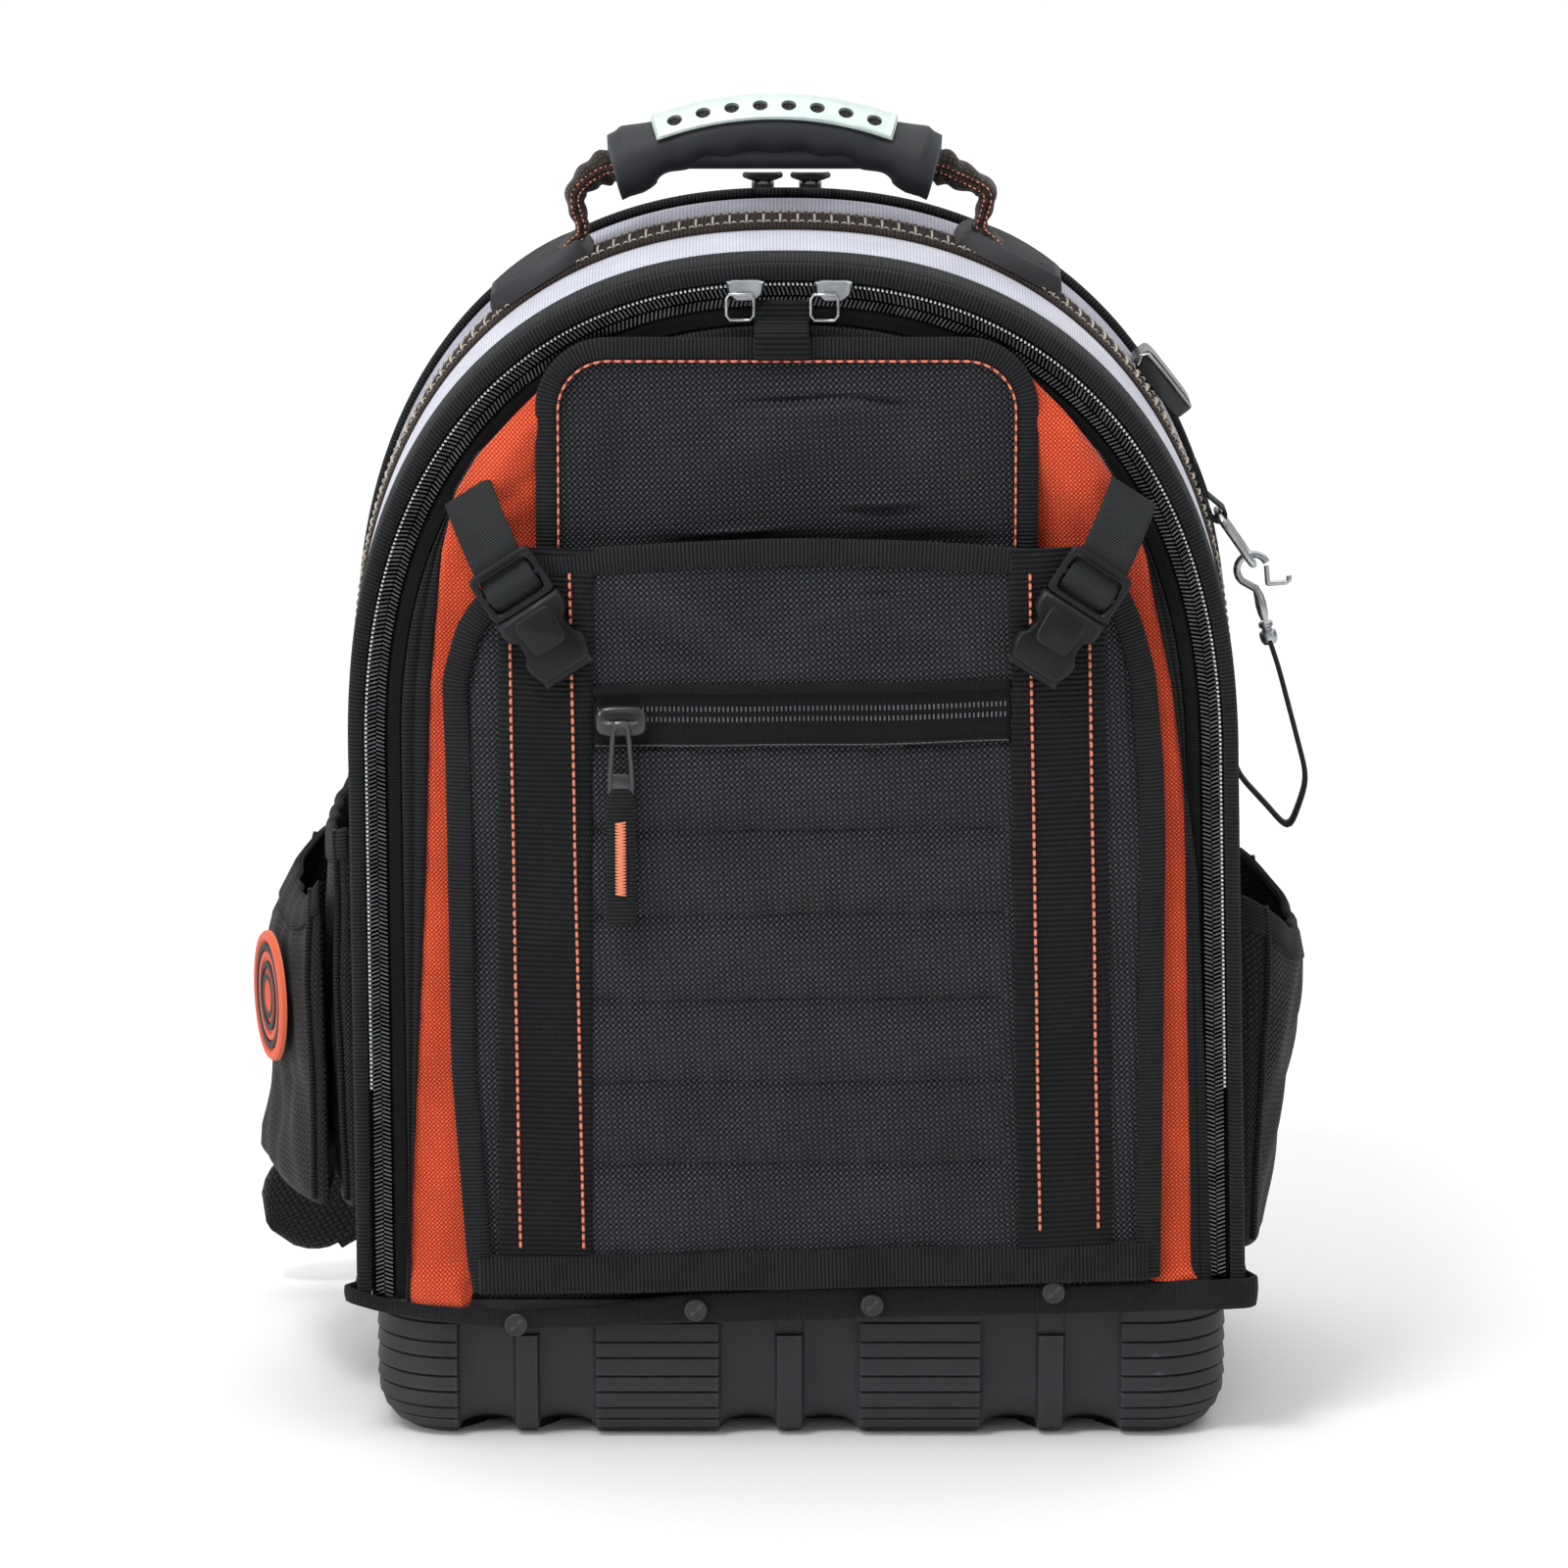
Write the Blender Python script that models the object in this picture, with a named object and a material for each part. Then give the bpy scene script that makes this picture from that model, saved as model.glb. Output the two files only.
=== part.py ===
"""Tool backpack on a moulded rubber base.

Metres, +Z up. The front of the bag faces -Y and its origin is under the middle of the base.
The bag is an arched gusset closed by a door in front and a panel behind, standing on a tub.
"""
import math

import bmesh
import bpy
import numpy as np

# Air left between two pieces that touch
FIT = 0.0003

# Arched body: half-widths at the foot and where the arch springs, heights and depths
FOOT_HALF_WIDTH = 0.1722
SPRING_HALF_WIDTH = 0.1700
SPRING_HEIGHT = 0.272
BODY_TOP = 0.4655
ARCH_POWER = 2.3
TOP_STRETCH = 1.15
LEAN = 0.006
FRONT_EDGE = 0.100
CREST_DEPTH = 0.050
REAR_EDGE = 0.100
CREST_GROWTH = 0.0055
GUSSET_WALL = 0.004
PANEL_WALL = 0.003

# Moulded base tub and its cloth skirt
TUB_HALF_WIDTH = 0.1660
TUB_HALF_DEPTH = 0.0970
TUB_HEIGHT = 0.0582
TUB_CORNER = 0.029
TUB_EDGE_ROUND = 0.020
TUB_WALL = 0.004
TUB_FLANGE = 0.005
BAR_PITCH = 0.103
BAR_WIDTH = 0.010
PATTERN_SHIFT = -0.005
FLUTE_DEPTH = 0.004
RIB_COUNT = 6
RIB_PROUD = 0.0015
SKIRT_HEIGHT = 0.0175
SKIRT_WALL = 0.0018
SKIRT_CORNER = 0.003
SKIRT_DROP = 0.0095
SKIRT_WAVE = 0.0022
RIVET_RADIUS = 0.0045
RIVET_HEIGHT = 0.0022

# Tapes over the gusset, each from its front edge to its rear edge along Y
TAPE_THICK = 0.0010
TAPE_START = 0.0275
FRONT_TAPE_WIDTH = 0.0445
WEBBING_TAPE_WIDTH = 0.0390
REAR_TAPE_WIDTH = 0.0330
PIPING_WIDTH = 0.006
PIPING_PROUD = 0.0034

# Front rim: binding, then the zip round the door
BINDING_WIDTH = 0.0046
BINDING_THICK = 0.0062
MAIN_CHAIN_WIDTH = 0.0080
MAIN_CHAIN_THICK = 0.0024
ZIP_TAPE_THICK = 0.0010
ZIP_TAPE_WIDTH = 0.0150
CHAIN_MARGIN = 0.0008

# Front layers over the door
BELLOWS_WALL = 0.0015
BELLOWS_SWELL = 0.0055
BELLOWS_TOP = 0.4370
FLAP_HALF_WIDTH = 0.0952
FLAP_CENTRE = -0.0057
FLAP_TOP = 0.4390
FLAP_BOTTOM = 0.3300
FLAP_THICK = 0.0050
FLAP_CORNER = 0.027
FLAP_BINDING_WIDTH = 0.0080
LAID_THICK = 0.0013
POCKET_HALF_WIDTH = 0.1390
POCKET_TOP = 0.3600
POCKET_BOTTOM = 0.0720
POCKET_WALL = 0.0025
POCKET_SWELL = 0.0135
POCKET_BINDING_WIDTH = 0.0090
SEAM_DEPTH = 0.0009
WEBBING_WIDTH = 0.0360
WEBBING_INSET = 0.0390
WEBBING_CENTRE_X = POCKET_HALF_WIDTH - WEBBING_INSET
POCKET_ZIP_HALF_LENGTH = 0.0790
POCKET_ZIP_HEIGHT = 0.2960
POCKET_ZIP_TAPE = 0.0230
POCKET_CHAIN_WIDTH = 0.0050
SLIDER_LENGTH = 0.0180
SLIDER_WIDTH = 0.0120
PULL_LENGTH = 0.0290
PULL_WIDTH = 0.0092
TAIL_LENGTH = 0.0430

# Compression straps and their buckles
STRAP_WIDTH = 0.0205
STRAP_THICK = 0.0015
BUCKLE_WIDTH = 0.0270
BUCKLE_FRAME_LENGTH = 0.0200
BUCKLE_SOCKET_LENGTH = 0.0290
BUCKLE_THICK = 0.0075
BUCKLE_TILT = 33.0
BUCKLE_INSET = 0.0235

# Handle
HANDLE_SPAN = 0.127
HANDLE_CENTRE = -0.0105
HANDLE_GAP = 0.0270
HANDLE_THICK = 0.0240
HANDLE_ARC_RISE = 0.0125
HANDLE_WIDTH = 0.0300
PLATE_THICK = 0.0022
PLATE_SPAN = 0.092
PLATE_HOLES = 8
HANDLE_LEG_SPREAD = 0.0785
ANCHOR_LENGTH = 0.046
ANCHOR_WIDTH = 0.046
ANCHOR_THICK = 0.0065

# Side pockets
POUCH_REACH = 0.038
POUCH_HEIGHT = 0.134
POUCH_BOTTOM = 0.0710
POUCH_HALF_DEPTH = 0.055
SLEEVE_REACH = 0.0110
LEFT_SLEEVE_HEIGHT = 0.172
RIGHT_SLEEVE_REACH = 0.024
RIGHT_SLEEVE_HEIGHT = 0.1420
POCKET_SIDE_WALL = 0.0020
POUCH_MIDDLE_Y = -0.012
BADGE_RADIUS = 0.026
BADGE_THICK = 0.0020

# Ring, snap hook and tether on the right side
WIRE_RADIUS = 0.0015
RING_LENGTH = 0.0245
RING_HALF_WIDTH = 0.0115
RING_TOP_HEIGHT = 0.3530
RING_TILT = 35.0
JAW_RADIUS = 0.0062
HOOK_LENGTH = 0.0260
THUMB_LEVER = 0.0100
KEEPER_WIDTH = 0.0180
TETHER_WIDTH = 0.0090
TETHER_THICK = 0.0022
CLIP_REACH = 0.0200
CLIP_THICK = 0.0080
CLIP_WIDTH = 0.0220

# Shoulder straps and the back
BACK_PAD_THICK = 0.010
STRAP_PAD_WIDTH = 0.062
STRAP_PAD_THICK = 0.014

# Resolution of the faceted solids
FLANK_STEPS = 3
ARC_STEPS = 18
FLANK_SHARE = 0.25


def clear_scene():
    """Remove whatever objects the file opened with."""
    for item in list(bpy.data.objects):
        bpy.data.objects.remove(item, do_unlink=True)


def finish(name, colour, roughness, metallic=0.0):
    """A plain Principled material of one colour."""
    found = bpy.data.materials.get(name)
    if found:
        return found
    material = bpy.data.materials.new(name)
    material.use_nodes = True
    shader = material.node_tree.nodes["Principled BSDF"]
    shader.inputs["Base Color"].default_value = (*colour, 1.0)
    shader.inputs["Roughness"].default_value = roughness
    shader.inputs["Metallic"].default_value = metallic
    material.diffuse_color = (*colour, 1.0)
    return material


def black_fabric():
    return finish("black_fabric", (0.018, 0.019, 0.022), 0.80)


def black_webbing():
    return finish("black_webbing", (0.022, 0.023, 0.025), 0.75)


def orange_fabric():
    return finish("orange_fabric", (0.80, 0.12, 0.035), 0.80)


def rubber():
    return finish("rubber", (0.035, 0.035, 0.038), 0.55)


def light_tape():
    return finish("light_tape", (0.62, 0.64, 0.72), 0.50)


def brown_webbing():
    return finish("brown_webbing", (0.06, 0.045, 0.038), 0.80)


def black_plastic():
    return finish("black_plastic", (0.015, 0.015, 0.017), 0.35)


def zip_metal():
    return finish("zip_metal", (0.30, 0.31, 0.32), 0.40, 0.8)


def steel():
    return finish("steel", (0.45, 0.45, 0.46), 0.35, 1.0)


def plate_silver():
    return finish("plate_silver", (0.60, 0.70, 0.66), 0.40, 0.2)


def add_solid(name, points, faces, material):
    """One closed mesh object whose faces all point out."""
    shell = bmesh.new()
    corners = [shell.verts.new(tuple(point)) for point in points]
    for face in faces:
        shell.faces.new([corners[index] for index in face])
    bmesh.ops.recalc_face_normals(shell, faces=shell.faces)
    if shell.calc_volume(signed=True) < 0:
        bmesh.ops.reverse_faces(shell, faces=shell.faces)
    mesh = bpy.data.meshes.new(name)
    shell.to_mesh(mesh)
    shell.free()
    mesh.materials.append(material)
    item = bpy.data.objects.new(name, mesh)
    bpy.context.scene.collection.objects.link(item)
    return item


def loft(name, loops, material, wrap=False):
    """Solid through loops of equally many points: capped at both ends, or joined end to end."""
    size = len(loops[0])
    points = [point for loop in loops for point in loop]
    spans = len(loops) if wrap else len(loops) - 1
    faces = []
    for row in range(spans):
        here = row * size
        there = ((row + 1) % len(loops)) * size
        for column in range(size):
            after = (column + 1) % size
            faces.append((here + column, here + after, there + after, there + column))
    if not wrap:
        faces.append(tuple(range(size)))
        faces.append(tuple(range(len(points) - size, len(points))))
    return add_solid(name, points, faces, material)


def combine(target, cutter, operation):
    """Cut or join a helper solid into the target with a live Boolean, and hide the helper."""
    cutter.hide_render = True
    cutter.display_type = "WIRE"
    modifier = target.modifiers.new(operation.lower(), "BOOLEAN")
    modifier.object = cutter
    modifier.operation = operation
    modifier.solver = "EXACT"


def joined_mesh(name, solids, material):
    """Gather several helper solids into one helper object."""
    gathered = bmesh.new()
    for solid in solids:
        gathered.from_mesh(solid.data)
        bpy.data.objects.remove(solid, do_unlink=True)
    mesh = bpy.data.meshes.new(name)
    gathered.to_mesh(mesh)
    gathered.free()
    mesh.materials.append(material)
    item = bpy.data.objects.new(name, mesh)
    bpy.context.scene.collection.objects.link(item)
    return item


def smooth_path(knots, count):
    """A Catmull-Rom curve through the knots, read at evenly shared steps."""
    knots = np.asarray(knots, float)
    padded = np.vstack([2 * knots[0] - knots[1], knots, 2 * knots[-1] - knots[-2]])
    places = np.linspace(0, len(knots) - 1, count)
    points = []
    for place in places:
        index = min(int(place), len(knots) - 2)
        part = place - index
        before, start, end, after = padded[index:index + 4]
        points.append(0.5 * (2 * start + (end - before) * part
                             + (2 * before - 5 * start + 4 * end - after) * part ** 2
                             + (3 * start - before - 3 * end + after) * part ** 3))
    return np.array(points)


def unit(vector):
    return vector / np.linalg.norm(vector)


def tangents(path, closed=False):
    """Unit directions along a path."""
    if closed:
        ahead = np.roll(path, -1, axis=0) - np.roll(path, 1, axis=0)
    else:
        ahead = np.gradient(path, axis=0)
    return ahead / np.linalg.norm(ahead, axis=1)[:, None]


def sweep(name, path, sections, side, material, closed=False):
    """Carry flat sections along a path.

    A section is a list of (across, out) offsets; across follows the side vector, which may be one
    for the whole path or one for each station, and out is square to it and to the path.
    """
    path = np.asarray(path, float)
    ways = tangents(path, closed)
    loops = []
    for index, (point, way) in enumerate(zip(path, ways)):
        across = np.asarray(side[index] if len(np.shape(side)) == 2 else side, float)
        across = unit(across - way * np.dot(across, way))
        out = np.cross(across, way)
        section = sections[index] if len(np.shape(sections)) == 3 else sections
        loops.append([point + across * a + out * b for a, b in section])
    return loft(name, loops, material, wrap=closed)


def oval(width, height, sides):
    """An ellipse of the given full width and height."""
    turns = [2 * math.pi * (index + 0.5) / sides for index in range(sides)]
    return [(width / 2 * math.cos(turn), height / 2 * math.sin(turn)) for turn in turns]


def box_section(width, height):
    return [(-width / 2, -height / 2), (width / 2, -height / 2),
            (width / 2, height / 2), (-width / 2, height / 2)]


# The arched body

def crest_share(y):
    """Share of the crest's growth at depth y: none at the front edge, all at the crest."""
    if y <= CREST_DEPTH:
        return max(0.0, (y + FRONT_EDGE) / (CREST_DEPTH + FRONT_EDGE))
    return 1.0 - 0.8 * (y - CREST_DEPTH) / (REAR_EDGE - CREST_DEPTH)


def arch_turn(station):
    """Angle round the arch at a station from 0 at the left foot to 1 at the right foot."""
    share = (station - FLANK_SHARE) / (1 - 2 * FLANK_SHARE)
    return math.pi * min(1.0, max(0.0, share))


def arch_point(station, inset, y):
    """A point of the arch: straight flanks, then a superellipse over the top, drawn in by inset."""
    turn = arch_turn(station)
    height = 0.5 * min(1.0, station / FLANK_SHARE, (1 - station) / FLANK_SHARE)
    drawn = inset - CREST_GROWTH * crest_share(y) * (height + 0.5 * math.sin(turn))
    if station < FLANK_SHARE or station > 1 - FLANK_SHARE:
        share = min(station, 1 - station) / FLANK_SHARE
        half = FOOT_HALF_WIDTH + share * (SPRING_HALF_WIDTH - FOOT_HALF_WIDTH) - drawn
        x = -half if station < 0.5 else half
        z = TUB_HEIGHT + FIT + share * (SPRING_HEIGHT - TUB_HEIGHT - FIT)
    else:
        cosine = math.cos(turn)
        power = 2 / ARCH_POWER
        x = -math.copysign(abs(cosine) ** power, cosine) * (SPRING_HALF_WIDTH - drawn)
        rise = BODY_TOP - SPRING_HEIGHT - TOP_STRETCH * drawn
        z = SPRING_HEIGHT + rise * abs(math.sin(turn)) ** power
    x -= LEAN * (z - TUB_HEIGHT) / (BODY_TOP - TUB_HEIGHT)
    return np.array([x, y, z])


def arch_frame(station, outset, y):
    """Point, direction along the arch and outward direction at a station."""
    step = 0.002
    point = arch_point(station, -outset, y)
    along = unit(arch_point(station + step, -outset, y) - arch_point(station - step, -outset, y))
    outward = np.cross(np.array([0.0, -1.0, 0.0]), along)
    if np.dot(outward, point - np.array([0.0, y, SPRING_HEIGHT])) < 0:
        outward = -outward
    return point, along, outward


def station_at_height(height, side, y=0.0):
    """Station of the arch on the left (-1) or right (1) side at a height."""
    low, high = 0.0, 0.5
    for _ in range(40):
        middle = (low + high) / 2
        if arch_point(middle, 0.0, y)[2] < height:
            low = middle
        else:
            high = middle
    return low if side < 0 else 1 - low


def arch_stations():
    flank = [FLANK_SHARE * index / FLANK_STEPS for index in range(FLANK_STEPS)]
    arc = [FLANK_SHARE + (1 - 2 * FLANK_SHARE) * index / ARC_STEPS for index in range(ARC_STEPS + 1)]
    return flank + arc + [1 - station for station in reversed(flank)]


def arch_ring(name, profile, material):
    """Carry a profile of (inset, y) points round the arch; profile may be a function of lift.

    Lift is 0 on the flanks and 1 at the crown.
    """
    loops = []
    for station in arch_stations():
        lift = math.sin(arch_turn(station)) ** 2
        shape = profile(lift) if callable(profile) else profile
        loops.append([arch_point(station, inset, y) for inset, y in shape])
    return loft(name, loops, material)


def arch_plate(name, inset, front, rear, material):
    """A flat panel that fills the arch between two depths."""
    loops = []
    for y in (front, rear):
        loops.append([arch_point(station, inset, y) for station in arch_stations()])
    return loft(name, loops, material)


def strip_profile(front, rear, lift, thick):
    """A tape lying over the gusset from front to rear."""
    return [(-lift, front), (-lift, rear), (-lift - thick, rear), (-lift - thick, front)]


def build_body():
    wall = GUSSET_WALL
    rear_start = CREST_DEPTH + PIPING_WIDTH / 2
    arch_ring("main_gusset",
              [(0.0, -FRONT_EDGE), (0.0, rear_start - FIT), (wall, rear_start - FIT), (wall, -FRONT_EDGE)],
              black_fabric())
    arch_ring("rear_gusset",
              [(0.0, rear_start), (0.0, REAR_EDGE), (wall, REAR_EDGE), (wall, rear_start)],
              black_fabric())
    arch_plate("back_panel", wall + FIT, REAR_EDGE - PANEL_WALL, REAR_EDGE, black_fabric())
    arch_plate("door_panel", wall + FIT, -FRONT_EDGE, -FRONT_EDGE + PANEL_WALL, black_fabric())


def tape_edges():
    """Depths where each tape over the gusset begins and ends."""
    first = -FRONT_EDGE + TAPE_START
    second = first + FRONT_TAPE_WIDTH
    third = second + WEBBING_TAPE_WIDTH
    return first, second, third, third + REAR_TAPE_WIDTH


def build_tapes():
    first, second, third, fourth = tape_edges()
    arch_ring("front_light_tape", strip_profile(first, second - FIT, FIT, TAPE_THICK), light_tape())
    arch_ring("stitched_webbing", strip_profile(second, third - FIT, FIT, TAPE_THICK * 1.6), brown_webbing())
    arch_ring("rear_light_tape", strip_profile(third, fourth - FIT, FIT, TAPE_THICK), light_tape())
    middle = CREST_DEPTH + PIPING_WIDTH / 2
    round_points = [(-FIT - PIPING_PROUD / 2 - a, middle + b) for a, b in oval(PIPING_PROUD, PIPING_WIDTH, 6)]
    arch_ring("crest_piping", round_points, black_fabric())


def build_rim():
    front = -FRONT_EDGE - FIT
    arch_ring("edge_binding",
              [(-0.0008, front), (BINDING_WIDTH - 0.0008, front),
               (BINDING_WIDTH - 0.0008, front - BINDING_THICK * 0.6),
               (BINDING_WIDTH - 0.0024, front - BINDING_THICK),
               (0.0014, front - BINDING_THICK), (-0.0008, front - BINDING_THICK * 0.6)],
              black_webbing())
    inner = BINDING_WIDTH - 0.0008 + FIT
    tape_front = front - ZIP_TAPE_THICK
    chain_edge = inner + CHAIN_MARGIN
    chain_end = chain_edge + MAIN_CHAIN_WIDTH

    def zip_profile(lift):
        narrow = 0.35 * lift * MAIN_CHAIN_WIDTH
        chain_front = tape_front - MAIN_CHAIN_THICK - narrow * 0.6
        return [(inner, front), (inner + ZIP_TAPE_WIDTH, front), (inner + ZIP_TAPE_WIDTH, tape_front),
                (chain_end - narrow, tape_front), (chain_end - narrow - 0.0006, chain_front),
                (chain_edge, chain_front), (inner, tape_front)]

    arch_ring("main_zip", zip_profile, zip_metal())


def crown_zip_place(x):
    """Station, inset and front depth of the main chain's middle at x near the crown."""
    low, high = FLANK_SHARE, 1 - FLANK_SHARE
    inset = BINDING_WIDTH - 0.0008 + FIT + CHAIN_MARGIN + 0.3 * MAIN_CHAIN_WIDTH
    for _ in range(40):
        middle = (low + high) / 2
        if arch_point(middle, inset, -FRONT_EDGE)[0] < x:
            low = middle
        else:
            high = middle
    front = -FRONT_EDGE - FIT - ZIP_TAPE_THICK - MAIN_CHAIN_THICK - 0.21 * MAIN_CHAIN_WIDTH
    point = arch_point(low, inset, -FRONT_EDGE)
    return point[0], front, point[2]


def block(name, centre, size, material, taper=1.0):
    """A box whose outer (-Y) face may be narrower than its back face."""
    x, y, z = centre
    wide, deep, high = size
    loops = []
    for depth, share in ((y + deep / 2, 1.0), (y - deep / 2, taper)):
        loops.append([(x + sx * wide / 2 * share, depth, z + sz * high / 2 * share)
                      for sx, sz in ((-1, -1), (1, -1), (1, 1), (-1, 1))])
    return loft(name, loops, material)


def build_main_pulls():
    """Two sliders that meet at the crown, each with a short flat pull hanging from its bridge."""
    for label, x, hang in (("left", FLAP_CENTRE - 0.0158, -0.0020), ("right", FLAP_CENTRE + 0.0177, -0.0035)):
        place_x, front, z = crown_zip_place(x)
        body_thick = 0.0030
        block("main_zip_slider_" + label, (place_x, front - FIT - body_thick / 2, z),
              (SLIDER_LENGTH * 0.75, body_thick, SLIDER_WIDTH * 0.6), steel(), 0.8)
        pull_thick = 0.0014
        depth = front - 2 * FIT - body_thick - pull_thick / 2
        top = z - 0.0005
        pull = block("main_zip_pull_" + label, (0.0, 0.0, -0.0055),
                     (0.0095, pull_thick, 0.0110), steel(), 0.9)
        pull.location = (place_x + hang, depth, top)


# Moulded base

def rounded_plan(half_width, half_depth, corner, front_shares, side_shares, corner_steps=4):
    """Plan outline with outward directions, starting at the front left and going round by the right."""
    straight_x = half_width - corner
    straight_y = half_depth - corner
    points = []
    outward = []

    def corner_arc(centre_x, centre_y, start):
        for index in range(1, corner_steps):
            turn = start + math.pi / 2 * index / corner_steps
            way = (math.cos(turn), math.sin(turn))
            points.append((centre_x + corner * way[0], centre_y + corner * way[1]))
            outward.append(way)

    for share in front_shares:
        points.append((share * straight_x, -half_depth))
        outward.append((0, -1))
    corner_arc(straight_x, -straight_y, -math.pi / 2)
    for share in side_shares:
        points.append((half_width, share * straight_y))
        outward.append((1, 0))
    corner_arc(straight_x, straight_y, 0)
    for share in front_shares:
        points.append((-share * straight_x, half_depth))
        outward.append((0, 1))
    corner_arc(-straight_x, straight_y, math.pi / 2)
    for share in side_shares:
        points.append((-half_width, -share * straight_y))
        outward.append((-1, 0))
    corner_arc(-straight_x, -straight_y, math.pi)
    return np.array(points), np.array(outward)


# One half of a channel beside an upright bar: (distance from the bar's middle as a share of the
# group's half-width, relief as a share of the flute's depth)
FLUTE_ROWS = ((1.00, 0.0), (0.80, -0.82), (0.55, -1.0), (0.30, -0.75))
GROUP_HALF_WIDTH = 0.028
BAR_PROUD = 0.0008


def channel_group(middle):
    """Places and relief across one group: a scooped channel, an upright bar and a channel."""
    half_bar = BAR_WIDTH / 2
    left = [(middle - share * GROUP_HALF_WIDTH, relief * FLUTE_DEPTH) for share, relief in FLUTE_ROWS]
    left.append((middle - half_bar - 0.0006, -0.5 * FLUTE_DEPTH))
    left.append((middle - half_bar, BAR_PROUD))
    right = [(2 * middle - place, relief) for place, relief in reversed(left)]
    return left + right


def tub_pattern():
    """Shares and relief along the long side and the short side of the tub."""
    straight_x = TUB_HALF_WIDTH - TUB_CORNER
    straight_y = TUB_HALF_DEPTH - TUB_CORNER
    long_side = [(-straight_x, 0.0)]
    for index in (-1, 0, 1):
        group = channel_group(PATTERN_SHIFT + index * BAR_PITCH)
        long_side += [row for row in group if abs(row[0]) < straight_x]
    long_side.append((straight_x, 0.0))
    short_side = [(-straight_y, 0.0)] + channel_group(0.0) + [(straight_y, 0.0)]
    return ([place / straight_x for place, _ in long_side], [relief for _, relief in long_side],
            [place / straight_y for place, _ in short_side], [relief for _, relief in short_side])


def rib_heights():
    """Middles of the ribs up the wall."""
    top = TUB_HEIGHT - SKIRT_DROP - 0.002
    bottom = 0.0035
    return [bottom + (top - bottom) * index / (RIB_COUNT - 1) for index in range(RIB_COUNT)]


def edge_draw(z):
    """How far the rounded bottom edge draws the wall in at a height."""
    if z >= TUB_EDGE_ROUND:
        return 0.0
    low = 1 - z / TUB_EDGE_ROUND
    return TUB_EDGE_ROUND * 0.9 * (1 - math.sqrt(max(0.0, 1 - low ** 2)))


def build_tub():
    front_shares, front_relief, side_shares, side_relief = tub_pattern()
    corner_relief = [0.0, 0.0, 0.0]
    relief = np.array(front_relief + corner_relief + side_relief + corner_relief)
    relief = np.concatenate([relief, relief])
    flange_low = TUB_HEIGHT - 0.0042
    loops = []
    levels = [0.0, TUB_EDGE_ROUND * 0.12, TUB_EDGE_ROUND * 0.38, TUB_EDGE_ROUND,
              flange_low - TUB_FLANGE * 0.6]
    for z in levels:
        draw = edge_draw(z)
        plan, outward = rounded_plan(TUB_HALF_WIDTH - draw, TUB_HALF_DEPTH - draw, TUB_CORNER,
                                     front_shares, side_shares)
        plan = plan + outward * relief[:, None]
        loops.append([(x, y, z) for x, y in plan])
    for z in (flange_low, TUB_HEIGHT):
        plan, _ = rounded_plan(TUB_HALF_WIDTH + TUB_FLANGE, TUB_HALF_DEPTH + TUB_FLANGE, TUB_CORNER * 0.5,
                               front_shares, side_shares)
        loops.append([(x, y, z) for x, y in plan])
    tub = loft("base_tub", loops, rubber())

    wall = TUB_WALL + FLUTE_DEPTH
    hollow = []
    for z, draw in ((TUB_WALL, TUB_EDGE_ROUND * 0.7), (TUB_EDGE_ROUND, 0.0), (TUB_HEIGHT + 0.01, 0.0)):
        plan, _ = rounded_plan(TUB_HALF_WIDTH - wall - draw, TUB_HALF_DEPTH - wall - draw,
                               TUB_CORNER - TUB_WALL, (-1, 1), (-1, 1))
        hollow.append([(x, y, z) for x, y in plan])
    combine(tub, loft("tub_hollow", hollow, rubber()), "DIFFERENCE")

    ribs = []
    pitch = rib_heights()[1] - rib_heights()[0]
    for z in rib_heights():
        draw = edge_draw(z)
        ribs += rib_row(z, draw, pitch * 0.62)
    combine(tub, joined_mesh("tub_ribs", ribs, rubber()), "UNION")


def rib_row(z, draw, height):
    """Ribs at one height: round the four corners, and on the plain blocks in front and behind."""
    width = TUB_HALF_WIDTH - draw
    depth = TUB_HALF_DEPTH - draw
    sink = 0.0012
    section = [(-sink, -height / 2), (RIB_PROUD, -height / 2 * 0.75), (RIB_PROUD, height / 2 * 0.75),
               (-sink, height / 2)]
    solids = []
    runs = []
    block_half = BAR_PITCH / 2 - GROUP_HALF_WIDTH
    for face in (-1, 1):
        for step in (-0.5, 0.5):
            middle = (PATTERN_SHIFT + step * BAR_PITCH) * (1 if face < 0 else -1)
            runs.append([((middle - block_half, face * depth), (0, face)),
                         ((middle + block_half, face * depth), (0, face))])
    for side_x in (-1, 1):
        for side_y in (-1, 1):
            arc = []
            for index in range(4):
                turn = math.pi / 2 * index / 3
                way = (side_x * math.sin(turn), side_y * math.cos(turn))
                arc.append(((side_x * (width - TUB_CORNER) + TUB_CORNER * way[0],
                             side_y * (depth - TUB_CORNER) + TUB_CORNER * way[1]), way))
            runs.append(arc)
    for run in runs:
        loops = [[(point[0] + way[0] * out, point[1] + way[1] * out, z + up) for out, up in section]
                 for point, way in run]
        solids.append(loft("rib", loops, rubber()))
    return solids


def skirt_half_sizes():
    """Inner half-width and half-depth of the skirt: clear of the flange, the tapes and the binding."""
    tapes = FOOT_HALF_WIDTH + 2 * FIT + TAPE_THICK * 1.6
    width = max(TUB_HALF_WIDTH + TUB_FLANGE, tapes, FOOT_HALF_WIDTH + 2 * FIT + PIPING_PROUD) + FIT
    depth = max(TUB_HALF_DEPTH + TUB_FLANGE, FRONT_EDGE + BINDING_THICK + FIT) + FIT
    return width, depth


def skirt_bottom():
    return TUB_HEIGHT - SKIRT_DROP


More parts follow.
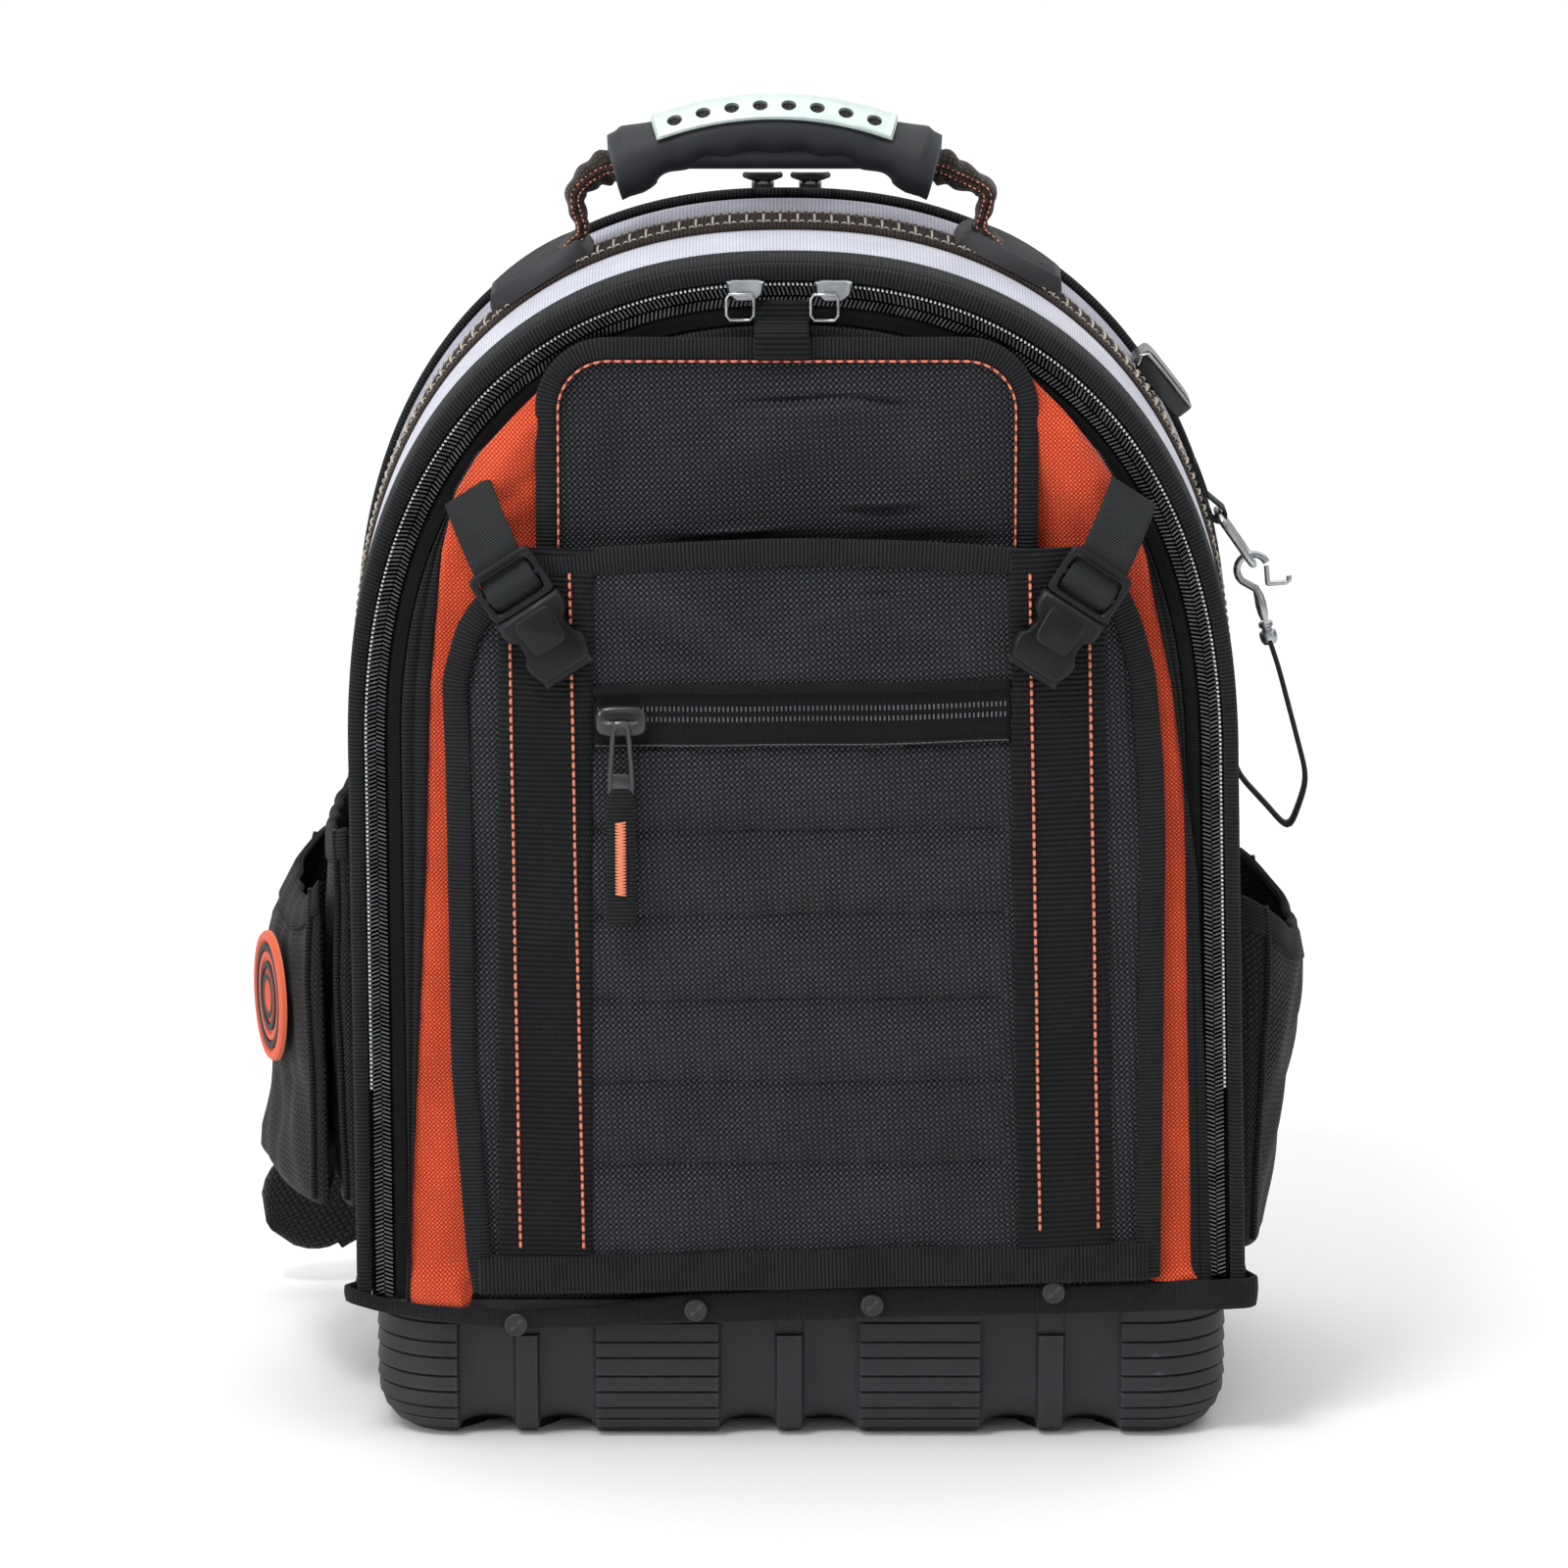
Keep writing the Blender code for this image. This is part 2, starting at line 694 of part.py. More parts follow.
def build_skirt():
    """A cloth band sewn round the foot of the bag, with a gently waved lower hem."""
    width, depth = skirt_half_sizes()
    shares = [-1 + 2 * index / 14 for index in range(15)]
    side_shares = [-1, -0.5, 0, 0.5, 1]
    inner, _ = rounded_plan(width, depth, SKIRT_CORNER, shares, side_shares, 3)
    outer, _ = rounded_plan(width + SKIRT_WALL, depth + SKIRT_WALL, SKIRT_CORNER + SKIRT_WALL,
                            shares, side_shares, 3)
    top = skirt_bottom() + SKIRT_HEIGHT
    loops = []
    for (ix, iy), (ox, oy) in zip(inner, outer):
        wave = SKIRT_WAVE * math.sin(ox * 2 * math.pi / BAR_PITCH * 1.5) * (1 if oy < 0 else 0.5)
        low = skirt_bottom() + wave
        loops.append([(ix, iy, low), (ox, oy, low), (ox, oy, top), (ix, iy, top)])
    loft("base_skirt", loops, black_webbing(), wrap=True)


# Rivets in the skirt: (share of the half-width, share of the skirt's height)
RIVET_ROWS = ((-0.634, 0.34), (-0.235, 0.50), (0.157, 0.60), (0.560, 0.70))


def build_rivets():
    width, depth = skirt_half_sizes()
    front = -depth - SKIRT_WALL - FIT
    for index, (across, up) in enumerate(RIVET_ROWS):
        x = across * width
        z = skirt_bottom() + up * SKIRT_HEIGHT
        loops = []
        for out, share in ((0.0, 1.0), (0.45, 1.0), (1.0, 0.55)):
            radius = RIVET_RADIUS * share
            loops.append([(x + radius * a, front - RIVET_HEIGHT * out, z + radius * b)
                          for a, b in oval(2, 2, 10)])
        loft("skirt_rivet_%d" % (index + 1), loops, black_plastic())


# Front layers

def lean_at(z):
    return -LEAN * (z - TUB_HEIGHT) / (BODY_TOP - TUB_HEIGHT)


def bellows_face(x, z):
    """Depth of the orange bellows' outer face: a low dome over the door."""
    share = min(1.0, abs(x - lean_at(z)) / SPRING_HALF_WIDTH)
    up = (z - TUB_HEIGHT) / (BODY_TOP - TUB_HEIGHT)
    dome = (1 - share ** 2.4) * (0.35 + 0.65 * math.sin(math.pi * min(1.0, max(0.0, up)) ** 0.9))
    base = FRONT_EDGE + 2 * FIT + ZIP_TAPE_THICK + BELLOWS_WALL
    return -(base + BELLOWS_SWELL * dome)


def flap_face(x, z):
    return bellows_face(x, z) - FIT - FLAP_THICK


def pocket_back(x, z):
    """Depth of the pocket panel's inner face: it stands off the bellows most at its mouth."""
    up = (z - POCKET_BOTTOM) / (POCKET_TOP - POCKET_BOTTOM)
    share = min(1.0, abs(x) / (POCKET_HALF_WIDTH * 1.02))
    stand = (1 - share ** 4) * (0.10 + 0.90 * min(1.05, max(0.0, up)) ** 0.7)
    return bellows_face(x, z) - 2 * FIT - POCKET_SWELL * stand


def pocket_face(x, z):
    return pocket_back(x, z) - POCKET_WALL


def sheet(name, rows, columns, face, back, material):
    """A curved sheet: rows of (z, left x, right x), columns as shares across, faces as depths."""
    loops = []
    for z, left, right in rows:
        xs = [left + (right - left) * share for share in columns]
        front = [(x, face(x, z), z) for x in xs]
        rear = [(x, back(x, z), z) for x in reversed(xs)]
        loops.append(front + rear)
    return loft(name, loops, material)


# Outline of the bellows over the door: (share of the height, left and right half-widths as shares
# of the spring half-width)
BELLOWS_ROWS = (
    (0.000, 0.865, 0.895), (0.130, 0.855, 0.875), (0.250, 0.845, 0.855), (0.440, 0.828, 0.835),
    (0.640, 0.815, 0.830), (0.780, 0.765, 0.775), (0.850, 0.710, 0.700), (0.905, 0.625, 0.615),
    (0.960, 0.540, 0.500), (1.000, 0.380, 0.340),
)


def build_bellows():
    bottom = skirt_bottom() + SKIRT_HEIGHT + FIT
    rows = []
    for up, left, right in BELLOWS_ROWS:
        height = bottom + up * (BELLOWS_TOP - bottom)
        rows.append((height, -left * SPRING_HALF_WIDTH, right * SPRING_HALF_WIDTH))
    columns = [0.0, 0.08, 0.2, 0.35, 0.5, 0.65, 0.8, 0.92, 1.0]
    sheet("orange_bellows", rows, columns, bellows_face,
          lambda x, z: bellows_face(x, z) + BELLOWS_WALL, orange_fabric())


def flap_rows(inset):
    """Rows of the upper flap: straight sides, round top corners."""
    left = FLAP_CENTRE - FLAP_HALF_WIDTH + inset
    right = FLAP_CENTRE + FLAP_HALF_WIDTH - inset
    radius = FLAP_CORNER - inset
    top = FLAP_TOP - inset
    rows = [(FLAP_BOTTOM + (top - radius - FLAP_BOTTOM) * share, left, right) for share in (0.0, 0.34, 0.67)]
    for index in range(5):
        turn = math.pi / 2 * index / 4
        draw = radius * (1 - math.cos(turn))
        rows.append((top - radius + radius * math.sin(turn), left + draw, right - draw))
    return rows


def build_flap():
    columns = [0.0, 0.12, 0.3, 0.5, 0.7, 0.88, 1.0]
    sheet("upper_flap", flap_rows(0.0), columns, flap_face,
          lambda x, z: bellows_face(x, z) - FIT, black_fabric())
    rows = flap_rows(FLAP_BINDING_WIDTH / 2)
    path = [(left, z) for z, left, _ in rows] + [(right, z) for z, _, right in reversed(rows)]
    laid_strip("flap_binding", path, FLAP_BINDING_WIDTH, flap_face, LAID_THICK, black_webbing())


def laid_strip(name, path, width, face, thick, material, across=3, closed=False):
    """A tape laid on a curved face along a path of (x, z) points."""
    path = np.asarray(path, float)
    ways = tangents(path, closed)
    loops = []
    shares = [index / (across - 1) - 0.5 for index in range(across)]
    for (x, z), (dx, dz) in zip(path, ways):
        edge = [(x - dz * width * share, z + dx * width * share) for share in shares]
        rear = [(px, face(px, pz) - FIT * 1.5, pz) for px, pz in edge]
        front = [(px, face(px, pz) - FIT * 1.5 - thick, pz) for px, pz in reversed(edge)]
        loops.append(rear + front)
    return loft(name, loops, material, wrap=closed)


# Side edges of the pocket panel: (share of the height, left and right as shares of the half-width)
POCKET_EDGE_ROWS = (
    (0.00, 0.925, 0.985), (0.28, 0.975, 0.995), (0.55, 1.000, 1.000), (0.74, 0.985, 0.995),
    (0.84, 0.975, 0.965), (0.90, 0.935, 0.930), (0.955, 0.870, 0.880), (1.00, 0.785, 0.800),
)
# Heights of the quilting seams below the zip, as shares of the panel's height
SEAM_SHARES = (0.157, 0.273, 0.387, 0.505, 0.622)
SEAM_HALF = 0.0035


def edge_share(up, column):
    """Half-width share of the pocket's edge at a share of its height."""
    ups = [row[0] for row in POCKET_EDGE_ROWS]
    return float(np.interp(up, ups, [row[column] for row in POCKET_EDGE_ROWS]))


def pocket_row_heights():
    """Shares of the panel's height where its rows lie: its corners and both sides of each seam."""
    height = POCKET_TOP - POCKET_BOTTOM
    shares = [0.0, 0.70, 0.78, 0.84, 0.90, 0.955, 1.0]
    for seam in SEAM_SHARES:
        shares += [seam - SEAM_HALF / height, seam, seam + SEAM_HALF / height]
    return sorted(shares)


def quilted_face(x, z):
    """The panel's outer face with a shallow seam across the middle field at each seam height."""
    up = (z - POCKET_BOTTOM) / (POCKET_TOP - POCKET_BOTTOM)
    nearest = min(abs(up - seam) for seam in SEAM_SHARES)
    field = abs(x) < WEBBING_CENTRE_X - WEBBING_WIDTH / 2 - 0.001
    return pocket_face(x, z) + (SEAM_DEPTH if field and nearest < 1e-6 else 0.0)


def build_pocket():
    rows = []
    for up in pocket_row_heights():
        z = POCKET_BOTTOM + up * (POCKET_TOP - POCKET_BOTTOM)
        rows.append((z, -edge_share(up, 1) * POCKET_HALF_WIDTH, edge_share(up, 2) * POCKET_HALF_WIDTH))
    columns = [0.0, 0.06, 0.215, 0.40, 0.60, 0.785, 0.94, 1.0]
    sheet("pocket_panel", rows, columns, quilted_face, pocket_back, black_fabric())

    inset = POCKET_BINDING_WIDTH / 2
    left = []
    right = []
    for up in (0.0, 0.157, 0.387, 0.622, 0.78, 0.84, 0.90, 0.955):
        z = POCKET_BOTTOM + up * (POCKET_TOP - POCKET_BOTTOM)
        left.append((-edge_share(up, 1) * POCKET_HALF_WIDTH + inset, z + (inset if up == 0.0 else 0.0)))
        right.append((edge_share(up, 2) * POCKET_HALF_WIDTH - inset, z + (inset if up == 0.0 else 0.0)))
    top = POCKET_TOP - inset
    crown = [(share * POCKET_HALF_WIDTH, top) for share in (-0.74, -0.5, -0.25, 0.0, 0.25, 0.5, 0.755)]
    foot = [(share * POCKET_HALF_WIDTH, POCKET_BOTTOM + inset)
            for share in (0.75, 0.5, 0.25, 0.0, -0.25, -0.5, -0.75)]
    laid_strip("pocket_binding", left + crown + list(reversed(right)) + foot, POCKET_BINDING_WIDTH,
               pocket_face, LAID_THICK, black_webbing(), closed=True)

    for label, centre in (("left", -WEBBING_CENTRE_X + 0.0005), ("right", WEBBING_CENTRE_X + 0.0005)):
        bottom = POCKET_BOTTOM + POCKET_BINDING_WIDTH + 3 * FIT
        ceiling = POCKET_BOTTOM + 0.905 * (POCKET_TOP - POCKET_BOTTOM)
        heights = [bottom] + [POCKET_BOTTOM + up * (POCKET_TOP - POCKET_BOTTOM)
                              for up in (0.157, 0.273, 0.387, 0.505, 0.622, 0.70, 0.78, 0.84)] + [ceiling]
        laid_strip("pocket_webbing_" + label, [(centre, z) for z in heights], WEBBING_WIDTH,
                   pocket_face, LAID_THICK, black_webbing())


def build_pocket_zip():
    """A zip across the pocket, its slider at the left end, and a pull with a cloth tail."""
    def chain_profile(x):
        half_tape = POCKET_ZIP_TAPE / 2
        half_chain = POCKET_CHAIN_WIDTH / 2
        z = POCKET_ZIP_HEIGHT - 0.002
        tape = pocket_face(x, z) - FIT * 1.5
        front = tape - 0.0008
        return [(x, tape, z - half_tape), (x, tape, z + half_tape), (x, front, z + half_tape),
                (x, front, z + half_chain + 0.0005), (x, front - 0.0012, z + half_chain),
                (x, front - 0.0012, z - half_chain), (x, front, z - half_chain - 0.0005),
                (x, front, z - half_tape)]

    loops = [chain_profile(POCKET_ZIP_HALF_LENGTH * share) for share in np.linspace(-1, 1, 9)]
    loft("pocket_zip", loops, black_fabric())

    slider_x = -POCKET_ZIP_HALF_LENGTH + SLIDER_LENGTH / 2 + 0.001
    z = POCKET_ZIP_HEIGHT - 0.002
    seat = min(pocket_face(slider_x - SLIDER_LENGTH / 2, z), pocket_face(slider_x + SLIDER_LENGTH / 2, z))
    seat -= 1.5 * FIT + 0.0020 + FIT
    body = 0.0032
    block("pocket_zip_slider", (slider_x, seat - body / 2, z), (SLIDER_LENGTH, body, SLIDER_WIDTH),
          black_plastic(), 0.8)

    thick = 0.0024
    depth = seat - body - 2 * FIT - thick / 2
    outline = [(-0.42, 0.0), (-0.50, -0.12), (-0.44, -0.92), (-0.30, -1.0),
               (0.30, -1.0), (0.44, -0.92), (0.50, -0.12), (0.42, 0.0)]
    loops = [[(a * PULL_WIDTH, out, b * PULL_LENGTH) for a, b in outline] for out in (thick / 2, -thick / 2)]
    pull = loft("pocket_zip_pull", loops, black_plastic())
    pull.location = (slider_x, depth, z)
    slot = [[(a * PULL_WIDTH * 0.26, out, -PULL_LENGTH * (0.60 + b * 0.22)) for a, b in oval(2, 2, 8)]
            for out in (thick, -thick)]
    cutter = loft("pull_slot", slot, black_plastic())
    cutter.location = pull.location
    combine(pull, cutter, "DIFFERENCE")

    tail_thick = 0.0018
    top = -PULL_LENGTH - FIT
    tail = block("pocket_zip_tail", (0.0, 0.0, top - TAIL_LENGTH / 2), (PULL_WIDTH, tail_thick, TAIL_LENGTH),
                 black_webbing())
    tail.location = pull.location


def build_door_tab():
    """A short webbing loop sewn at the top of the door, lying over the flap's upper edge."""
    x = FLAP_CENTRE - 0.002
    width = 0.0210
    top = FLAP_TOP + 0.0075
    bottom = FLAP_TOP - 0.006
    thick = 0.0028
    face = min(flap_face(x - width / 2, bottom), flap_face(x + width / 2, bottom)) - FIT * 4 - LAID_THICK
    base = -FRONT_EDGE - ZIP_TAPE_THICK - 3 * FIT
    path = [(top, base - thick / 2), (FLAP_TOP + 0.0045, base - thick / 2 - 0.0045),
            (FLAP_TOP + 0.0022, face - thick / 2), (bottom, face - thick / 2)]
    loops = []
    for z, y in path:
        loops.append([(x - width / 2, y + thick / 2, z), (x + width / 2, y + thick / 2, z),
                      (x + width / 2, y - thick / 2, z), (x - width / 2, y - thick / 2, z)])
    loft("door_tab", loops, black_webbing())


# Compression straps

def buckle_frame_axes(side):
    """Down-strap and across directions in the front plane."""
    turn = math.radians(BUCKLE_TILT)
    down = np.array([-side * math.sin(turn), 0.0, -math.cos(turn)])
    across = np.array([math.cos(turn), 0.0, -side * math.sin(turn)])
    return down, across


def oriented_prism(name, origin, down, across, outline, near, far, material):
    """Extrude an outline of (across, down) points between two heights above the bag."""
    loops = []
    for out in (near, far):
        loops.append([origin + across * a + down * d + np.array([0.0, -out, 0.0]) for a, d in outline])
    return loft(name, loops, material)


def build_buckles():
    """Each strap comes down from the door's shoulder and is threaded through the buckle's frame."""
    for side, label in ((-1, "left"), (1, "right")):
        top_x = side * (POCKET_HALF_WIDTH - BUCKLE_INSET) - 0.0005
        top_z = POCKET_TOP - 0.004
        down, across = buckle_frame_axes(side)
        surface = min(pocket_face(top_x - side * 0.02, top_z - 0.02), pocket_face(top_x, top_z - 0.04))
        base = -surface + LAID_THICK + 0.0036
        origin = np.array([top_x, 0.0, top_z])
        half = BUCKLE_WIDTH / 2
        length = BUCKLE_FRAME_LENGTH
        bar = 0.0030
        slot = 0.0062
        frame_thick = 0.0040
        outline = [(-half, 0.0), (half, 0.0), (half, length), (half * 0.5, length),
                   (half * 0.5, length + 0.010), (-half * 0.5, length + 0.010), (-half * 0.5, length),
                   (-half, length)]
        frame = oriented_prism("buckle_frame_" + label, origin, down, across, outline,
                               base, base + frame_thick, black_plastic())
        slots = []
        for start in (bar, 2 * bar + slot):
            hole = half - 0.0022
            slots.append(oriented_prism("slot", origin, down, across,
                                        [(-hole, start), (hole, start), (hole, start + slot),
                                         (-hole, start + slot)],
                                        base - 0.002, base + frame_thick + 0.002, black_plastic()))
        combine(frame, joined_mesh("frame_slots_" + label, slots, black_plastic()), "DIFFERENCE")

        mouth = length + 2 * FIT
        end = mouth + BUCKLE_SOCKET_LENGTH
        waist = half * 0.80
        body = [(-half, mouth), (half, mouth), (half, mouth + 0.007), (waist, mouth + 0.009),
                (waist, mouth + 0.017), (half * 0.92, mouth + 0.019), (half * 0.80, end), (-half * 0.80, end),
                (-half * 0.92, mouth + 0.019), (-waist, mouth + 0.017), (-waist, mouth + 0.009),
                (-half, mouth + 0.007)]
        lower = base - 0.0015
        socket = oriented_prism("buckle_socket_" + label, origin, down, across, body,
                                lower, lower + BUCKLE_THICK, black_plastic())
        tongue = half * 0.5 + 2 * FIT
        cavity = oriented_prism("socket_cavity_" + label, origin, down, across,
                                [(-tongue, mouth - 0.002), (tongue, mouth - 0.002),
                                 (tongue, length + 0.010 + FIT), (-tongue, length + 0.010 + FIT)],
                                base - FIT, base + frame_thick + FIT, black_plastic())
        combine(socket, cavity, "DIFFERENCE")
        build_strap(side, label, origin, down, across, base, frame_thick, bar, slot)


def build_strap(side, label, origin, down, across, base, frame_thick, bar, slot):
    """Strap from the shoulder of the door, behind the frame's top bar and over its middle bar."""
    behind = base - FIT - STRAP_THICK / 2
    over = base + frame_thick + FIT + STRAP_THICK / 2
    middle = bar + slot
    climb = 0.0006
    route = [(-0.034, behind - 0.012), (-0.026, behind - 0.0075), (-0.015, behind - 0.0022), (-0.004, behind),
             (bar + climb, behind), (middle - climb, over), (middle + bar + climb, over),
             (middle + bar + slot - climb, behind)]
    loops = []
    places = np.array([(d, out) for d, out in route])
    ways = tangents(places)
    for (d, out), (wd, wo) in zip(places, ways):
        normal = np.array([-wo, wd])
        loop = []
        for across_share, thick_share in ((-0.5, -0.5), (0.5, -0.5), (0.5, 0.5), (-0.5, 0.5)):
            shifted_d = d + normal[0] * STRAP_THICK * thick_share
            shifted_out = out + normal[1] * STRAP_THICK * thick_share
            loop.append(origin + across * STRAP_WIDTH * across_share + down * shifted_d
                        + np.array([0.0, -shifted_out, 0.0]))
        loops.append(loop)
    loft("compression_strap_" + label, loops, black_webbing())


# Handle

def handle_line(share):
    """Middle of the grip at a share from -1 to 1 of its half-span."""
    x = HANDLE_CENTRE + share * HANDLE_SPAN / 2
    z = BODY_TOP + HANDLE_GAP + HANDLE_THICK / 2 - HANDLE_ARC_RISE * share ** 2
    return np.array([x, 0.0, z])


# Swell of the grip along its half-length: (share of the half-span, thickness share, width share)
GRIP_ROWS = ((-1.00, 1.12, 1.10), (-0.90, 1.06, 1.04), (-0.78, 0.95, 0.98), (-0.60, 1.04, 1.0),
             (-0.42, 0.94, 1.0), (-0.22, 1.04, 1.0), (0.0, 0.95, 1.0))


def grip_rows():
    return list(GRIP_ROWS) + [(-share, thick, width) for share, thick, width in reversed(GRIP_ROWS[:-1])]


def grip_shares():
    return [row[0] for row in grip_rows()]


def build_handle():
    rows = grip_rows()
    path = np.array([handle_line(share) for share, _, _ in rows])
    ways = tangents(path)
    bore_thick = 0.0110
    bore_width = 0.0170
    outer = []
    inner = []
    up_points = oval(1.0, 1.0, 8)
    for (share, thick, width), point, way in zip(rows, path, ways):
        out = np.cross(way, np.array([0.0, 1.0, 0.0]))
        outer.append([point + np.array([0.0, a * HANDLE_WIDTH * width, 0.0])
                      + out * (b * HANDLE_THICK * thick + (0.5 - 0.5 * thick) * HANDLE_THICK)
                      for a, b in up_points])
        inner.append([point + np.array([0.0, a * (bore_width + 2 * FIT), 0.0])
                      + out * b * (bore_thick + 2 * FIT) for a, b in up_points])
    loft("handle_grip", outer + inner[::-1], rubber(), wrap=True)
    build_plate()
    build_handle_strap(bore_width, bore_thick)


def build_plate():
    """A light plate over the top of the grip, pierced by a row of round holes."""
    shares = np.linspace(-1, 1, 9) * PLATE_SPAN / HANDLE_SPAN
    path = np.array([handle_line(share) for share in shares])
    ways = tangents(path)
    radius_out = HANDLE_THICK / 2 + 0.0015
    loops = []
    spread = (-62, -38, -12, 12, 38, 62)
    for point, way in zip(path, ways):
        out = np.cross(way, np.array([0.0, 1.0, 0.0]))
        if out[2] < 0:
            out = -out
        front = []
        back = []
        for angle in spread:
            turn = math.radians(angle)
            flat = HANDLE_WIDTH / 2 + 0.0008
            base = np.array([0.0, flat * math.sin(turn), 0.0]) + out * radius_out * math.cos(turn)
            way_out = unit(np.array([0.0, math.sin(turn), 0.0]) + out * math.cos(turn))
            back.append(point + base)
            front.append(point + base + way_out * PLATE_THICK)
        loops.append(front + back[::-1])
    plate = loft("handle_plate", loops, plate_silver())
    holes = []
    reach = HANDLE_WIDTH / 2 + 0.006
    for index in range(PLATE_HOLES):
        share = (index - (PLATE_HOLES - 1) / 2) / (PLATE_HOLES / 2) * 0.90 * PLATE_SPAN / HANDLE_SPAN
        centre = handle_line(share)
        turn = math.radians(-28)
        way = np.array([0.0, math.sin(turn), math.cos(turn)])
        side = np.array([1.0, 0.0, 0.0])
        up = np.cross(way, side)
        loops = [[centre + way * distance + side * 0.0034 * a + up * 0.0034 * b for a, b in oval(2, 2, 8)]
                 for distance in (0.006, reach)]
        holes.append(loft("hole", loops, plate_silver()))
    combine(plate, joined_mesh("plate_holes", holes, plate_silver()), "DIFFERENCE")


def tape_top():
    """How far the stitched webbing's surface stands over the gusset."""
    return FIT + TAPE_THICK * 1.6


def build_handle_strap(bore_width, bore_thick):
    """The strap that runs through the grip and down to an anchor on each side."""
    knots = []
    sizes = []
    for side in (-1, 1):
        leg_x = HANDLE_CENTRE + side * HANDLE_LEG_SPREAD
        station = station_for_x(leg_x)
        foot, _, outward = arch_frame(station, tape_top() + ANCHOR_THICK + 3 * FIT, 0.0)
        end = handle_line(side * 1.0)
        side_rows = [
            (foot, 0.026, 0.0045),
            (foot + outward * 0.007 + np.array([-side * 0.0010, 0, 0.001]), 0.024, 0.0045),
            (np.array([leg_x + side * 0.0010, 0.0, foot[2] + 0.0155]), 0.022, 0.0060),
            (np.array([end[0] + side * 0.0070, 0.0, end[2] - 0.0010]), 0.0165, 0.0095),
            (end, bore_width * 0.88, bore_thick * 0.80),
        ]
        if side < 0:
            rows = side_rows
        else:
            rows = side_rows[::-1]
        for point, wide, thick in rows:
            knots.append(point)
            sizes.append((wide, thick))
        if side < 0:
            for share in grip_shares()[1:-1]:
                knots.append(handle_line(share))
                sizes.append((bore_width - 2 * FIT, bore_thick - 2 * FIT))
    sections = [oval(wide, thick, 8) for wide, thick in sizes]
    sweep("handle_strap", np.array(knots), sections, (0.0, 1.0, 0.0), brown_webbing())


def station_after(station, distance, side):
    """Station a distance further down the arch towards the left (-1) or right (1) foot."""
    step = 0.002
    gone = 0.0
    while gone < distance:
        here = arch_point(station, 0.0, 0.0)
        station += side * step
        gone += np.linalg.norm(arch_point(station, 0.0, 0.0) - here)
    return station


def station_for_x(x):
    low, high = FLANK_SHARE, 1 - FLANK_SHARE
    for _ in range(40):
        middle = (low + high) / 2
        if arch_point(middle, 0.0, 0.0)[0] < x:
            low = middle
        else:
            high = middle
    return low


def build_anchors():
    """A moulded cap on each shoulder, bent to the gusset and flat on top."""
    for side, label in ((-1, "left"), (1, "right")):
        leg = station_for_x(HANDLE_CENTRE + side * HANDLE_LEG_SPREAD)
        inner = station_after(leg, ANCHOR_LENGTH * 0.2, -side)
        outer = station_after(inner, ANCHOR_LENGTH, side)
        loops = []
        steps = 7
        for index in range(steps):
            share = index / (steps - 1)
            station = inner + (outer - inner) * share
            round_off = 0.35 + 0.65 * math.sin(math.pi * min(max(share, 0.08), 0.92)) ** 0.5
            half = ANCHOR_WIDTH / 2 * round_off
            low = tape_top() + FIT
            rim = low + ANCHOR_THICK * 0.35
            high = low + ANCHOR_THICK
            shape = [(-half, low), (half, low), (half, rim), (half - 0.005, high), (-half + 0.005, high),
                     (-half, rim)]
            loops.append([arch_frame(station, out, y)[0] for y, out in shape])
        loft("handle_anchor_" + label, loops, rubber())


# Side pockets

def side_cup(name, side, reach, bottom, top, half_depth, middle_y, bulge_rows, material, lean_out=0.0):
    """A pocket of cloth on the bag's flank, open on top, as a cup against the gusset's tapes.

    bulge_rows are (share of the height, share of the reach).
    """
    outer = []
    inner = []
    wall = POCKET_SIDE_WALL
    plan = [(0.0, -1.0), (0.45, -0.97), (0.85, -0.80), (1.0, -0.45), (1.0, 0.0), (1.0, 0.45),
            (0.85, 0.80), (0.45, 0.97), (0.0, 1.0)]
    for share, swell in bulge_rows:
        z = bottom + share * (top - bottom)
        station = station_at_height(z, side)
        grown = max(arch_frame(station, 0.0, middle_y + d)[0][0] * side for d in (-half_depth, 0, half_depth))
        seat = grown + tape_top() + 2 * FIT + lean_out
        deep = half_depth
        outer.append([(side * (seat + out * reach * swell), middle_y + along * deep, z)
                      for out, along in plan])
        inner.append([(side * (seat + wall + out * (reach * swell - 2 * wall)),
                       middle_y + along * (deep - wall), max(z, bottom + wall)) for out, along in plan])
    return loft(name, outer + inner[::-1], material)


# Swell of the pockets from bottom to top: (share of the height, share of the reach)
POUCH_ROWS = ((0.0, 0.60), (0.10, 0.95), (0.28, 0.90), (0.45, 0.93), (0.68, 1.0), (0.88, 0.85), (1.0, 0.62))
SLEEVE_ROWS = ((0.0, 0.8), (0.5, 1.0), (1.0, 1.0))
RIGHT_SLEEVE_ROWS = ((0.0, 0.35), (0.3, 0.55), (0.6, 0.80), (0.88, 0.98), (1.0, 1.0))


def build_side_pockets():
    side_cup("side_sleeve_left", -1, SLEEVE_REACH, POUCH_BOTTOM, POUCH_BOTTOM + LEFT_SLEEVE_HEIGHT,
             POUCH_HALF_DEPTH + 0.004, POUCH_MIDDLE_Y, SLEEVE_ROWS, black_fabric())
    side_cup("side_pouch_left", -1, POUCH_REACH - SLEEVE_REACH, POUCH_BOTTOM, POUCH_BOTTOM + POUCH_HEIGHT,
             POUCH_HALF_DEPTH, POUCH_MIDDLE_Y, POUCH_ROWS, black_fabric(), SLEEVE_REACH + FIT)
    side_cup("side_sleeve_right", 1, RIGHT_SLEEVE_REACH, POUCH_BOTTOM - 0.003,
             POUCH_BOTTOM + RIGHT_SLEEVE_HEIGHT, POUCH_HALF_DEPTH * 0.9, POUCH_MIDDLE_Y, RIGHT_SLEEVE_ROWS,
             black_fabric())


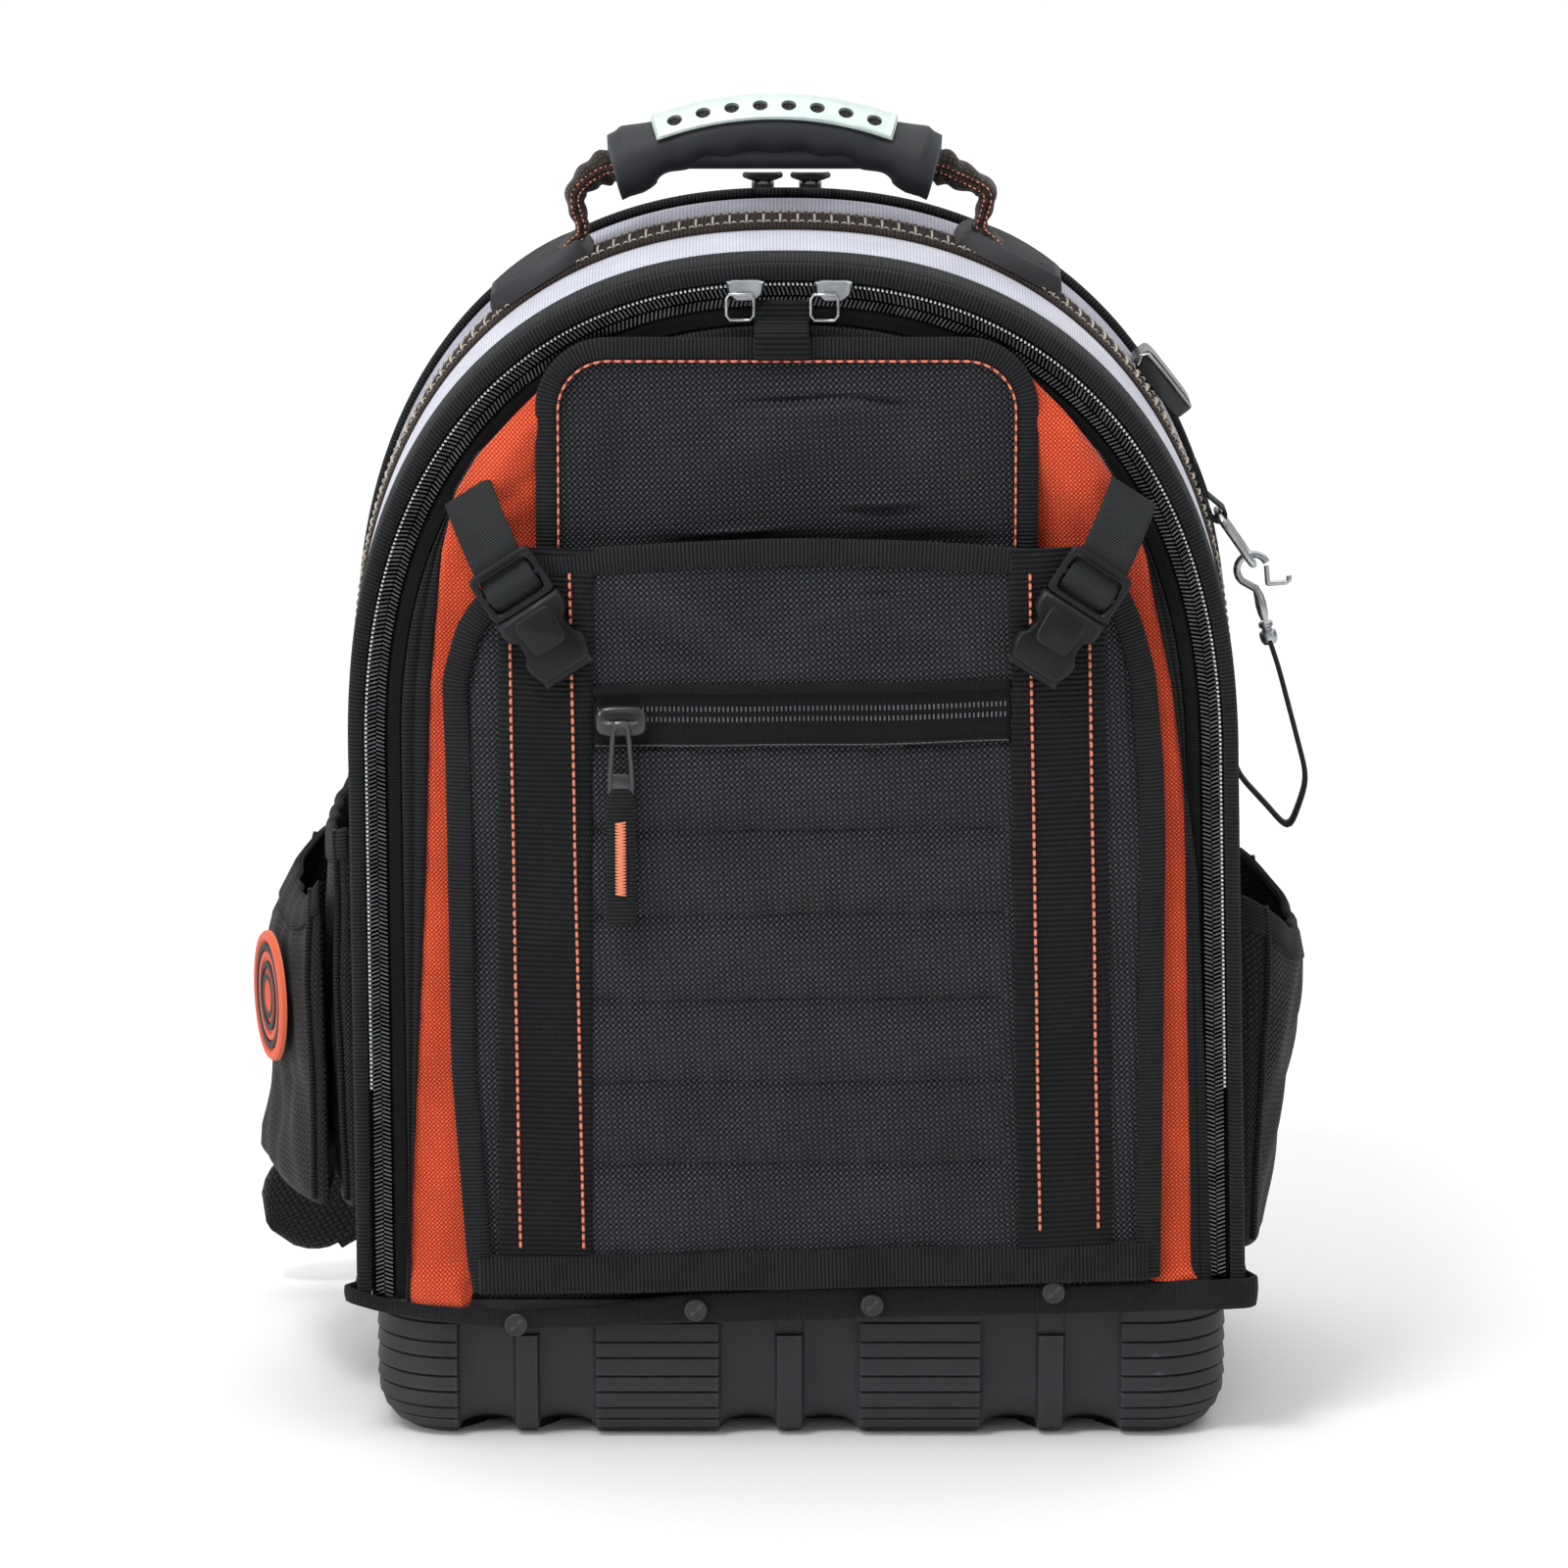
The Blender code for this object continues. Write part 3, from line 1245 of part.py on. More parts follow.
def build_badge():
    """A round rubber badge on the pouch's outer face."""
    middle_z = POUCH_BOTTOM + POUCH_HEIGHT * 0.62
    seat = 2 * FIT + max(pouch_face(middle_z + BADGE_RADIUS * share)
                         for share in (-1.0, -0.5, 0.0, 0.25, 0.5, 1.0))
    loops = []
    for out in (0.0, BADGE_THICK):
        loops.append([(-seat - out, POUCH_MIDDLE_Y + a, middle_z + b)
                      for a, b in oval(2 * BADGE_RADIUS, 2 * BADGE_RADIUS, 16)])
    loft("pouch_badge", loops, orange_fabric())


def pouch_face(z):
    """Distance of the pouch's outer face from the bag's middle at a height."""
    share = (z - POUCH_BOTTOM) / POUCH_HEIGHT
    faces = []
    for up, swell in POUCH_ROWS:
        height = POUCH_BOTTOM + up * POUCH_HEIGHT
        station = station_at_height(height, -1)
        grown = max(-arch_frame(station, 0.0, POUCH_MIDDLE_Y + d)[0][0]
                    for d in (-POUCH_HALF_DEPTH, 0, POUCH_HALF_DEPTH))
        faces.append(grown + tape_top() + 3 * FIT + SLEEVE_REACH + (POUCH_REACH - SLEEVE_REACH) * swell)
    return float(np.interp(share, [row[0] for row in POUCH_ROWS], faces))


# Ring, hook and tether

def side_face(z, y=0.0):
    """Distance of the right flank's tape surface from the bag's middle at a height."""
    return arch_frame(station_at_height(z, 1, y), tape_top(), y)[0][0]


def build_ring_set():
    tilt = math.radians(RING_TILT)
    way = np.array([math.sin(tilt), 0.0, -math.cos(tilt)])
    top = np.array([side_face(RING_TOP_HEIGHT) + WIRE_RADIUS + 0.0036, 0.0, RING_TOP_HEIGHT])
    corner = 0.004
    path = []
    straight = RING_HALF_WIDTH - corner
    for along, depth in ((0, -straight), (0, straight), (corner, RING_HALF_WIDTH),
                         (RING_LENGTH - corner, RING_HALF_WIDTH * 0.9), (RING_LENGTH, straight * 0.8),
                         (RING_LENGTH, -straight * 0.8), (RING_LENGTH - corner, -RING_HALF_WIDTH * 0.9),
                         (corner, -RING_HALF_WIDTH)):
        path.append(top + way * along + np.array([0.0, depth, 0.0]))
    square = np.cross(way, np.array([0.0, 1.0, 0.0]))
    sweep("side_ring", np.array(path), oval(2 * WIRE_RADIUS, 2 * WIRE_RADIUS, 6), square, steel(),
          closed=True)

    thick = 0.0013
    loop = WIRE_RADIUS + FIT + thick / 2
    station = station_at_height(RING_TOP_HEIGHT + 0.020, 1)
    upper, along, outward = arch_frame(station, tape_top() + FIT + thick / 2, 0.0)
    top_station = station_at_height(RING_TOP_HEIGHT + 0.010, 1)
    inner_top, _, _ = arch_frame(top_station, tape_top() + FIT + thick / 2, 0.0)
    outer_top = inner_top + outward * (thick + FIT)
    centre = top
    knots = [upper, inner_top]
    for angle in (180, 225, 270, 315, 360, 400):
        turn = math.radians(angle)
        knots.append(centre + np.array([loop * math.cos(turn), 0.0, loop * math.sin(turn)]))
    knots += [outer_top, upper + outward * (thick + FIT)]
    sweep("ring_keeper", np.array(knots), box_section(KEEPER_WIDTH * 0.8, thick), (0.0, 1.0, 0.0),
          black_webbing())
    build_hook(top + way * RING_LENGTH)


def hook_layout(bar):
    """Jaw centre, hook axis and swivel place below the ring's lower bar."""
    jaw = bar - np.array([0.0, 0.0, JAW_RADIUS - 2 * WIRE_RADIUS - FIT])
    lean = math.radians(14)
    axis = np.array([math.sin(lean), 0.0, -math.cos(lean)])
    return jaw, axis


def build_hook(bar):
    """A snap hook whose jaw goes through the ring, with a thumb gate on its outer side."""
    jaw, axis = hook_layout(bar)
    side = np.array([-axis[2], 0.0, axis[0]])
    path = []
    for angle in np.linspace(15, 215, 9):
        turn = math.radians(angle)
        path.append(jaw + side * JAW_RADIUS * math.cos(turn) - axis * JAW_RADIUS * math.sin(turn))
    path.append(jaw + axis * JAW_RADIUS * 1.25 - side * 0.0006)
    path.append(jaw + axis * (HOOK_LENGTH * 0.55))
    path.append(jaw + axis * (HOOK_LENGTH * 0.80))
    wire = 2 * WIRE_RADIUS
    sizes = [wire] * 10 + [wire * 1.5, wire]
    sections = [oval(size, size, 6) for size in sizes]
    base = jaw + axis * HOOK_LENGTH * 0.55
    hook = sweep("hook_body", np.array(path) - base, sections, (0.0, 1.0, 0.0), steel())
    hook.location = base

    pivot = jaw + axis * JAW_RADIUS * 1.30 + side * (WIRE_RADIUS * 2 + FIT)
    tip = path[0] + axis * 4.5 * FIT - side * FIT
    lever = pivot + side * THUMB_LEVER
    gate_path = np.array([lever - axis * 0.0015, lever, pivot + side * 0.0012 - axis * 0.0010, tip]) - pivot
    thin = wire * 0.7
    gate = sweep("hook_gate", gate_path, [oval(thin, thin, 6)] * 4, (0.0, 1.0, 0.0), steel())
    gate.location = pivot

    eye = jaw + axis * (HOOK_LENGTH * 0.80 + 2 * FIT)
    sweep("swivel_eye", np.array([eye, eye + axis * 0.004, eye + axis * 0.0095]),
          [oval(0.0060, 0.0060, 8), oval(0.0066, 0.0066, 8), oval(0.0100, 0.0044, 8)],
          (0.0, 1.0, 0.0), steel())
    build_tether(eye + axis * (0.0095 + 2 * FIT), axis)


def build_tether(start, axis):
    """A narrow strap that hangs from the swivel in a loop and is sewn back to the bag's flank."""
    reach = 0.0160
    low = 0.0780
    end_z = start[2] - 0.0330
    end = np.array([side_face(end_z) + 2 * FIT + TETHER_THICK / 2, 0.0, end_z])
    knots = [start, start + axis * 0.010 + np.array([0.001, 0, 0]),
             np.array([start[0] + reach * 0.55, 0.0, start[2] - low * 0.38]),
             np.array([start[0] + reach, 0.0, start[2] - low * 0.72]),
             np.array([start[0] + reach * 0.55, 0.0, start[2] - low]),
             np.array([start[0] + reach * 0.08, 0.0, start[2] - low * 0.88]),
             np.array([side_face(end_z - 0.02) + 0.0028, 0.0, end_z - 0.020]), end,
             np.array([side_face(end_z + 0.008) + 2 * FIT + TETHER_THICK / 2, 0.0, end_z + 0.008])]
    path = smooth_path(knots, 22)
    sweep("tether_strap", path, box_section(TETHER_WIDTH, TETHER_THICK), (0.0, 1.0, 0.0), black_webbing())


def build_clip():
    """A folded tab that stands out from the right shoulder of the gusset."""
    station = station_at_height(0.400, 1)
    base, along, outward = arch_frame(station, TAPE_THICK + FIT * 2, 0.020)
    loops = []
    for out, thick in ((0.0, 1.0), (CLIP_REACH * 0.25, 0.85), (CLIP_REACH, 0.85)):
        centre = base + outward * out
        loops.append([centre + along * CLIP_THICK / 2 * a * thick + np.array([0.0, CLIP_WIDTH / 2 * b, 0.0])
                      for a, b in ((-1, -1), (1, -1), (1, 1), (-1, 1))])
    loft("clip_tab", loops, black_plastic())


# Rear zip pulls and back

def build_rear_zip():
    """The rear compartment's zip, and two looped pulls that lie forward over the crest."""
    middle = CREST_DEPTH + PIPING_WIDTH + 0.014
    half_tape = 0.0110
    half_chain = 0.0030
    lift = FIT
    arch_ring("rear_zip",
              [(-lift, middle - half_tape), (-lift, middle + half_tape),
               (-lift - 0.0008, middle + half_tape), (-lift - 0.0008, middle + half_chain),
               (-lift - 0.0024, middle + half_chain), (-lift - 0.0024, middle - half_chain),
               (-lift - 0.0008, middle - half_chain), (-lift - 0.0008, middle - half_tape)],
              zip_metal())
    for label, x in (("left", HANDLE_CENTRE - 0.0045), ("right", HANDLE_CENTRE + 0.0140)):
        station = station_for_x(x)
        base, along, outward = arch_frame(station, lift + 0.0024 + FIT, middle)
        body_high = 0.0035
        loops = []
        for depth, low, high, half in ((middle + 0.006, 0.0, body_high, 0.0045),
                                       (middle - 0.006, 0.0, body_high, 0.0045),
                                       (middle - 0.012, 0.0035, 0.0060, 0.0035),
                                       (middle - 0.026, 0.0060, 0.0085, 0.0045),
                                       (middle - 0.040, 0.0070, 0.0092, 0.0030)):
            centre = base + np.array([0.0, depth - middle, 0.0])
            loops.append([centre + along * a * half + outward * h
                          for a, h in ((-1, low), (1, low), (1, high), (-1, high))])
        loft("rear_zip_pull_" + label, loops, black_plastic())


# Routes of the shoulder straps: (share of the body's height, sideways share of the foot
# half-width, stand-off from the back as a share of the pad's thickness)
STRAP_ROWS_LEFT = ((0.955, 0.20, 0.0), (0.90, 0.26, 0.5), (0.70, 0.42, 1.1), (0.48, 0.52, 1.2),
                   (0.28, 0.62, 0.9),
                   (0.13, 0.88, 0.6), (0.045, 1.10, 0.5))
STRAP_ROWS_RIGHT = ((0.955, 0.22, 0.0), (0.90, 0.28, 0.5), (0.70, 0.42, 1.1), (0.48, 0.50, 1.2),
                    (0.28, 0.56, 0.9),
                    (0.15, 0.66, 0.5), (0.08, 0.74, 0.3))


def build_back():
    """A plain padded back and two shoulder straps that hang behind it."""
    pad_rear = REAR_EDGE + FIT + BACK_PAD_THICK
    rows = []
    for up, half in ((0.17, 0.74), (0.24, 0.80), (0.50, 0.78), (0.72, 0.70), (0.84, 0.56), (0.88, 0.44)):
        rows.append((up * BODY_TOP, -half * FOOT_HALF_WIDTH + lean_at(up * BODY_TOP),
                     half * FOOT_HALF_WIDTH + lean_at(up * BODY_TOP)))
    columns = [0.0, 0.06, 0.2, 0.38, 0.42, 0.5, 0.58, 0.62, 0.8, 0.94, 1.0]

    def pad_face(x, z):
        share = min(1.0, abs(x - lean_at(z)) / (0.80 * FOOT_HALF_WIDTH))
        channel = 0.55 if share < 0.10 else 1.0
        return REAR_EDGE + FIT + BACK_PAD_THICK * channel * (1 - 0.55 * share ** 6)

    loops = []
    for z, left, right in rows:
        xs = [left + (right - left) * share for share in columns]
        loops.append([(x, REAR_EDGE + FIT, z) for x in xs] + [(x, pad_face(x, z), z) for x in reversed(xs)])
    loft("back_pad", loops, black_fabric())
    for label, side, table in (("left", -1, STRAP_ROWS_LEFT), ("right", 1, STRAP_ROWS_RIGHT)):
        knots = []
        for up, out, stand in table:
            rear = pad_rear + FIT + STRAP_PAD_THICK / 2 + stand * STRAP_PAD_THICK
            if up > 0.94:
                rear = REAR_EDGE + 3 * FIT + STRAP_PAD_THICK * 0.5
            knots.append((side * out * FOOT_HALF_WIDTH, rear, up * BODY_TOP))
        path = smooth_path(knots, 13)
        sections = []
        for index in range(13):
            share = index / 12
            width = STRAP_PAD_WIDTH * (0.72 + 0.28 * math.sin(math.pi * min(1.0, share * 1.25 + 0.1)) ** 0.7)
            sections.append(oval(width * 0.98, STRAP_PAD_THICK, 8))
        sweep("shoulder_strap_" + label, path, sections, (1.0, 0.0, 0.0), black_fabric())


def build_backpack():
    clear_scene()
    build_tub()
    build_skirt()
    build_rivets()
    build_body()
    build_tapes()
    build_rim()
    build_main_pulls()
    build_bellows()
    build_flap()
    build_door_tab()
    build_pocket()
    build_pocket_zip()
    build_buckles()
    build_handle()
    build_anchors()
    build_side_pockets()
    build_badge()
    build_ring_set()
    build_clip()
    build_rear_zip()
    build_back()


build_backpack()
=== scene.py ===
import math

import bpy
import numpy as np
from mathutils import Matrix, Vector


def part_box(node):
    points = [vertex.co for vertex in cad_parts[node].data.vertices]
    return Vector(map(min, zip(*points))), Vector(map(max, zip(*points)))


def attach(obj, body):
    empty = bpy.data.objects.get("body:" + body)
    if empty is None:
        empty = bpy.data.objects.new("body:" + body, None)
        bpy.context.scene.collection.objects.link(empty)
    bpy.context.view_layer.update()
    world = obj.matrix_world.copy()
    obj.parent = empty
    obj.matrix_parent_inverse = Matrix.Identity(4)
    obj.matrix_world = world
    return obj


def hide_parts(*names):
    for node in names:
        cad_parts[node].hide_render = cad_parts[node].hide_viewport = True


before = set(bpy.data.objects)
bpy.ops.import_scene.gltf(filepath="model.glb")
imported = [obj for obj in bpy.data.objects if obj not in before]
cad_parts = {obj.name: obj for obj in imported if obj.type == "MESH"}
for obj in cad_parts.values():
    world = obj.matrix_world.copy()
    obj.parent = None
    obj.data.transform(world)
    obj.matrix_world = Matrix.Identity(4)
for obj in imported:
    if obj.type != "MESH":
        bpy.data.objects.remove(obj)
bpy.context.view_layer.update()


# Studio: a pale seamless floor under a very large overhead soft box, with four small ones for edges and
# folds. The camera stands 3 m off with a long lens and looks 12 degrees down on the bag.

def linear(code):
    """sRGB hex to linear RGBA: v / 12.92 up to 0.04045, else ((v + 0.055) / 1.055) ** 2.4."""
    part = np.array([int(code[i:i + 2], 16) / 255 for i in (1, 3, 5)])
    value = np.where(part <= 0.04045, part / 12.92, ((part + 0.055) / 1.055) ** 2.4)
    return (*value.tolist(), 1.0)


def add(tree, kind, links=None, **settings):
    """Adds one shader node: settings name its properties, links give each input a value or a socket."""
    made = tree.nodes.new("ShaderNode" + kind)
    for name, value in settings.items():
        setattr(made, name, value)
    for socket, value in (links or {}).items():
        if isinstance(value, bpy.types.NodeSocket):
            tree.links.new(value, made.inputs[socket])
        else:
            made.inputs[socket].default_value = value
    return made


def new_material(name):
    """An empty node material and its tree."""
    material = bpy.data.materials.new(name)
    material.use_nodes = True
    material.node_tree.nodes.clear()
    return material, material.node_tree


def close_material(tree, shader):
    """Gives the shader to the material's output."""
    add(tree, "OutputMaterial", {"Surface": shader.outputs[0]})


def paper_floor():
    """Matt white paper with a faint mottle, which gives soft grey contact shadows."""
    material, tree = new_material("seamless_paper")
    noise = add(tree, "TexNoise", {"Scale": 3.0})
    tone = add(tree, "Mix", {0: noise.outputs[0], 6: linear("#FAFAFB"), 7: linear("#FEFEFE")},
               data_type="RGBA")
    close_material(tree, add(tree, "BsdfPrincipled", {"Base Color": tone.outputs[2], "Roughness": 0.9}))
    return material


def unit(ways):
    """Ways of length one."""
    return ways / np.linalg.norm(ways, axis=-1, keepdims=True)


turn = np.linspace(0.0, math.pi / 2, 24)
back_line = np.concatenate([[[-4.0, 0.0], [2.0, 0.0]],
                            np.stack([2.0 + 2.0 * np.sin(turn), 2.0 - 2.0 * np.cos(turn)], 1),
                            [[4.0, 7.0]]])
left_edge = np.column_stack([np.full(len(back_line), -5.0), back_line])
points = np.stack([left_edge, left_edge + (10.0, 0.0, 0.0)], 1).reshape(-1, 3)
rows = np.arange(len(back_line) - 1)[:, None] * 2
quads = rows + np.array([0, 1, 3, 2])
floor_mesh = bpy.data.meshes.new("paper_sweep")
floor_mesh.from_pydata(points.tolist(), [], quads.tolist())
floor_mesh.shade_smooth()
floor = bpy.data.objects.new("paper_sweep", floor_mesh)
floor.data.materials.append(paper_floor())
bpy.context.collection.objects.link(floor)

TILT = math.radians(12.0)
lens = bpy.data.cameras.new("camera")
lens.lens = 170.0
lens.sensor_width = 36.0
lens.clip_end = 60.0
camera = bpy.data.objects.new("camera", lens)
camera.location = (-0.0068, -2.8925, 0.8578)
camera.rotation_euler = (math.pi / 2 - TILT, 0.0, 0.0)
bpy.context.collection.objects.link(camera)
bpy.context.scene.camera = camera

# Name, place, what it faces, width and height, watts
SOFT_BOXES = (
    ("overhead_box", (0.0, 0.9, 3.4), (0.0, 0.9, 0.0), 7.0, 4.6, 128.0),
    ("left_box", (-2.0, -1.5, 1.2), (0.0, 0.0, 0.25), 0.6, 1.0, 17.0),
    ("right_box", (2.1, -1.2, 1.1), (0.0, 0.0, 0.25), 0.7, 1.3, 4.0),
    ("front_box", (0.0, -3.6, 1.9), (0.0, 0.0, 0.25), 1.2, 0.6, 3.0),
    ("key_box", (-0.55, -1.05, 2.0), (0.0, -0.05, 0.28), 0.5, 0.4, 17.0),
)
for name, place, aim, width, height, power in SOFT_BOXES:
    lamp = bpy.data.lights.new(name, "AREA")
    lamp.shape = "RECTANGLE"
    lamp.size = width
    lamp.size_y = height
    lamp.energy = power
    box = bpy.data.objects.new(name, lamp)
    facing = unit(np.array(place) - np.array(aim))
    side = unit(np.cross((0.0, 0.05, 1.0), facing))
    matrix = np.eye(4)
    matrix[:3, :3] = np.stack([side, np.cross(facing, side), facing], 1)
    matrix[:3, 3] = place
    box.matrix_world = Matrix(matrix.tolist())
    bpy.context.collection.objects.link(box)

world = bpy.data.worlds.new("studio")
world.use_nodes = True
world.node_tree.nodes["Background"].inputs[0].default_value = linear("#FFFFFF")
world.node_tree.nodes["Background"].inputs[1].default_value = 0.36
bpy.context.scene.world = world
bpy.context.scene.view_settings.view_transform = "Standard"


# Base: one moulded rubber tub that carries the bag. Ribbed blocks wrap its corners and stand between
# scooped flutes, each pair of flutes parted by an upright bar, and its foot is rounded and scalloped.

TUB_HALF_WIDTH = 0.1660
TUB_HALF_DEPTH = 0.0970
TUB_HEIGHT = 0.0582
TUB_CORNER = 0.029
TUB_ROUND = 0.020
BAR_PITCH = 0.103
BAR_HALF = 0.005
PATTERN_SHIFT = -0.005
GROUP_HALF = 0.0272
FLUTE_DEPTH = 0.0042
RIB_PROUD = 0.0017
BAR_TOP = 0.0425
GROOVES = np.array([0.0029, 0.0077, 0.0129, 0.0197, 0.0261, 0.0336, 0.0400, 0.0480])


def round_plan(half_width, half_depth, corner, distances):
    """Round-cornered rectangle by distance from the front middle, anticlockwise: points and outward ways."""
    straight_x, straight_y = half_width - corner, half_depth - corner
    arc = corner * math.pi / 2
    lengths = np.array([straight_x, arc, 2 * straight_y, arc, 2 * straight_x, arc, 2 * straight_y, arc,
                        straight_x])
    ends = np.concatenate([[0.0], np.cumsum(lengths)])
    gone = np.asarray(distances) * ends[-1]
    part = np.clip(np.searchsorted(ends, gone, "right") - 1, 0, 8)
    along = gone - ends[part]
    turned = np.array([0, 0, 1, 1, 2, 2, 3, 3, 4])[part]
    bend = np.where(part % 2 == 1, along / arc, 0.0) * math.pi / 2
    angle = turned * math.pi / 2 - math.pi / 2 + bend
    way = np.stack([np.cos(angle), np.sin(angle)], 1)
    heading = np.stack([-way[:, 1], way[:, 0]], 1)
    starts = np.array([[0.0, -half_depth], [straight_x, -straight_y], [half_width, -straight_y],
                       [straight_x, straight_y], [straight_x, half_depth], [-straight_x, straight_y],
                       [-half_width, straight_y], [-straight_x, -straight_y], [-straight_x, -half_depth]])
    point = starts[part] + np.where((part % 2 == 1)[:, None], corner * way, heading * along[:, None])
    return point, way


BAG_MIDDLE = np.array([0.0, 0.0, 0.25])


def surface(name, grid, material, wrap_rows=False, wrap_columns=False, caps=False, sharp=40.0, thick=0.0,
            uv=None):
    """Quads over a rows x columns grid of points, with a uv in metres at each corner, as one object.

    The sum of area normal . (face middle - bag middle) is positive where faces point outwards, and the
    faces are turned over where it isn't. A thickness grows inwards.
    """
    uv = lengths_uv(grid, wrap_rows, wrap_columns) if uv is None else uv
    rows, columns = grid.shape[:2]
    r = np.arange(rows if wrap_rows else rows - 1)[:, None]
    c = np.arange(columns if wrap_columns else columns - 1)[None, :]
    r2, c2 = (r + 1) % rows, (c + 1) % columns
    corners = [r * columns + c, r * columns + c2, r2 * columns + c2, r2 * columns + c]
    quads = np.stack(corners, 2).reshape(-1, 4)
    places = np.stack([uv[r, c], uv[r, c + 1], uv[r + 1, c + 1], uv[r + 1, c]], 2).reshape(-1, 4, 2)
    ends = [list(range(columns))[::-1], list(range((rows - 1) * columns, rows * columns))] if caps else []
    end_places = [uv[0, :columns][::-1], uv[rows - 1, :columns]] if caps else []
    flat = grid.reshape(-1, 3)
    ring = flat[quads]
    area = 0.5 * np.cross(ring[:, 2] - ring[:, 0], ring[:, 3] - ring[:, 1])
    facing = (area * (ring.mean(1) - BAG_MIDDLE)).sum()
    for end in ends:
        rim = flat[end]
        fan = 0.5 * np.cross(rim[1:-1] - rim[0], rim[2:] - rim[0]).sum(0)
        facing += (fan * (rim.mean(0) - BAG_MIDDLE)).sum()
    if facing < 0:
        quads, places = quads[:, ::-1], places[:, ::-1]
        ends = [end[::-1] for end in ends]
        end_places = [place[::-1] for place in end_places]
    faces = quads.tolist() + ends
    places = np.concatenate([places.reshape(-1, 2)] + end_places)
    mesh = bpy.data.meshes.new(name)
    mesh.from_pydata(grid.reshape(-1, 3).tolist(), [], faces)
    layer = mesh.uv_layers.new(name="metres")
    layer.data.foreach_set("uv", places.astype(np.float32).ravel())
    mesh.shade_smooth()
    mesh.set_sharp_from_angle(angle=math.radians(sharp))
    mesh.materials.append(material)
    made = bpy.data.objects.new(name, mesh)
    bpy.context.collection.objects.link(made)
    if thick:
        shell = made.modifiers.new("thickness", "SOLIDIFY")
        shell.thickness = thick
        shell.offset = -1.0
    return made


def distances_along(line):
    """Distance along a polyline to each of its points, from 0 at the first."""
    return np.concatenate([[0.0], np.cumsum(np.linalg.norm(np.diff(line, axis=0), axis=1))])


def lengths_uv(grid, wrap_rows=False, wrap_columns=False):
    """uv of a grid: u runs across the columns and v along the rows, by the middle line's own lengths."""
    rows, columns = grid.shape[:2]
    middle_row = grid[rows // 2]
    middle_column = grid[:, columns // 2]
    if wrap_columns:
        middle_row = np.concatenate([middle_row, middle_row[:1]])
    if wrap_rows:
        middle_column = np.concatenate([middle_column, middle_column[:1]])
    u, v = distances_along(middle_row), distances_along(middle_column)
    return np.stack(np.broadcast_arrays(u[None, :], v[:, None]), 2)


def rides(pieces, body="bag"):
    """These pieces ride on the body."""
    for piece in pieces:
        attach(piece, body)


def belongs(piece, node, body="bag"):
    """The piece stands for this CAD node, which it hides, and rides on the body."""
    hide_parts(node)
    rides([piece], body)


def moulded(name, tone, dark, grain, rough, relief, wear=None, gloss=0.5):
    """Moulded rubber or plastic: spark-eroded grain as fine noise, a slow mottle, and paler worn edges."""
    material, tree = new_material(name)
    place = add(tree, "TexCoord").outputs["Object"]
    fine = add(tree, "TexNoise", {"Vector": place, "Scale": 1.0 / grain, "Detail": 3.0})
    slow = add(tree, "TexNoise", {"Vector": place, "Scale": 22.0, "Detail": 4.0})
    mixed = add(tree, "Mix", {0: slow.outputs[0], 6: linear(dark), 7: linear(tone)},
                data_type="RGBA").outputs[2]
    if wear:
        edge = add(tree, "NewGeometry").outputs["Pointiness"]
        worn = add(tree, "MapRange", {0: edge, 1: 0.52, 2: 0.62, 3: 0.0, 4: 0.55})
        mixed = add(tree, "Mix", {0: worn.outputs[0], 6: mixed, 7: linear(wear)},
                    data_type="RGBA").outputs[2]
    shine = add(tree, "MapRange", {0: slow.outputs[0], 1: 0.3, 2: 0.7, 3: rough - 0.06, 4: rough + 0.08})
    bump = add(tree, "Bump", {"Strength": 0.6, "Distance": relief, "Height": fine.outputs[0]})
    close_material(tree, add(tree, "BsdfPrincipled", {
        "Base Color": mixed, "Roughness": shine.outputs[0], "Normal": bump.outputs[0],
        "Specular IOR Level": gloss}))
    return material


# Thermoplastic rubber, spark-eroded mould: matt, faintly blue-grey, with paler rubbed edges.
tub_rubber = moulded("matt_rubber", "#27282D", "#1D1E22", 0.0006, 0.62, 0.00006, wear="#55565C")

tub_steps = np.linspace(0.0, 1.0, 860, endpoint=False)
plan, outward = round_plan(TUB_HALF_WIDTH, TUB_HALF_DEPTH, TUB_CORNER, tub_steps)
facing_front = outward[:, 1] < -0.999
facing_back = outward[:, 1] > 0.999
facing_side = np.abs(outward[:, 0]) > 0.999
place_x = np.where(facing_front, plan[:, 0], -plan[:, 0]) - PATTERN_SHIFT
from_bar = np.abs((place_x + BAR_PITCH / 2) % BAR_PITCH - BAR_PITCH / 2)
from_bar = np.where(facing_side, np.abs(plan[:, 1]), from_bar)
from_bar = np.where(facing_front | facing_back | facing_side, from_bar, 1.0)
from_bar = np.where((facing_front | facing_back) & (np.abs(plan[:, 0]) > 0.1345), 1.0, from_bar)
share = np.clip((from_bar - BAR_HALF) / (GROUP_HALF - BAR_HALF), 0, 1)
scoop = np.where(share < 0.45, 0.5 + 0.5 * np.sqrt(np.clip(1 - ((0.45 - share) / 0.45) ** 2, 0, 1)),
                 np.sqrt(np.clip(1 - ((share - 0.45) / 0.55) ** 2, 0, 1)))
in_flute = ((from_bar > BAR_HALF) & (from_bar < GROUP_HALF)).astype(float)
on_bar = (from_bar <= BAR_HALF).astype(float)
on_rib = (from_bar >= GROUP_HALF).astype(float)
scoop = scoop * in_flute

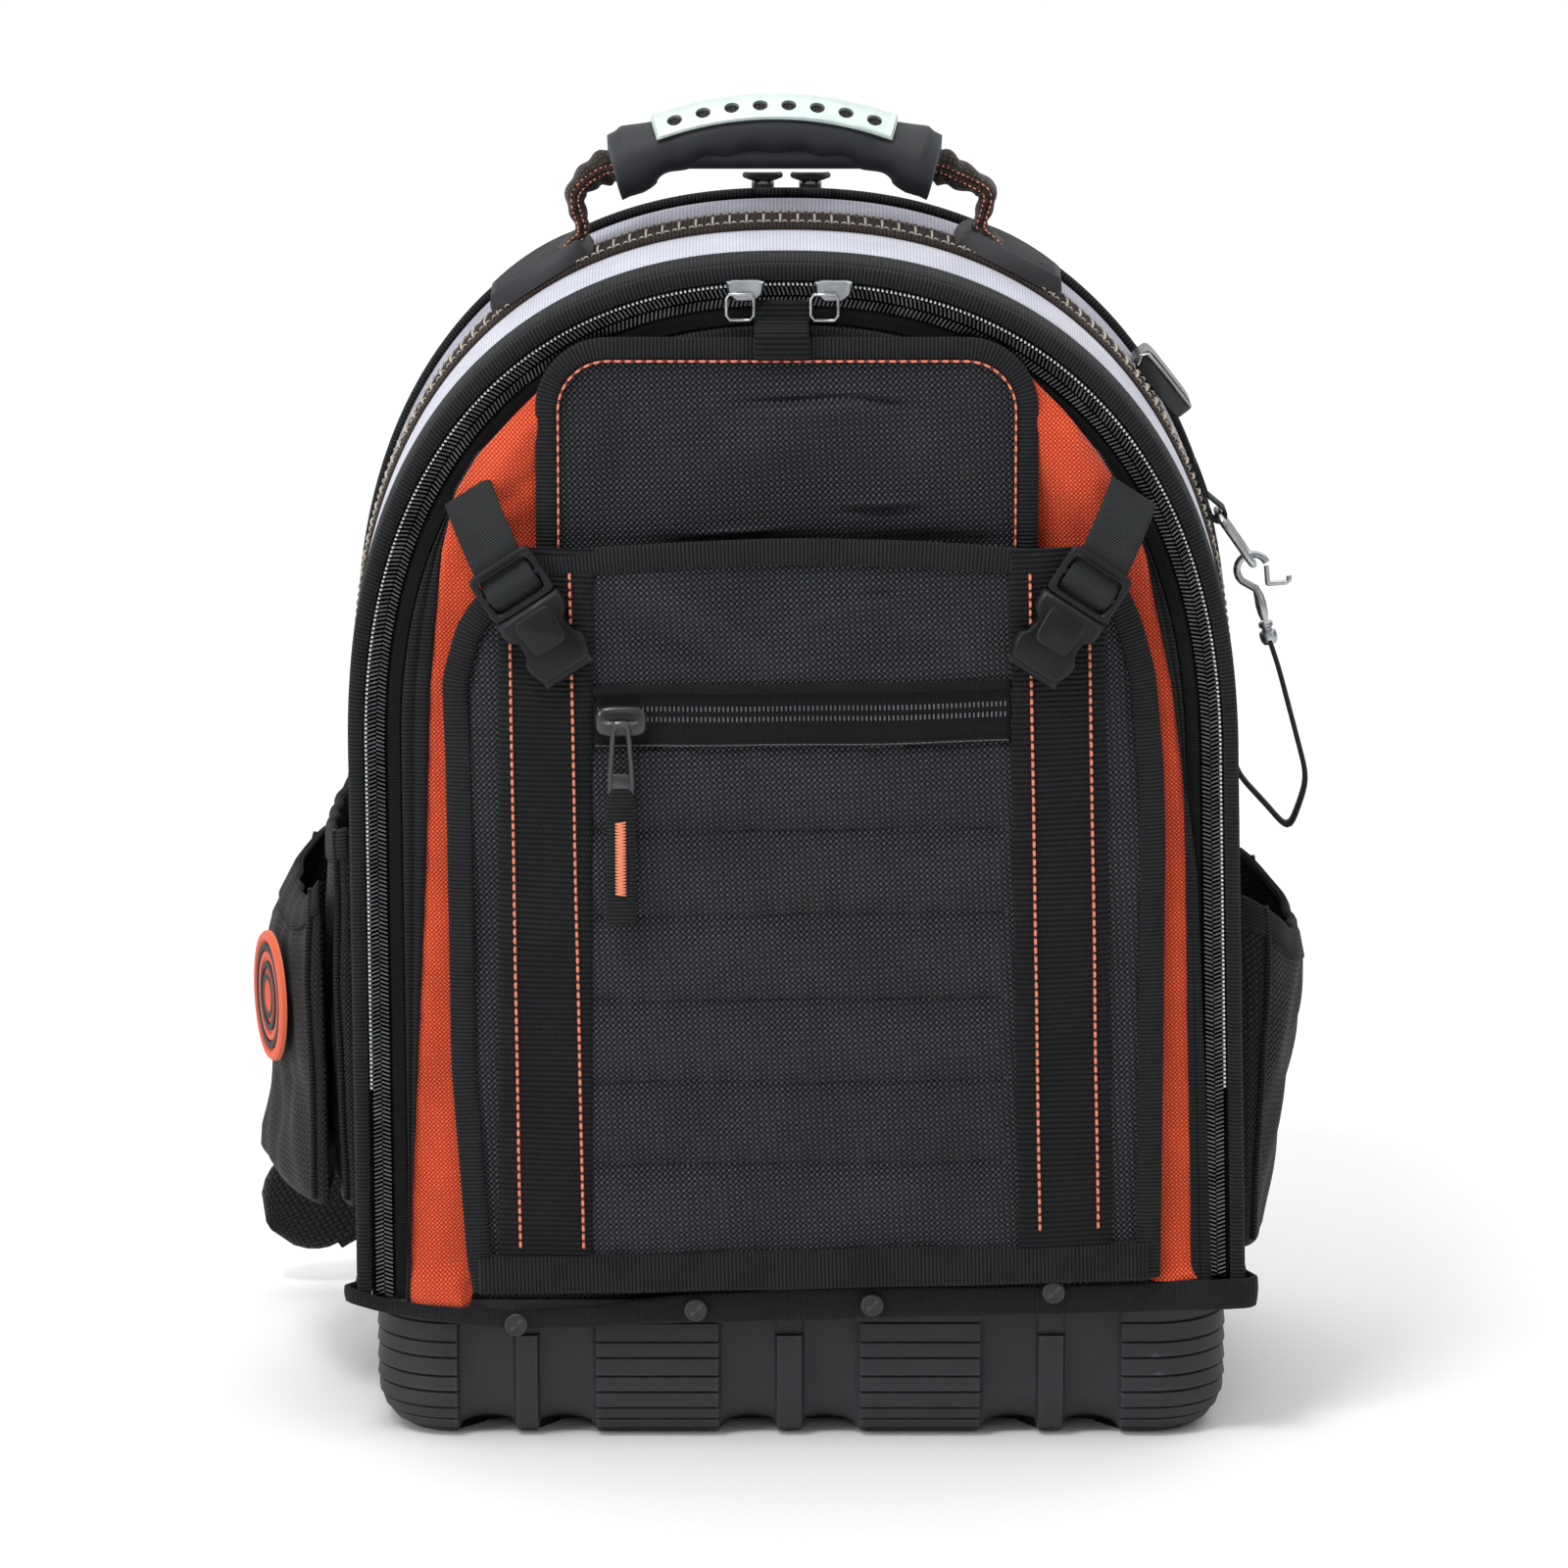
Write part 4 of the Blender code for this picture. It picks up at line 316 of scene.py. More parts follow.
wall_z = np.unique(np.concatenate([np.linspace(0.0, 0.0525, 50), GROOVES, GROOVES - 0.0007, GROOVES + 0.0007,
                                   [BAR_TOP, BAR_TOP + 0.0004]]))
low = np.clip(1 - wall_z / TUB_ROUND, 0, 1)
draw = TUB_ROUND * 0.8 * (1 - np.sqrt(1 - low ** 2))
nearest = np.abs(wall_z[:, None] - GROOVES[None, :]).min(1)
rib_number = np.searchsorted(GROOVES, wall_z)
rib_low = np.concatenate([[0.0], GROOVES])[rib_number]
rib_high = np.concatenate([GROOVES, [0.056]])[rib_number]
rib_share = (wall_z - rib_low) / (rib_high - rib_low)
rib_proud = RIB_PROUD * (1.05 - 0.5 * rib_share) * np.clip(nearest / 0.0007, 0, 1) ** 0.5
rib_proud = np.where(wall_z > GROOVES[-1], 0.0, rib_proud)
bar_proud = np.where(wall_z > BAR_TOP, -0.0016, 0.0009)
relief = (on_rib * rib_proud[:, None] - FLUTE_DEPTH * scoop + on_bar * bar_proud[:, None])
lift = 0.0050 * scoop * np.clip(1 - wall_z[:, None] / 0.016, 0, 1)
out = relief - draw[:, None]
wall = np.concatenate([plan + outward * out[:, :, None],
                       np.broadcast_to((wall_z[:, None] + lift)[:, :, None], out.shape + (1,))], 2)
closing = []
for reach, height, scale in ((0.0010, 0.0540, 1.0), (0.0040, 0.0546, 1.0), (0.0040, TUB_HEIGHT, 1.0),
                             (-0.0070, TUB_HEIGHT, 1.0), (-0.0086, TUB_HEIGHT - 0.001, 1.0),
                             (-0.0086, 0.022, 1.0), (-0.014, 0.0085, 1.0), (-0.022, 0.0050, 1.0),
                             (-0.022, 0.0050, 0.02)):
    ring = (plan + outward * reach) * scale
    closing.append(np.column_stack([ring, np.full(len(ring), height)]))
foot = wall[0].copy()
under = [foot * (0.02, 0.02, 0.0) + (0, 0, 0.002), foot * (0.90, 0.84, 0.0) + (0, 0, 0.002),
         foot * (0.93, 0.88, 0.0) + (0, 0, 0.0)]
tub_grid = np.concatenate([np.stack(under), wall, np.stack(closing)])
tub = surface("moulded_base", tub_grid, tub_rubber, wrap_columns=True, caps=True, sharp=32)
belongs(tub, "base_tub")


# Skirt: a doubled band of coarse nylon sewn round the foot of the cloth body and riveted to the base.
# Its hem waves between the rivets, because it is drawn tight only there.

def woven(name, thread, gap_shade, pitch, relief, rough=0.78, sheen=0.06, mottle=0.12, glint=0.9, turn=0.0):
    """Plain-woven cloth. In thread counts, warp is on top where floor(u) + floor(v) is even; the height
    is sin(pi fract) across the upper thread times 0.5 + 0.5 sin(pi fract) along it. Its colour holds
    painted light: the crowns take the thread tone as painted highlight and the gaps the dark tone as
    painted shade, and glint paints warp-over cells lighter and weft-over cells darker."""
    material, tree = new_material(name)
    uv = add(tree, "UVMap", uv_map="metres").outputs[0]
    uv = add(tree, "VectorRotate", {"Vector": uv, "Angle": turn}, rotation_type="Z_AXIS").outputs[0]
    place = add(tree, "TexCoord").outputs["Object"]
    counts = add(tree, "VectorMath", {0: uv, "Scale": 1.0 / pitch}, operation="SCALE").outputs[0]
    cell = add(tree, "VectorMath", {0: counts}, operation="FLOOR").outputs[0]
    part = add(tree, "VectorMath", {0: counts}, operation="FRACTION").outputs[0]
    swung = add(tree, "VectorMath", {0: part, "Scale": math.pi}, operation="SCALE").outputs[0]
    wave = add(tree, "SeparateXYZ", {0: add(tree, "VectorMath", {0: swung}, operation="SINE").outputs[0]})
    number = add(tree, "SeparateXYZ", {0: cell})
    both = add(tree, "Math", {0: number.outputs[0], 1: number.outputs[1]}, operation="ADD")
    upper = add(tree, "Math", {0: both.outputs[0], 1: 1.0}, operation="PINGPONG").outputs[0]
    crown_v = add(tree, "Math", {0: wave.outputs[1], 1: 0.5, 2: 0.5}, operation="MULTIPLY_ADD")
    crown_u = add(tree, "Math", {0: wave.outputs[0], 1: 0.5, 2: 0.5}, operation="MULTIPLY_ADD")
    warp = add(tree, "Math", {0: wave.outputs[0], 1: crown_v.outputs[0]}, operation="MULTIPLY")
    weft = add(tree, "Math", {0: wave.outputs[1], 1: crown_u.outputs[0]}, operation="MULTIPLY")
    height = add(tree, "Mix", {0: upper, 2: weft.outputs[0], 3: warp.outputs[0]}).outputs[0]
    crown = add(tree, "MapRange", {0: height, 1: 0.30, 2: 0.95, 3: 0.0, 4: 1.0}).outputs[0]
    # Painted light: crowns get the thread tone as painted highlight, gaps the dark tone as painted shade.
    base = add(tree, "Mix", {0: crown, 6: linear(gap_shade), 7: linear(thread)}, data_type="RGBA").outputs[2]
    slow = add(tree, "TexNoise", {"Vector": place, "Scale": 30.0, "Detail": 5.0}).outputs[0]
    tone = add(tree, "MapRange", {0: slow, 1: 0.3, 2: 0.7, 3: 1.0 - mottle, 4: 1.0 + mottle})
    # Painted highlight: glint makes warp-over threads lighter and weft-over threads darker.
    lit = add(tree, "Mix", {0: upper, 2: 1.0 - 0.22 * glint, 3: 1.0 + 0.22 * glint}).outputs[0]
    gain = add(tree, "Math", {0: tone.outputs[0], 1: lit}, operation="MULTIPLY").outputs[0]
    shade = add(tree, "VectorMath", {0: base, "Scale": gain}, operation="SCALE").outputs[0]
    bump = add(tree, "Bump", {"Strength": 0.9, "Distance": relief, "Height": height})
    close_material(tree, add(tree, "BsdfPrincipled", {
        "Base Color": shade, "Roughness": rough, "Normal": bump.outputs[0], "Sheen Weight": sheen,
        "Sheen Roughness": 0.45, "Specular IOR Level": 0.16}))
    return material


# Polyester yarn, coarse plain weave: dull black, each thread's crown a little grey as painted highlight and
# its gaps near black as painted shade.
skirt_cloth = woven("coarse_nylon", "#2B2C2E", "#08090A", 0.0011, 0.0003)

SKIRT_HALF = (0.1766, 0.1069)
SKIRT_FRONT = np.array([  # x, top edge, lower edge, from the left corner to the right one
    (-0.178, 0.0662, 0.0600), (-0.163, 0.0600, 0.0545), (-0.135, 0.0570, 0.0508), (-0.108, 0.0562, 0.0482),
    (-0.078, 0.0582, 0.0496), (-0.048, 0.0622, 0.0512), (0.000, 0.0655, 0.0520), (0.028, 0.0656, 0.0530),
    (0.070, 0.0658, 0.0540), (0.108, 0.0662, 0.0548), (0.140, 0.0675, 0.0556), (0.178, 0.0690, 0.0572)])
skirt_steps = np.linspace(0.0, 1.0, 560, endpoint=False)
plan, outward = round_plan(*SKIRT_HALF, 0.0045, skirt_steps)
plan[:, 0] *= 1 - 0.0235 * np.clip((plan[:, 1] + 0.1035) / 0.010, 0, 1)
frontness = np.clip((-plan[:, 1] + 0.020) / 0.100, 0, 1) ** 0.5
fine_x = np.linspace(-0.18, 0.18, 361)
smooth = np.hanning(27) / np.hanning(27).sum()
edges = [np.convolve(np.pad(np.interp(fine_x, SKIRT_FRONT[:, 0], SKIRT_FRONT[:, k]), 13, "edge"), smooth,
                     "valid") for k in (1, 2)]
skirt_top = 0.0664 + frontness * (np.interp(plan[:, 0], fine_x, edges[0]) - 0.0664)
skirt_low = 0.0500 + frontness * (np.interp(plan[:, 0], fine_x, edges[1]) - 0.0500)
ring = np.linspace(0.0, 1.0, 22, endpoint=False)
section_out = np.interp(ring, (0.0, 0.06, 0.10, 0.30, 0.47, 0.52, 0.56, 0.62, 0.97, 1.0),
                        (0.0, 0.0012, 0.0019, 0.0024, 0.0021, 0.0014, 0.0004, 0.0, 0.0, 0.0))
section_up = np.interp(ring, (0.0, 0.06, 0.10, 0.30, 0.47, 0.52, 0.56, 0.62, 0.97, 1.0),
                       (-0.01, -0.04, 0.04, 0.5, 0.94, 1.0, 1.0, 0.96, 0.02, -0.01))
ripple = 0.0007 * np.sin(plan[:, 0] * 95 + 1.0) * np.sin(plan[:, 0] * 33) + 0.0004 * np.sin(plan[:, 0] * 210)
skirt_out = section_out[None, :] + ripple[:, None] * (section_out > 0.0001)[None, :]
skirt_z = skirt_low[:, None] + section_up[None, :] * (skirt_top - skirt_low)[:, None]
skirt_grid = np.concatenate([plan[:, None, :] + outward[:, None, :] * skirt_out[:, :, None],
                             skirt_z[:, :, None]], 2)
skirt_uv = np.stack(np.broadcast_arrays(np.linspace(0, 0.04, 23)[None, :],
                                        np.linspace(0, 1.12, 561)[:, None]), 2)
skirt = surface("foot_skirt", skirt_grid, skirt_cloth, wrap_rows=True, wrap_columns=True, sharp=60,
                uv=skirt_uv)
belongs(skirt, "base_skirt")

# Acetal snap rivets: satin black, flat heads with a rolled edge.
rivet_plastic = moulded("rivet_acetal", "#1E1F22", "#17181A", 0.0004, 0.42, 0.00003, wear="#4A4B50")


def turned(profile, count, centre, axis, side):
    """A profile of (radius, height) turned about an axis: centre + axis h + r (side cos + up sin)."""
    axis, side = np.asarray(axis, float), np.asarray(side, float)
    up = np.cross(axis, side)
    angle = np.linspace(0.0, 2 * math.pi, count, endpoint=False)
    way = np.cos(angle)[:, None] * side + np.sin(angle)[:, None] * up
    radius, height = np.asarray(profile, float).T
    return np.asarray(centre) + height[:, None, None] * axis + radius[:, None, None] * way[None, :, :]


RIVET_PROFILE = ((0.0001, -0.0012), (0.0034, -0.0012), (0.0045, -0.0006), (0.0046, 0.0004), (0.0043, 0.0010),
                 (0.0038, 0.0013), (0.0034, 0.0012), (0.0030, 0.0011), (0.0015, 0.0014), (0.0001, 0.0015))
for number, (x, z) in enumerate(((-0.1113, 0.0508), (-0.0412, 0.0567), (0.0276, 0.0587), (0.0983, 0.0639))):
    head = turned(RIVET_PROFILE, 28, (x, -0.1103, z), (0, -1, 0), (1, 0, 0))
    rivet = surface("rivet_%d" % (number + 1), head, rivet_plastic, wrap_columns=True, caps=True, sharp=50)
    belongs(rivet, "skirt_rivet_%d" % (number + 1))


# Body: an arched gusset of black nylon over a stiff liner, closed behind by the back panel. Flat tapes
# are sewn over its top: a pale one in front, a ladder-stitched brown webbing and a second pale one.

FOOT_HALF_WIDTH = 0.1722
SPRING_HALF_WIDTH = 0.1700
SPRING_HEIGHT = 0.272
BODY_TOP = 0.4655
FOOT_HEIGHT = 0.0585
CREST_GROWTH = 0.0055


def bag_lean(z):
    """How far the bag's middle stands to the right at a height: it leans 6 mm to the left at its top."""
    return -0.006 * (z - TUB_HEIGHT) / (BODY_TOP - TUB_HEIGHT)


def arch(station, inset, depth):
    """A point of the arched body: straight flanks to stations 0.25 and 0.75, then the superellipse
    |x|^2.3 + |z|^2.3 over the top, drawn in by inset and grown towards the crest at depth 0.05."""
    station, inset, depth = np.broadcast_arrays(station, inset, depth)
    turn = np.pi * np.clip((station - 0.25) / 0.5, 0, 1)
    climb = np.minimum(1.0, np.minimum(station, 1 - station) / 0.25)
    crest = np.where(depth <= 0.05, np.clip((depth + 0.1) / 0.15, 0, 1), 1 - 0.8 * (depth - 0.05) / 0.05)
    drawn = inset - CREST_GROWTH * crest * (0.5 * climb + 0.5 * np.sin(turn))
    half = FOOT_HALF_WIDTH + climb * (SPRING_HALF_WIDTH - FOOT_HALF_WIDTH) - drawn
    cosine, sine = np.cos(turn), np.clip(np.sin(turn), 0, 1)
    flank = (station < 0.25) | (station > 0.75)
    x = np.where(flank, np.where(station < 0.5, -half, half),
                 -np.sign(cosine) * np.abs(cosine) ** (2 / 2.3) * (SPRING_HALF_WIDTH - drawn))
    z = np.where(flank, FOOT_HEIGHT + climb * (SPRING_HEIGHT - FOOT_HEIGHT),
                 SPRING_HEIGHT + (BODY_TOP - SPRING_HEIGHT - 1.15 * drawn) * sine ** (2 / 2.3))
    return np.stack([x + bag_lean(z), depth, z], -1)


def even_stations(count, inset=0.0, depth=-0.1):
    """Stations at even distances along the arch, from foot to foot."""
    fine = np.linspace(0.0, 1.0, 6001)
    gone = distances_along(arch(fine, inset, depth))
    return np.interp(np.linspace(0.0, gone[-1], count), gone, fine)


def arch_band(name, profile, count, material, closed=False, thick=0.0, sharp=40.0):
    """A profile of (inset, depth) points carried round the arch at even stations."""
    profile = np.asarray(profile, float)
    stations = even_stations(count)
    grid = arch(stations[:, None], profile[None, :, 0], profile[None, :, 1])
    return surface(name, grid, material, wrap_columns=closed, caps=closed, sharp=sharp, thick=thick)


# 1680 denier nylon, plain weave: thread crowns charcoal as painted highlight, gaps near black as painted
#                                 shade.
body_nylon = woven("ballistic_nylon", "#484A50", "#030304", 0.0016, 0.0011, rough=0.50, glint=1.2, turn=0.72)

main_cloth = arch_band("gusset_cloth", [(0.0, 0.0527), (0.0, -0.0720), (0.0001, -0.0760), (0.0, -0.0996)],
                       300, body_nylon, thick=0.0036)
belongs(main_cloth, "main_gusset")
rear_profile = [(0.0, 0.0997), (-0.0004, 0.090), (-0.0006, 0.075), (-0.0004, 0.060), (0.0, 0.0533)]
rear_cloth = arch_band("rear_gusset_cloth", rear_profile, 300, body_nylon, thick=0.0036)
belongs(rear_cloth, "rear_gusset")


def ribbed(name, thread, gap_shade, pitch, relief, fine=0.0007, rough=0.7, sheen=0.05, mottle=0.12, along="v"):
    """Ribbed tape: across-ribs of height |sin(pi v / pitch)|, cut by fine warp columns of 0.8 + 0.2 sin.
    Its colour holds painted light: rib tops take the thread tone as painted highlight, furrows the dark
    tone as painted shade.
    """
    material, tree = new_material(name)
    uv = add(tree, "SeparateXYZ", {0: add(tree, "UVMap", uv_map="metres").outputs[0]})
    run, cross = (uv.outputs[1], uv.outputs[0]) if along == "v" else (uv.outputs[0], uv.outputs[1])
    place = add(tree, "TexCoord").outputs["Object"]
    ribs = add(tree, "Math", {0: run, 1: math.pi / pitch}, operation="MULTIPLY").outputs[0]
    wave = add(tree, "Math", {0: ribs}, operation="SINE").outputs[0]
    rib = add(tree, "Math", {0: wave}, operation="ABSOLUTE").outputs[0]
    count = add(tree, "Math", {0: run, 1: 1.0 / pitch}, operation="MULTIPLY").outputs[0]
    row = add(tree, "Math", {0: count}, operation="FLOOR").outputs[0]
    phase = add(tree, "Math", {0: row, 1: math.pi}, operation="MULTIPLY").outputs[0]
    column = add(tree, "Math", {0: cross, 1: 2 * math.pi / fine, 2: phase},
                 operation="MULTIPLY_ADD").outputs[0]
    knit = add(tree, "Math", {0: column}, operation="SINE").outputs[0]
    knit = add(tree, "Math", {0: knit, 1: 0.2, 2: 0.8}, operation="MULTIPLY_ADD").outputs[0]
    height = add(tree, "Math", {0: rib, 1: knit}, operation="MULTIPLY").outputs[0]
    # Painted light: rib tops get the thread tone as painted highlight, furrows the dark tone as painted
    # shade.
    base = add(tree, "Mix", {0: height, 6: linear(gap_shade), 7: linear(thread)}, data_type="RGBA").outputs[2]
    slow = add(tree, "TexNoise", {"Vector": place, "Scale": 45.0, "Detail": 4.0}).outputs[0]
    tone = add(tree, "MapRange", {0: slow, 1: 0.3, 2: 0.7, 3: 1.0 - mottle, 4: 1.0 + mottle})
    shade = add(tree, "VectorMath", {0: base, "Scale": tone.outputs[0]}, operation="SCALE").outputs[0]
    bump = add(tree, "Bump", {"Strength": 0.9, "Distance": relief, "Height": height})
    close_material(tree, add(tree, "BsdfPrincipled", {
        "Base Color": shade, "Roughness": rough, "Normal": bump.outputs[0], "Sheen Weight": sheen,
        "Sheen Roughness": 0.4, "Specular IOR Level": 0.12}))
    return material


# Reflective polyester tape: pale grey-violet, finely ribbed across, with a soft satin shine.
front_reflective = ribbed("reflective_tape", "#D6D7E2", "#A6A7B5", 0.0013, 0.00010, rough=0.42, mottle=0.06)
# The same tape behind the crest, greyer and duller.
rear_reflective = ribbed("grey_reflective_tape", "#B3B3C4", "#83838F", 0.0015, 0.00012, rough=0.5,
                         mottle=0.12)
# Polypropylene webbing, dark brown, with deep cross ribs 1.5 mm apart.
brown_webbing = ribbed("brown_webbing", "#3A2F2A", "#0A0806", 0.0016, 0.0005, rough=0.8, mottle=0.3)
# Black grosgrain: cross ribs about 1.3 mm apart, drawn a little coarse so that they show.
black_grosgrain = ribbed("black_grosgrain", "#2F3133", "#020202", 0.0015, 0.0006)


def domed(front, rear, lift, swell, steps=9):
    """Profile of a flat tape from rear to front: lift plus swell (1 - t^4), and its edges turned down."""
    t = np.linspace(-1.0, 1.0, steps)
    depth = (front + rear) / 2 - t * (rear - front) / 2
    return np.column_stack([-(lift + swell * (1 - t ** 4)), depth])


BANDS = (
    ("front_pale_tape", -0.0723, -0.0284, 0.0009, 0.0004, front_reflective, "light_tape", "front_light_tape"),
    ("ladder_webbing", -0.0278, 0.0106, 0.0013, 0.0006, brown_webbing, "brown_webbing", "stitched_webbing"),
    ("rear_pale_tape", 0.0113, 0.0436, 0.0009, 0.0004, rear_reflective, "light_tape", "rear_light_tape"),
)
for name, front, rear, lift, swell, cloth, slot, node in BANDS:
    band = arch_band(name, domed(front, rear, lift, swell), 420, cloth, thick=0.0008)
    belongs(band, node)
ribbed_lip = arch_band("front_grosgrain", domed(-0.0992, -0.0731, 0.0006, 0.0012, 11), 420, black_grosgrain,
                       thick=0.0006)
rides([ribbed_lip])


def rod(path, radius, sides=10, up=(0.0, 1.0, 0.0), squash=1.0, closed=False):
    """A round or oval section carried along a path: rows follow the path, columns go round it."""
    path = np.asarray(path, float)
    if closed:
        way = np.roll(path, -1, 0) - np.roll(path, 1, 0)
    else:
        way = np.gradient(path, axis=0)
    way = unit(way)
    side = unit(np.cross(way, np.asarray(up, float)))
    other = np.cross(side, way)
    angle = np.linspace(0.0, 2 * math.pi, sides, endpoint=False)
    radius = np.broadcast_to(np.asarray(radius, float), (len(path),))[:, None, None]
    ring = (np.cos(angle)[None, :, None] * side[:, None, :] * squash
            + np.sin(angle)[None, :, None] * other[:, None, :])
    return path[:, None, :] + radius * ring


def tube(name, path, radius, material, sides=10, sharp=40.0, up=(0.0, 1.0, 0.0), squash=1.0, closed=False):
    """A rod as one object; its ends are capped unless it closes on itself."""
    return surface(name, rod(path, radius, sides, up, squash, closed), material, wrap_rows=closed,
                   wrap_columns=True, caps=not closed, sharp=sharp)


piping_stations = even_stations(360)
piping_path = arch(piping_stations, -0.0017, 0.053)
piping = tube("crest_piping_cord", piping_path, 0.0027, black_grosgrain, 12, 80, squash=0.8)
belongs(piping, "crest_piping")


def copies(name, shape, faces, origins, frames, material):
    """One mesh of many small shapes: each point is origin + frame . shape, worked out for all at once."""
    shape = np.asarray(shape, float)
    points = origins[:, None, :] + np.einsum("mij,vj->mvi", frames, shape)
    offsets = (np.arange(len(origins)) * len(shape))[:, None]
    mesh = bpy.data.meshes.new(name)
    every = []
    for face in faces:
        every += (np.asarray(face)[None, :] + offsets).tolist()
    mesh.from_pydata(points.reshape(-1, 3).tolist(), [], every)
    mesh.shade_smooth()
    mesh.set_sharp_from_angle(angle=math.radians(45))
    mesh.materials.append(material)
    made = bpy.data.objects.new(name, mesh)
    bpy.context.collection.objects.link(made)
    return made


def stitch_shape(length, width, height):
    """A thread that rises from its hole, lies flat and dips again: six points a ring on five rings."""
    along = np.array([-0.5, -0.38, 0.0, 0.38, 0.5]) * length
    rise = np.array([-0.5, 0.55, 1.0, 0.55, -0.5]) * height
    thin = np.array([0.55, 0.9, 1.0, 0.9, 0.55])
    angle = np.linspace(0, 2 * math.pi, 6, endpoint=False)
    ring = np.stack([np.zeros(6), np.cos(angle) * width / 2, np.sin(angle) * height * 0.6], 1)
    points = np.concatenate([ring * (1, thin[k], thin[k]) + (along[k], 0, rise[k]) for k in range(5)])
    faces = [[r * 6 + c, r * 6 + (c + 1) % 6, r * 6 + 6 + (c + 1) % 6, r * 6 + 6 + c]
             for r in range(4) for c in range(6)]
    return points, [face[::-1] for face in faces] + [[0, 1, 2, 3, 4, 5], [29, 28, 27, 26, 25, 24]]


def spun(name, tone, dark, rough=0.6):
    """Sewing thread: two-ply twist too fine to show, so a short streaky noise takes its place."""
    material, tree = new_material(name)
    place = add(tree, "TexCoord").outputs["Object"]
    noise = add(tree, "TexNoise", {"Vector": place, "Scale": 900.0, "Detail": 2.0}).outputs[0]
    base = add(tree, "Mix", {0: noise, 6: linear(dark), 7: linear(tone)}, data_type="RGBA")
    bump = add(tree, "Bump", {"Strength": 0.5, "Distance": 0.0001, "Height": noise})
    close_material(tree, add(tree, "BsdfPrincipled", {
        "Base Color": base.outputs[2], "Roughness": rough, "Normal": bump.outputs[0],
        "Sheen Weight": 0.2}))
    return material


# Bonded nylon thread, undyed: straw-coloured, dull, with a faint twist.
straw_thread = spun("straw_thread", "#CFC5B4", "#94897A")


def arch_frames(stations, inset, depth, lengthwise=True):
    """Places on the arch with axes along it, towards the rear and outwards, or turned a quarter."""
    here = arch(stations, inset, depth)
    along = unit(arch(stations + 1e-4, inset, depth) - arch(stations - 1e-4, inset, depth))
    rear = np.broadcast_to([0.0, 1.0, 0.0], along.shape)
    out = np.cross(rear, along)
    out *= np.sign((out * (here - BAG_MIDDLE)).sum(1, keepdims=True))
    first, second = (along, np.cross(out, along)) if lengthwise else (np.cross(along, out), along)
    return here, np.stack([first, second, out], 2)


LADDER_PITCH = 0.0032
arch_length = distances_along(arch(np.linspace(0.0, 1.0, 6001), 0.0, -0.1))[-1]
ladder_stations = even_stations(int(arch_length / LADDER_PITCH))
runs = []
for depth in (-0.0185, 0.0015):
    runs.append(arch_frames(ladder_stations[4:-4], -0.0021, depth))
outer_stitch = stitch_shape(0.0023, 0.0009, 0.0006)
outer_runs = copies("ladder_runs", *outer_stitch, np.concatenate([run[0] for run in runs]),
                    np.concatenate([run[1] for run in runs]), straw_thread)
rungs = arch_frames((ladder_stations[4:-4:2] + ladder_stations[5:-3:2]) / 2, -0.0020, -0.0085,
                    lengthwise=False)
ladder_rungs = copies("ladder_rungs", *stitch_shape(0.0185, 0.0010, 0.0008), *rungs, straw_thread)
rides([outer_runs, ladder_rungs])


# Front rim and door zip: a grosgrain binding rolled over the gusset's raw edge, then the zip's woven
# tape with two dark rows of interlocked metal teeth, and over the top a row of near-white dots that
# are painted highlight on the teeth.

binding_angle = np.linspace(0.0, 2 * math.pi, 14, endpoint=False)
binding_profile = np.column_stack([
    0.0015 - 0.0029 * np.cos(binding_angle) * (1 + 0.1 * np.sin(binding_angle)),
    -0.1035 - 0.0032 * np.sin(binding_angle)])
rim = arch_band("rim_binding", binding_profile, 420, black_grosgrain, closed=True, sharp=80)
belongs(rim, "edge_binding")

# Woven zip tape: tight herringbone, drawn as fine ribs.
zip_cloth = ribbed("zip_tape", "#1E1F20", "#050506", 0.0011, 0.00020, fine=0.0009)
tape_profile = [(0.0046, -0.1004), (0.0048, -0.1013), (0.0085, -0.1013), (0.0130, -0.1014), (0.0138, -0.1022),
                (0.0148, -0.1024), (0.0158, -0.1020), (0.0185, -0.1019), (0.0190, -0.1012)]
door_tape = arch_band("door_zip_tape", tape_profile, 420, zip_cloth, thick=0.0005)


def metal(name, tone, dark, rough, metallic=1.0):
    """Plated or cast metal: its colour drifts a little, and handling leaves it unevenly polished."""
    material, tree = new_material(name)
    place = add(tree, "TexCoord").outputs["Object"]
    slow = add(tree, "TexNoise", {"Vector": place, "Scale": 160.0, "Detail": 5.0}).outputs[0]
    base = add(tree, "Mix", {0: slow, 6: linear(dark), 7: linear(tone)}, data_type="RGBA")
    shine = add(tree, "MapRange", {0: slow, 1: 0.3, 2: 0.7, 3: rough - 0.08, 4: rough + 0.12})
    bump = add(tree, "Bump", {"Strength": 0.25, "Distance": 0.00005, "Height": slow})
    close_material(tree, add(tree, "BsdfPrincipled", {
        "Base Color": base.outputs[2], "Roughness": shine.outputs[0], "Metallic": metallic,
        "Normal": bump.outputs[0]}))
    return material


# Painted highlight on the teeth: pale, nearly white dots.
tooth_highlight_white = metal("tooth_painted_highlight", "#F4F6F8", "#C9CCCE", 0.40, metallic=0.1)


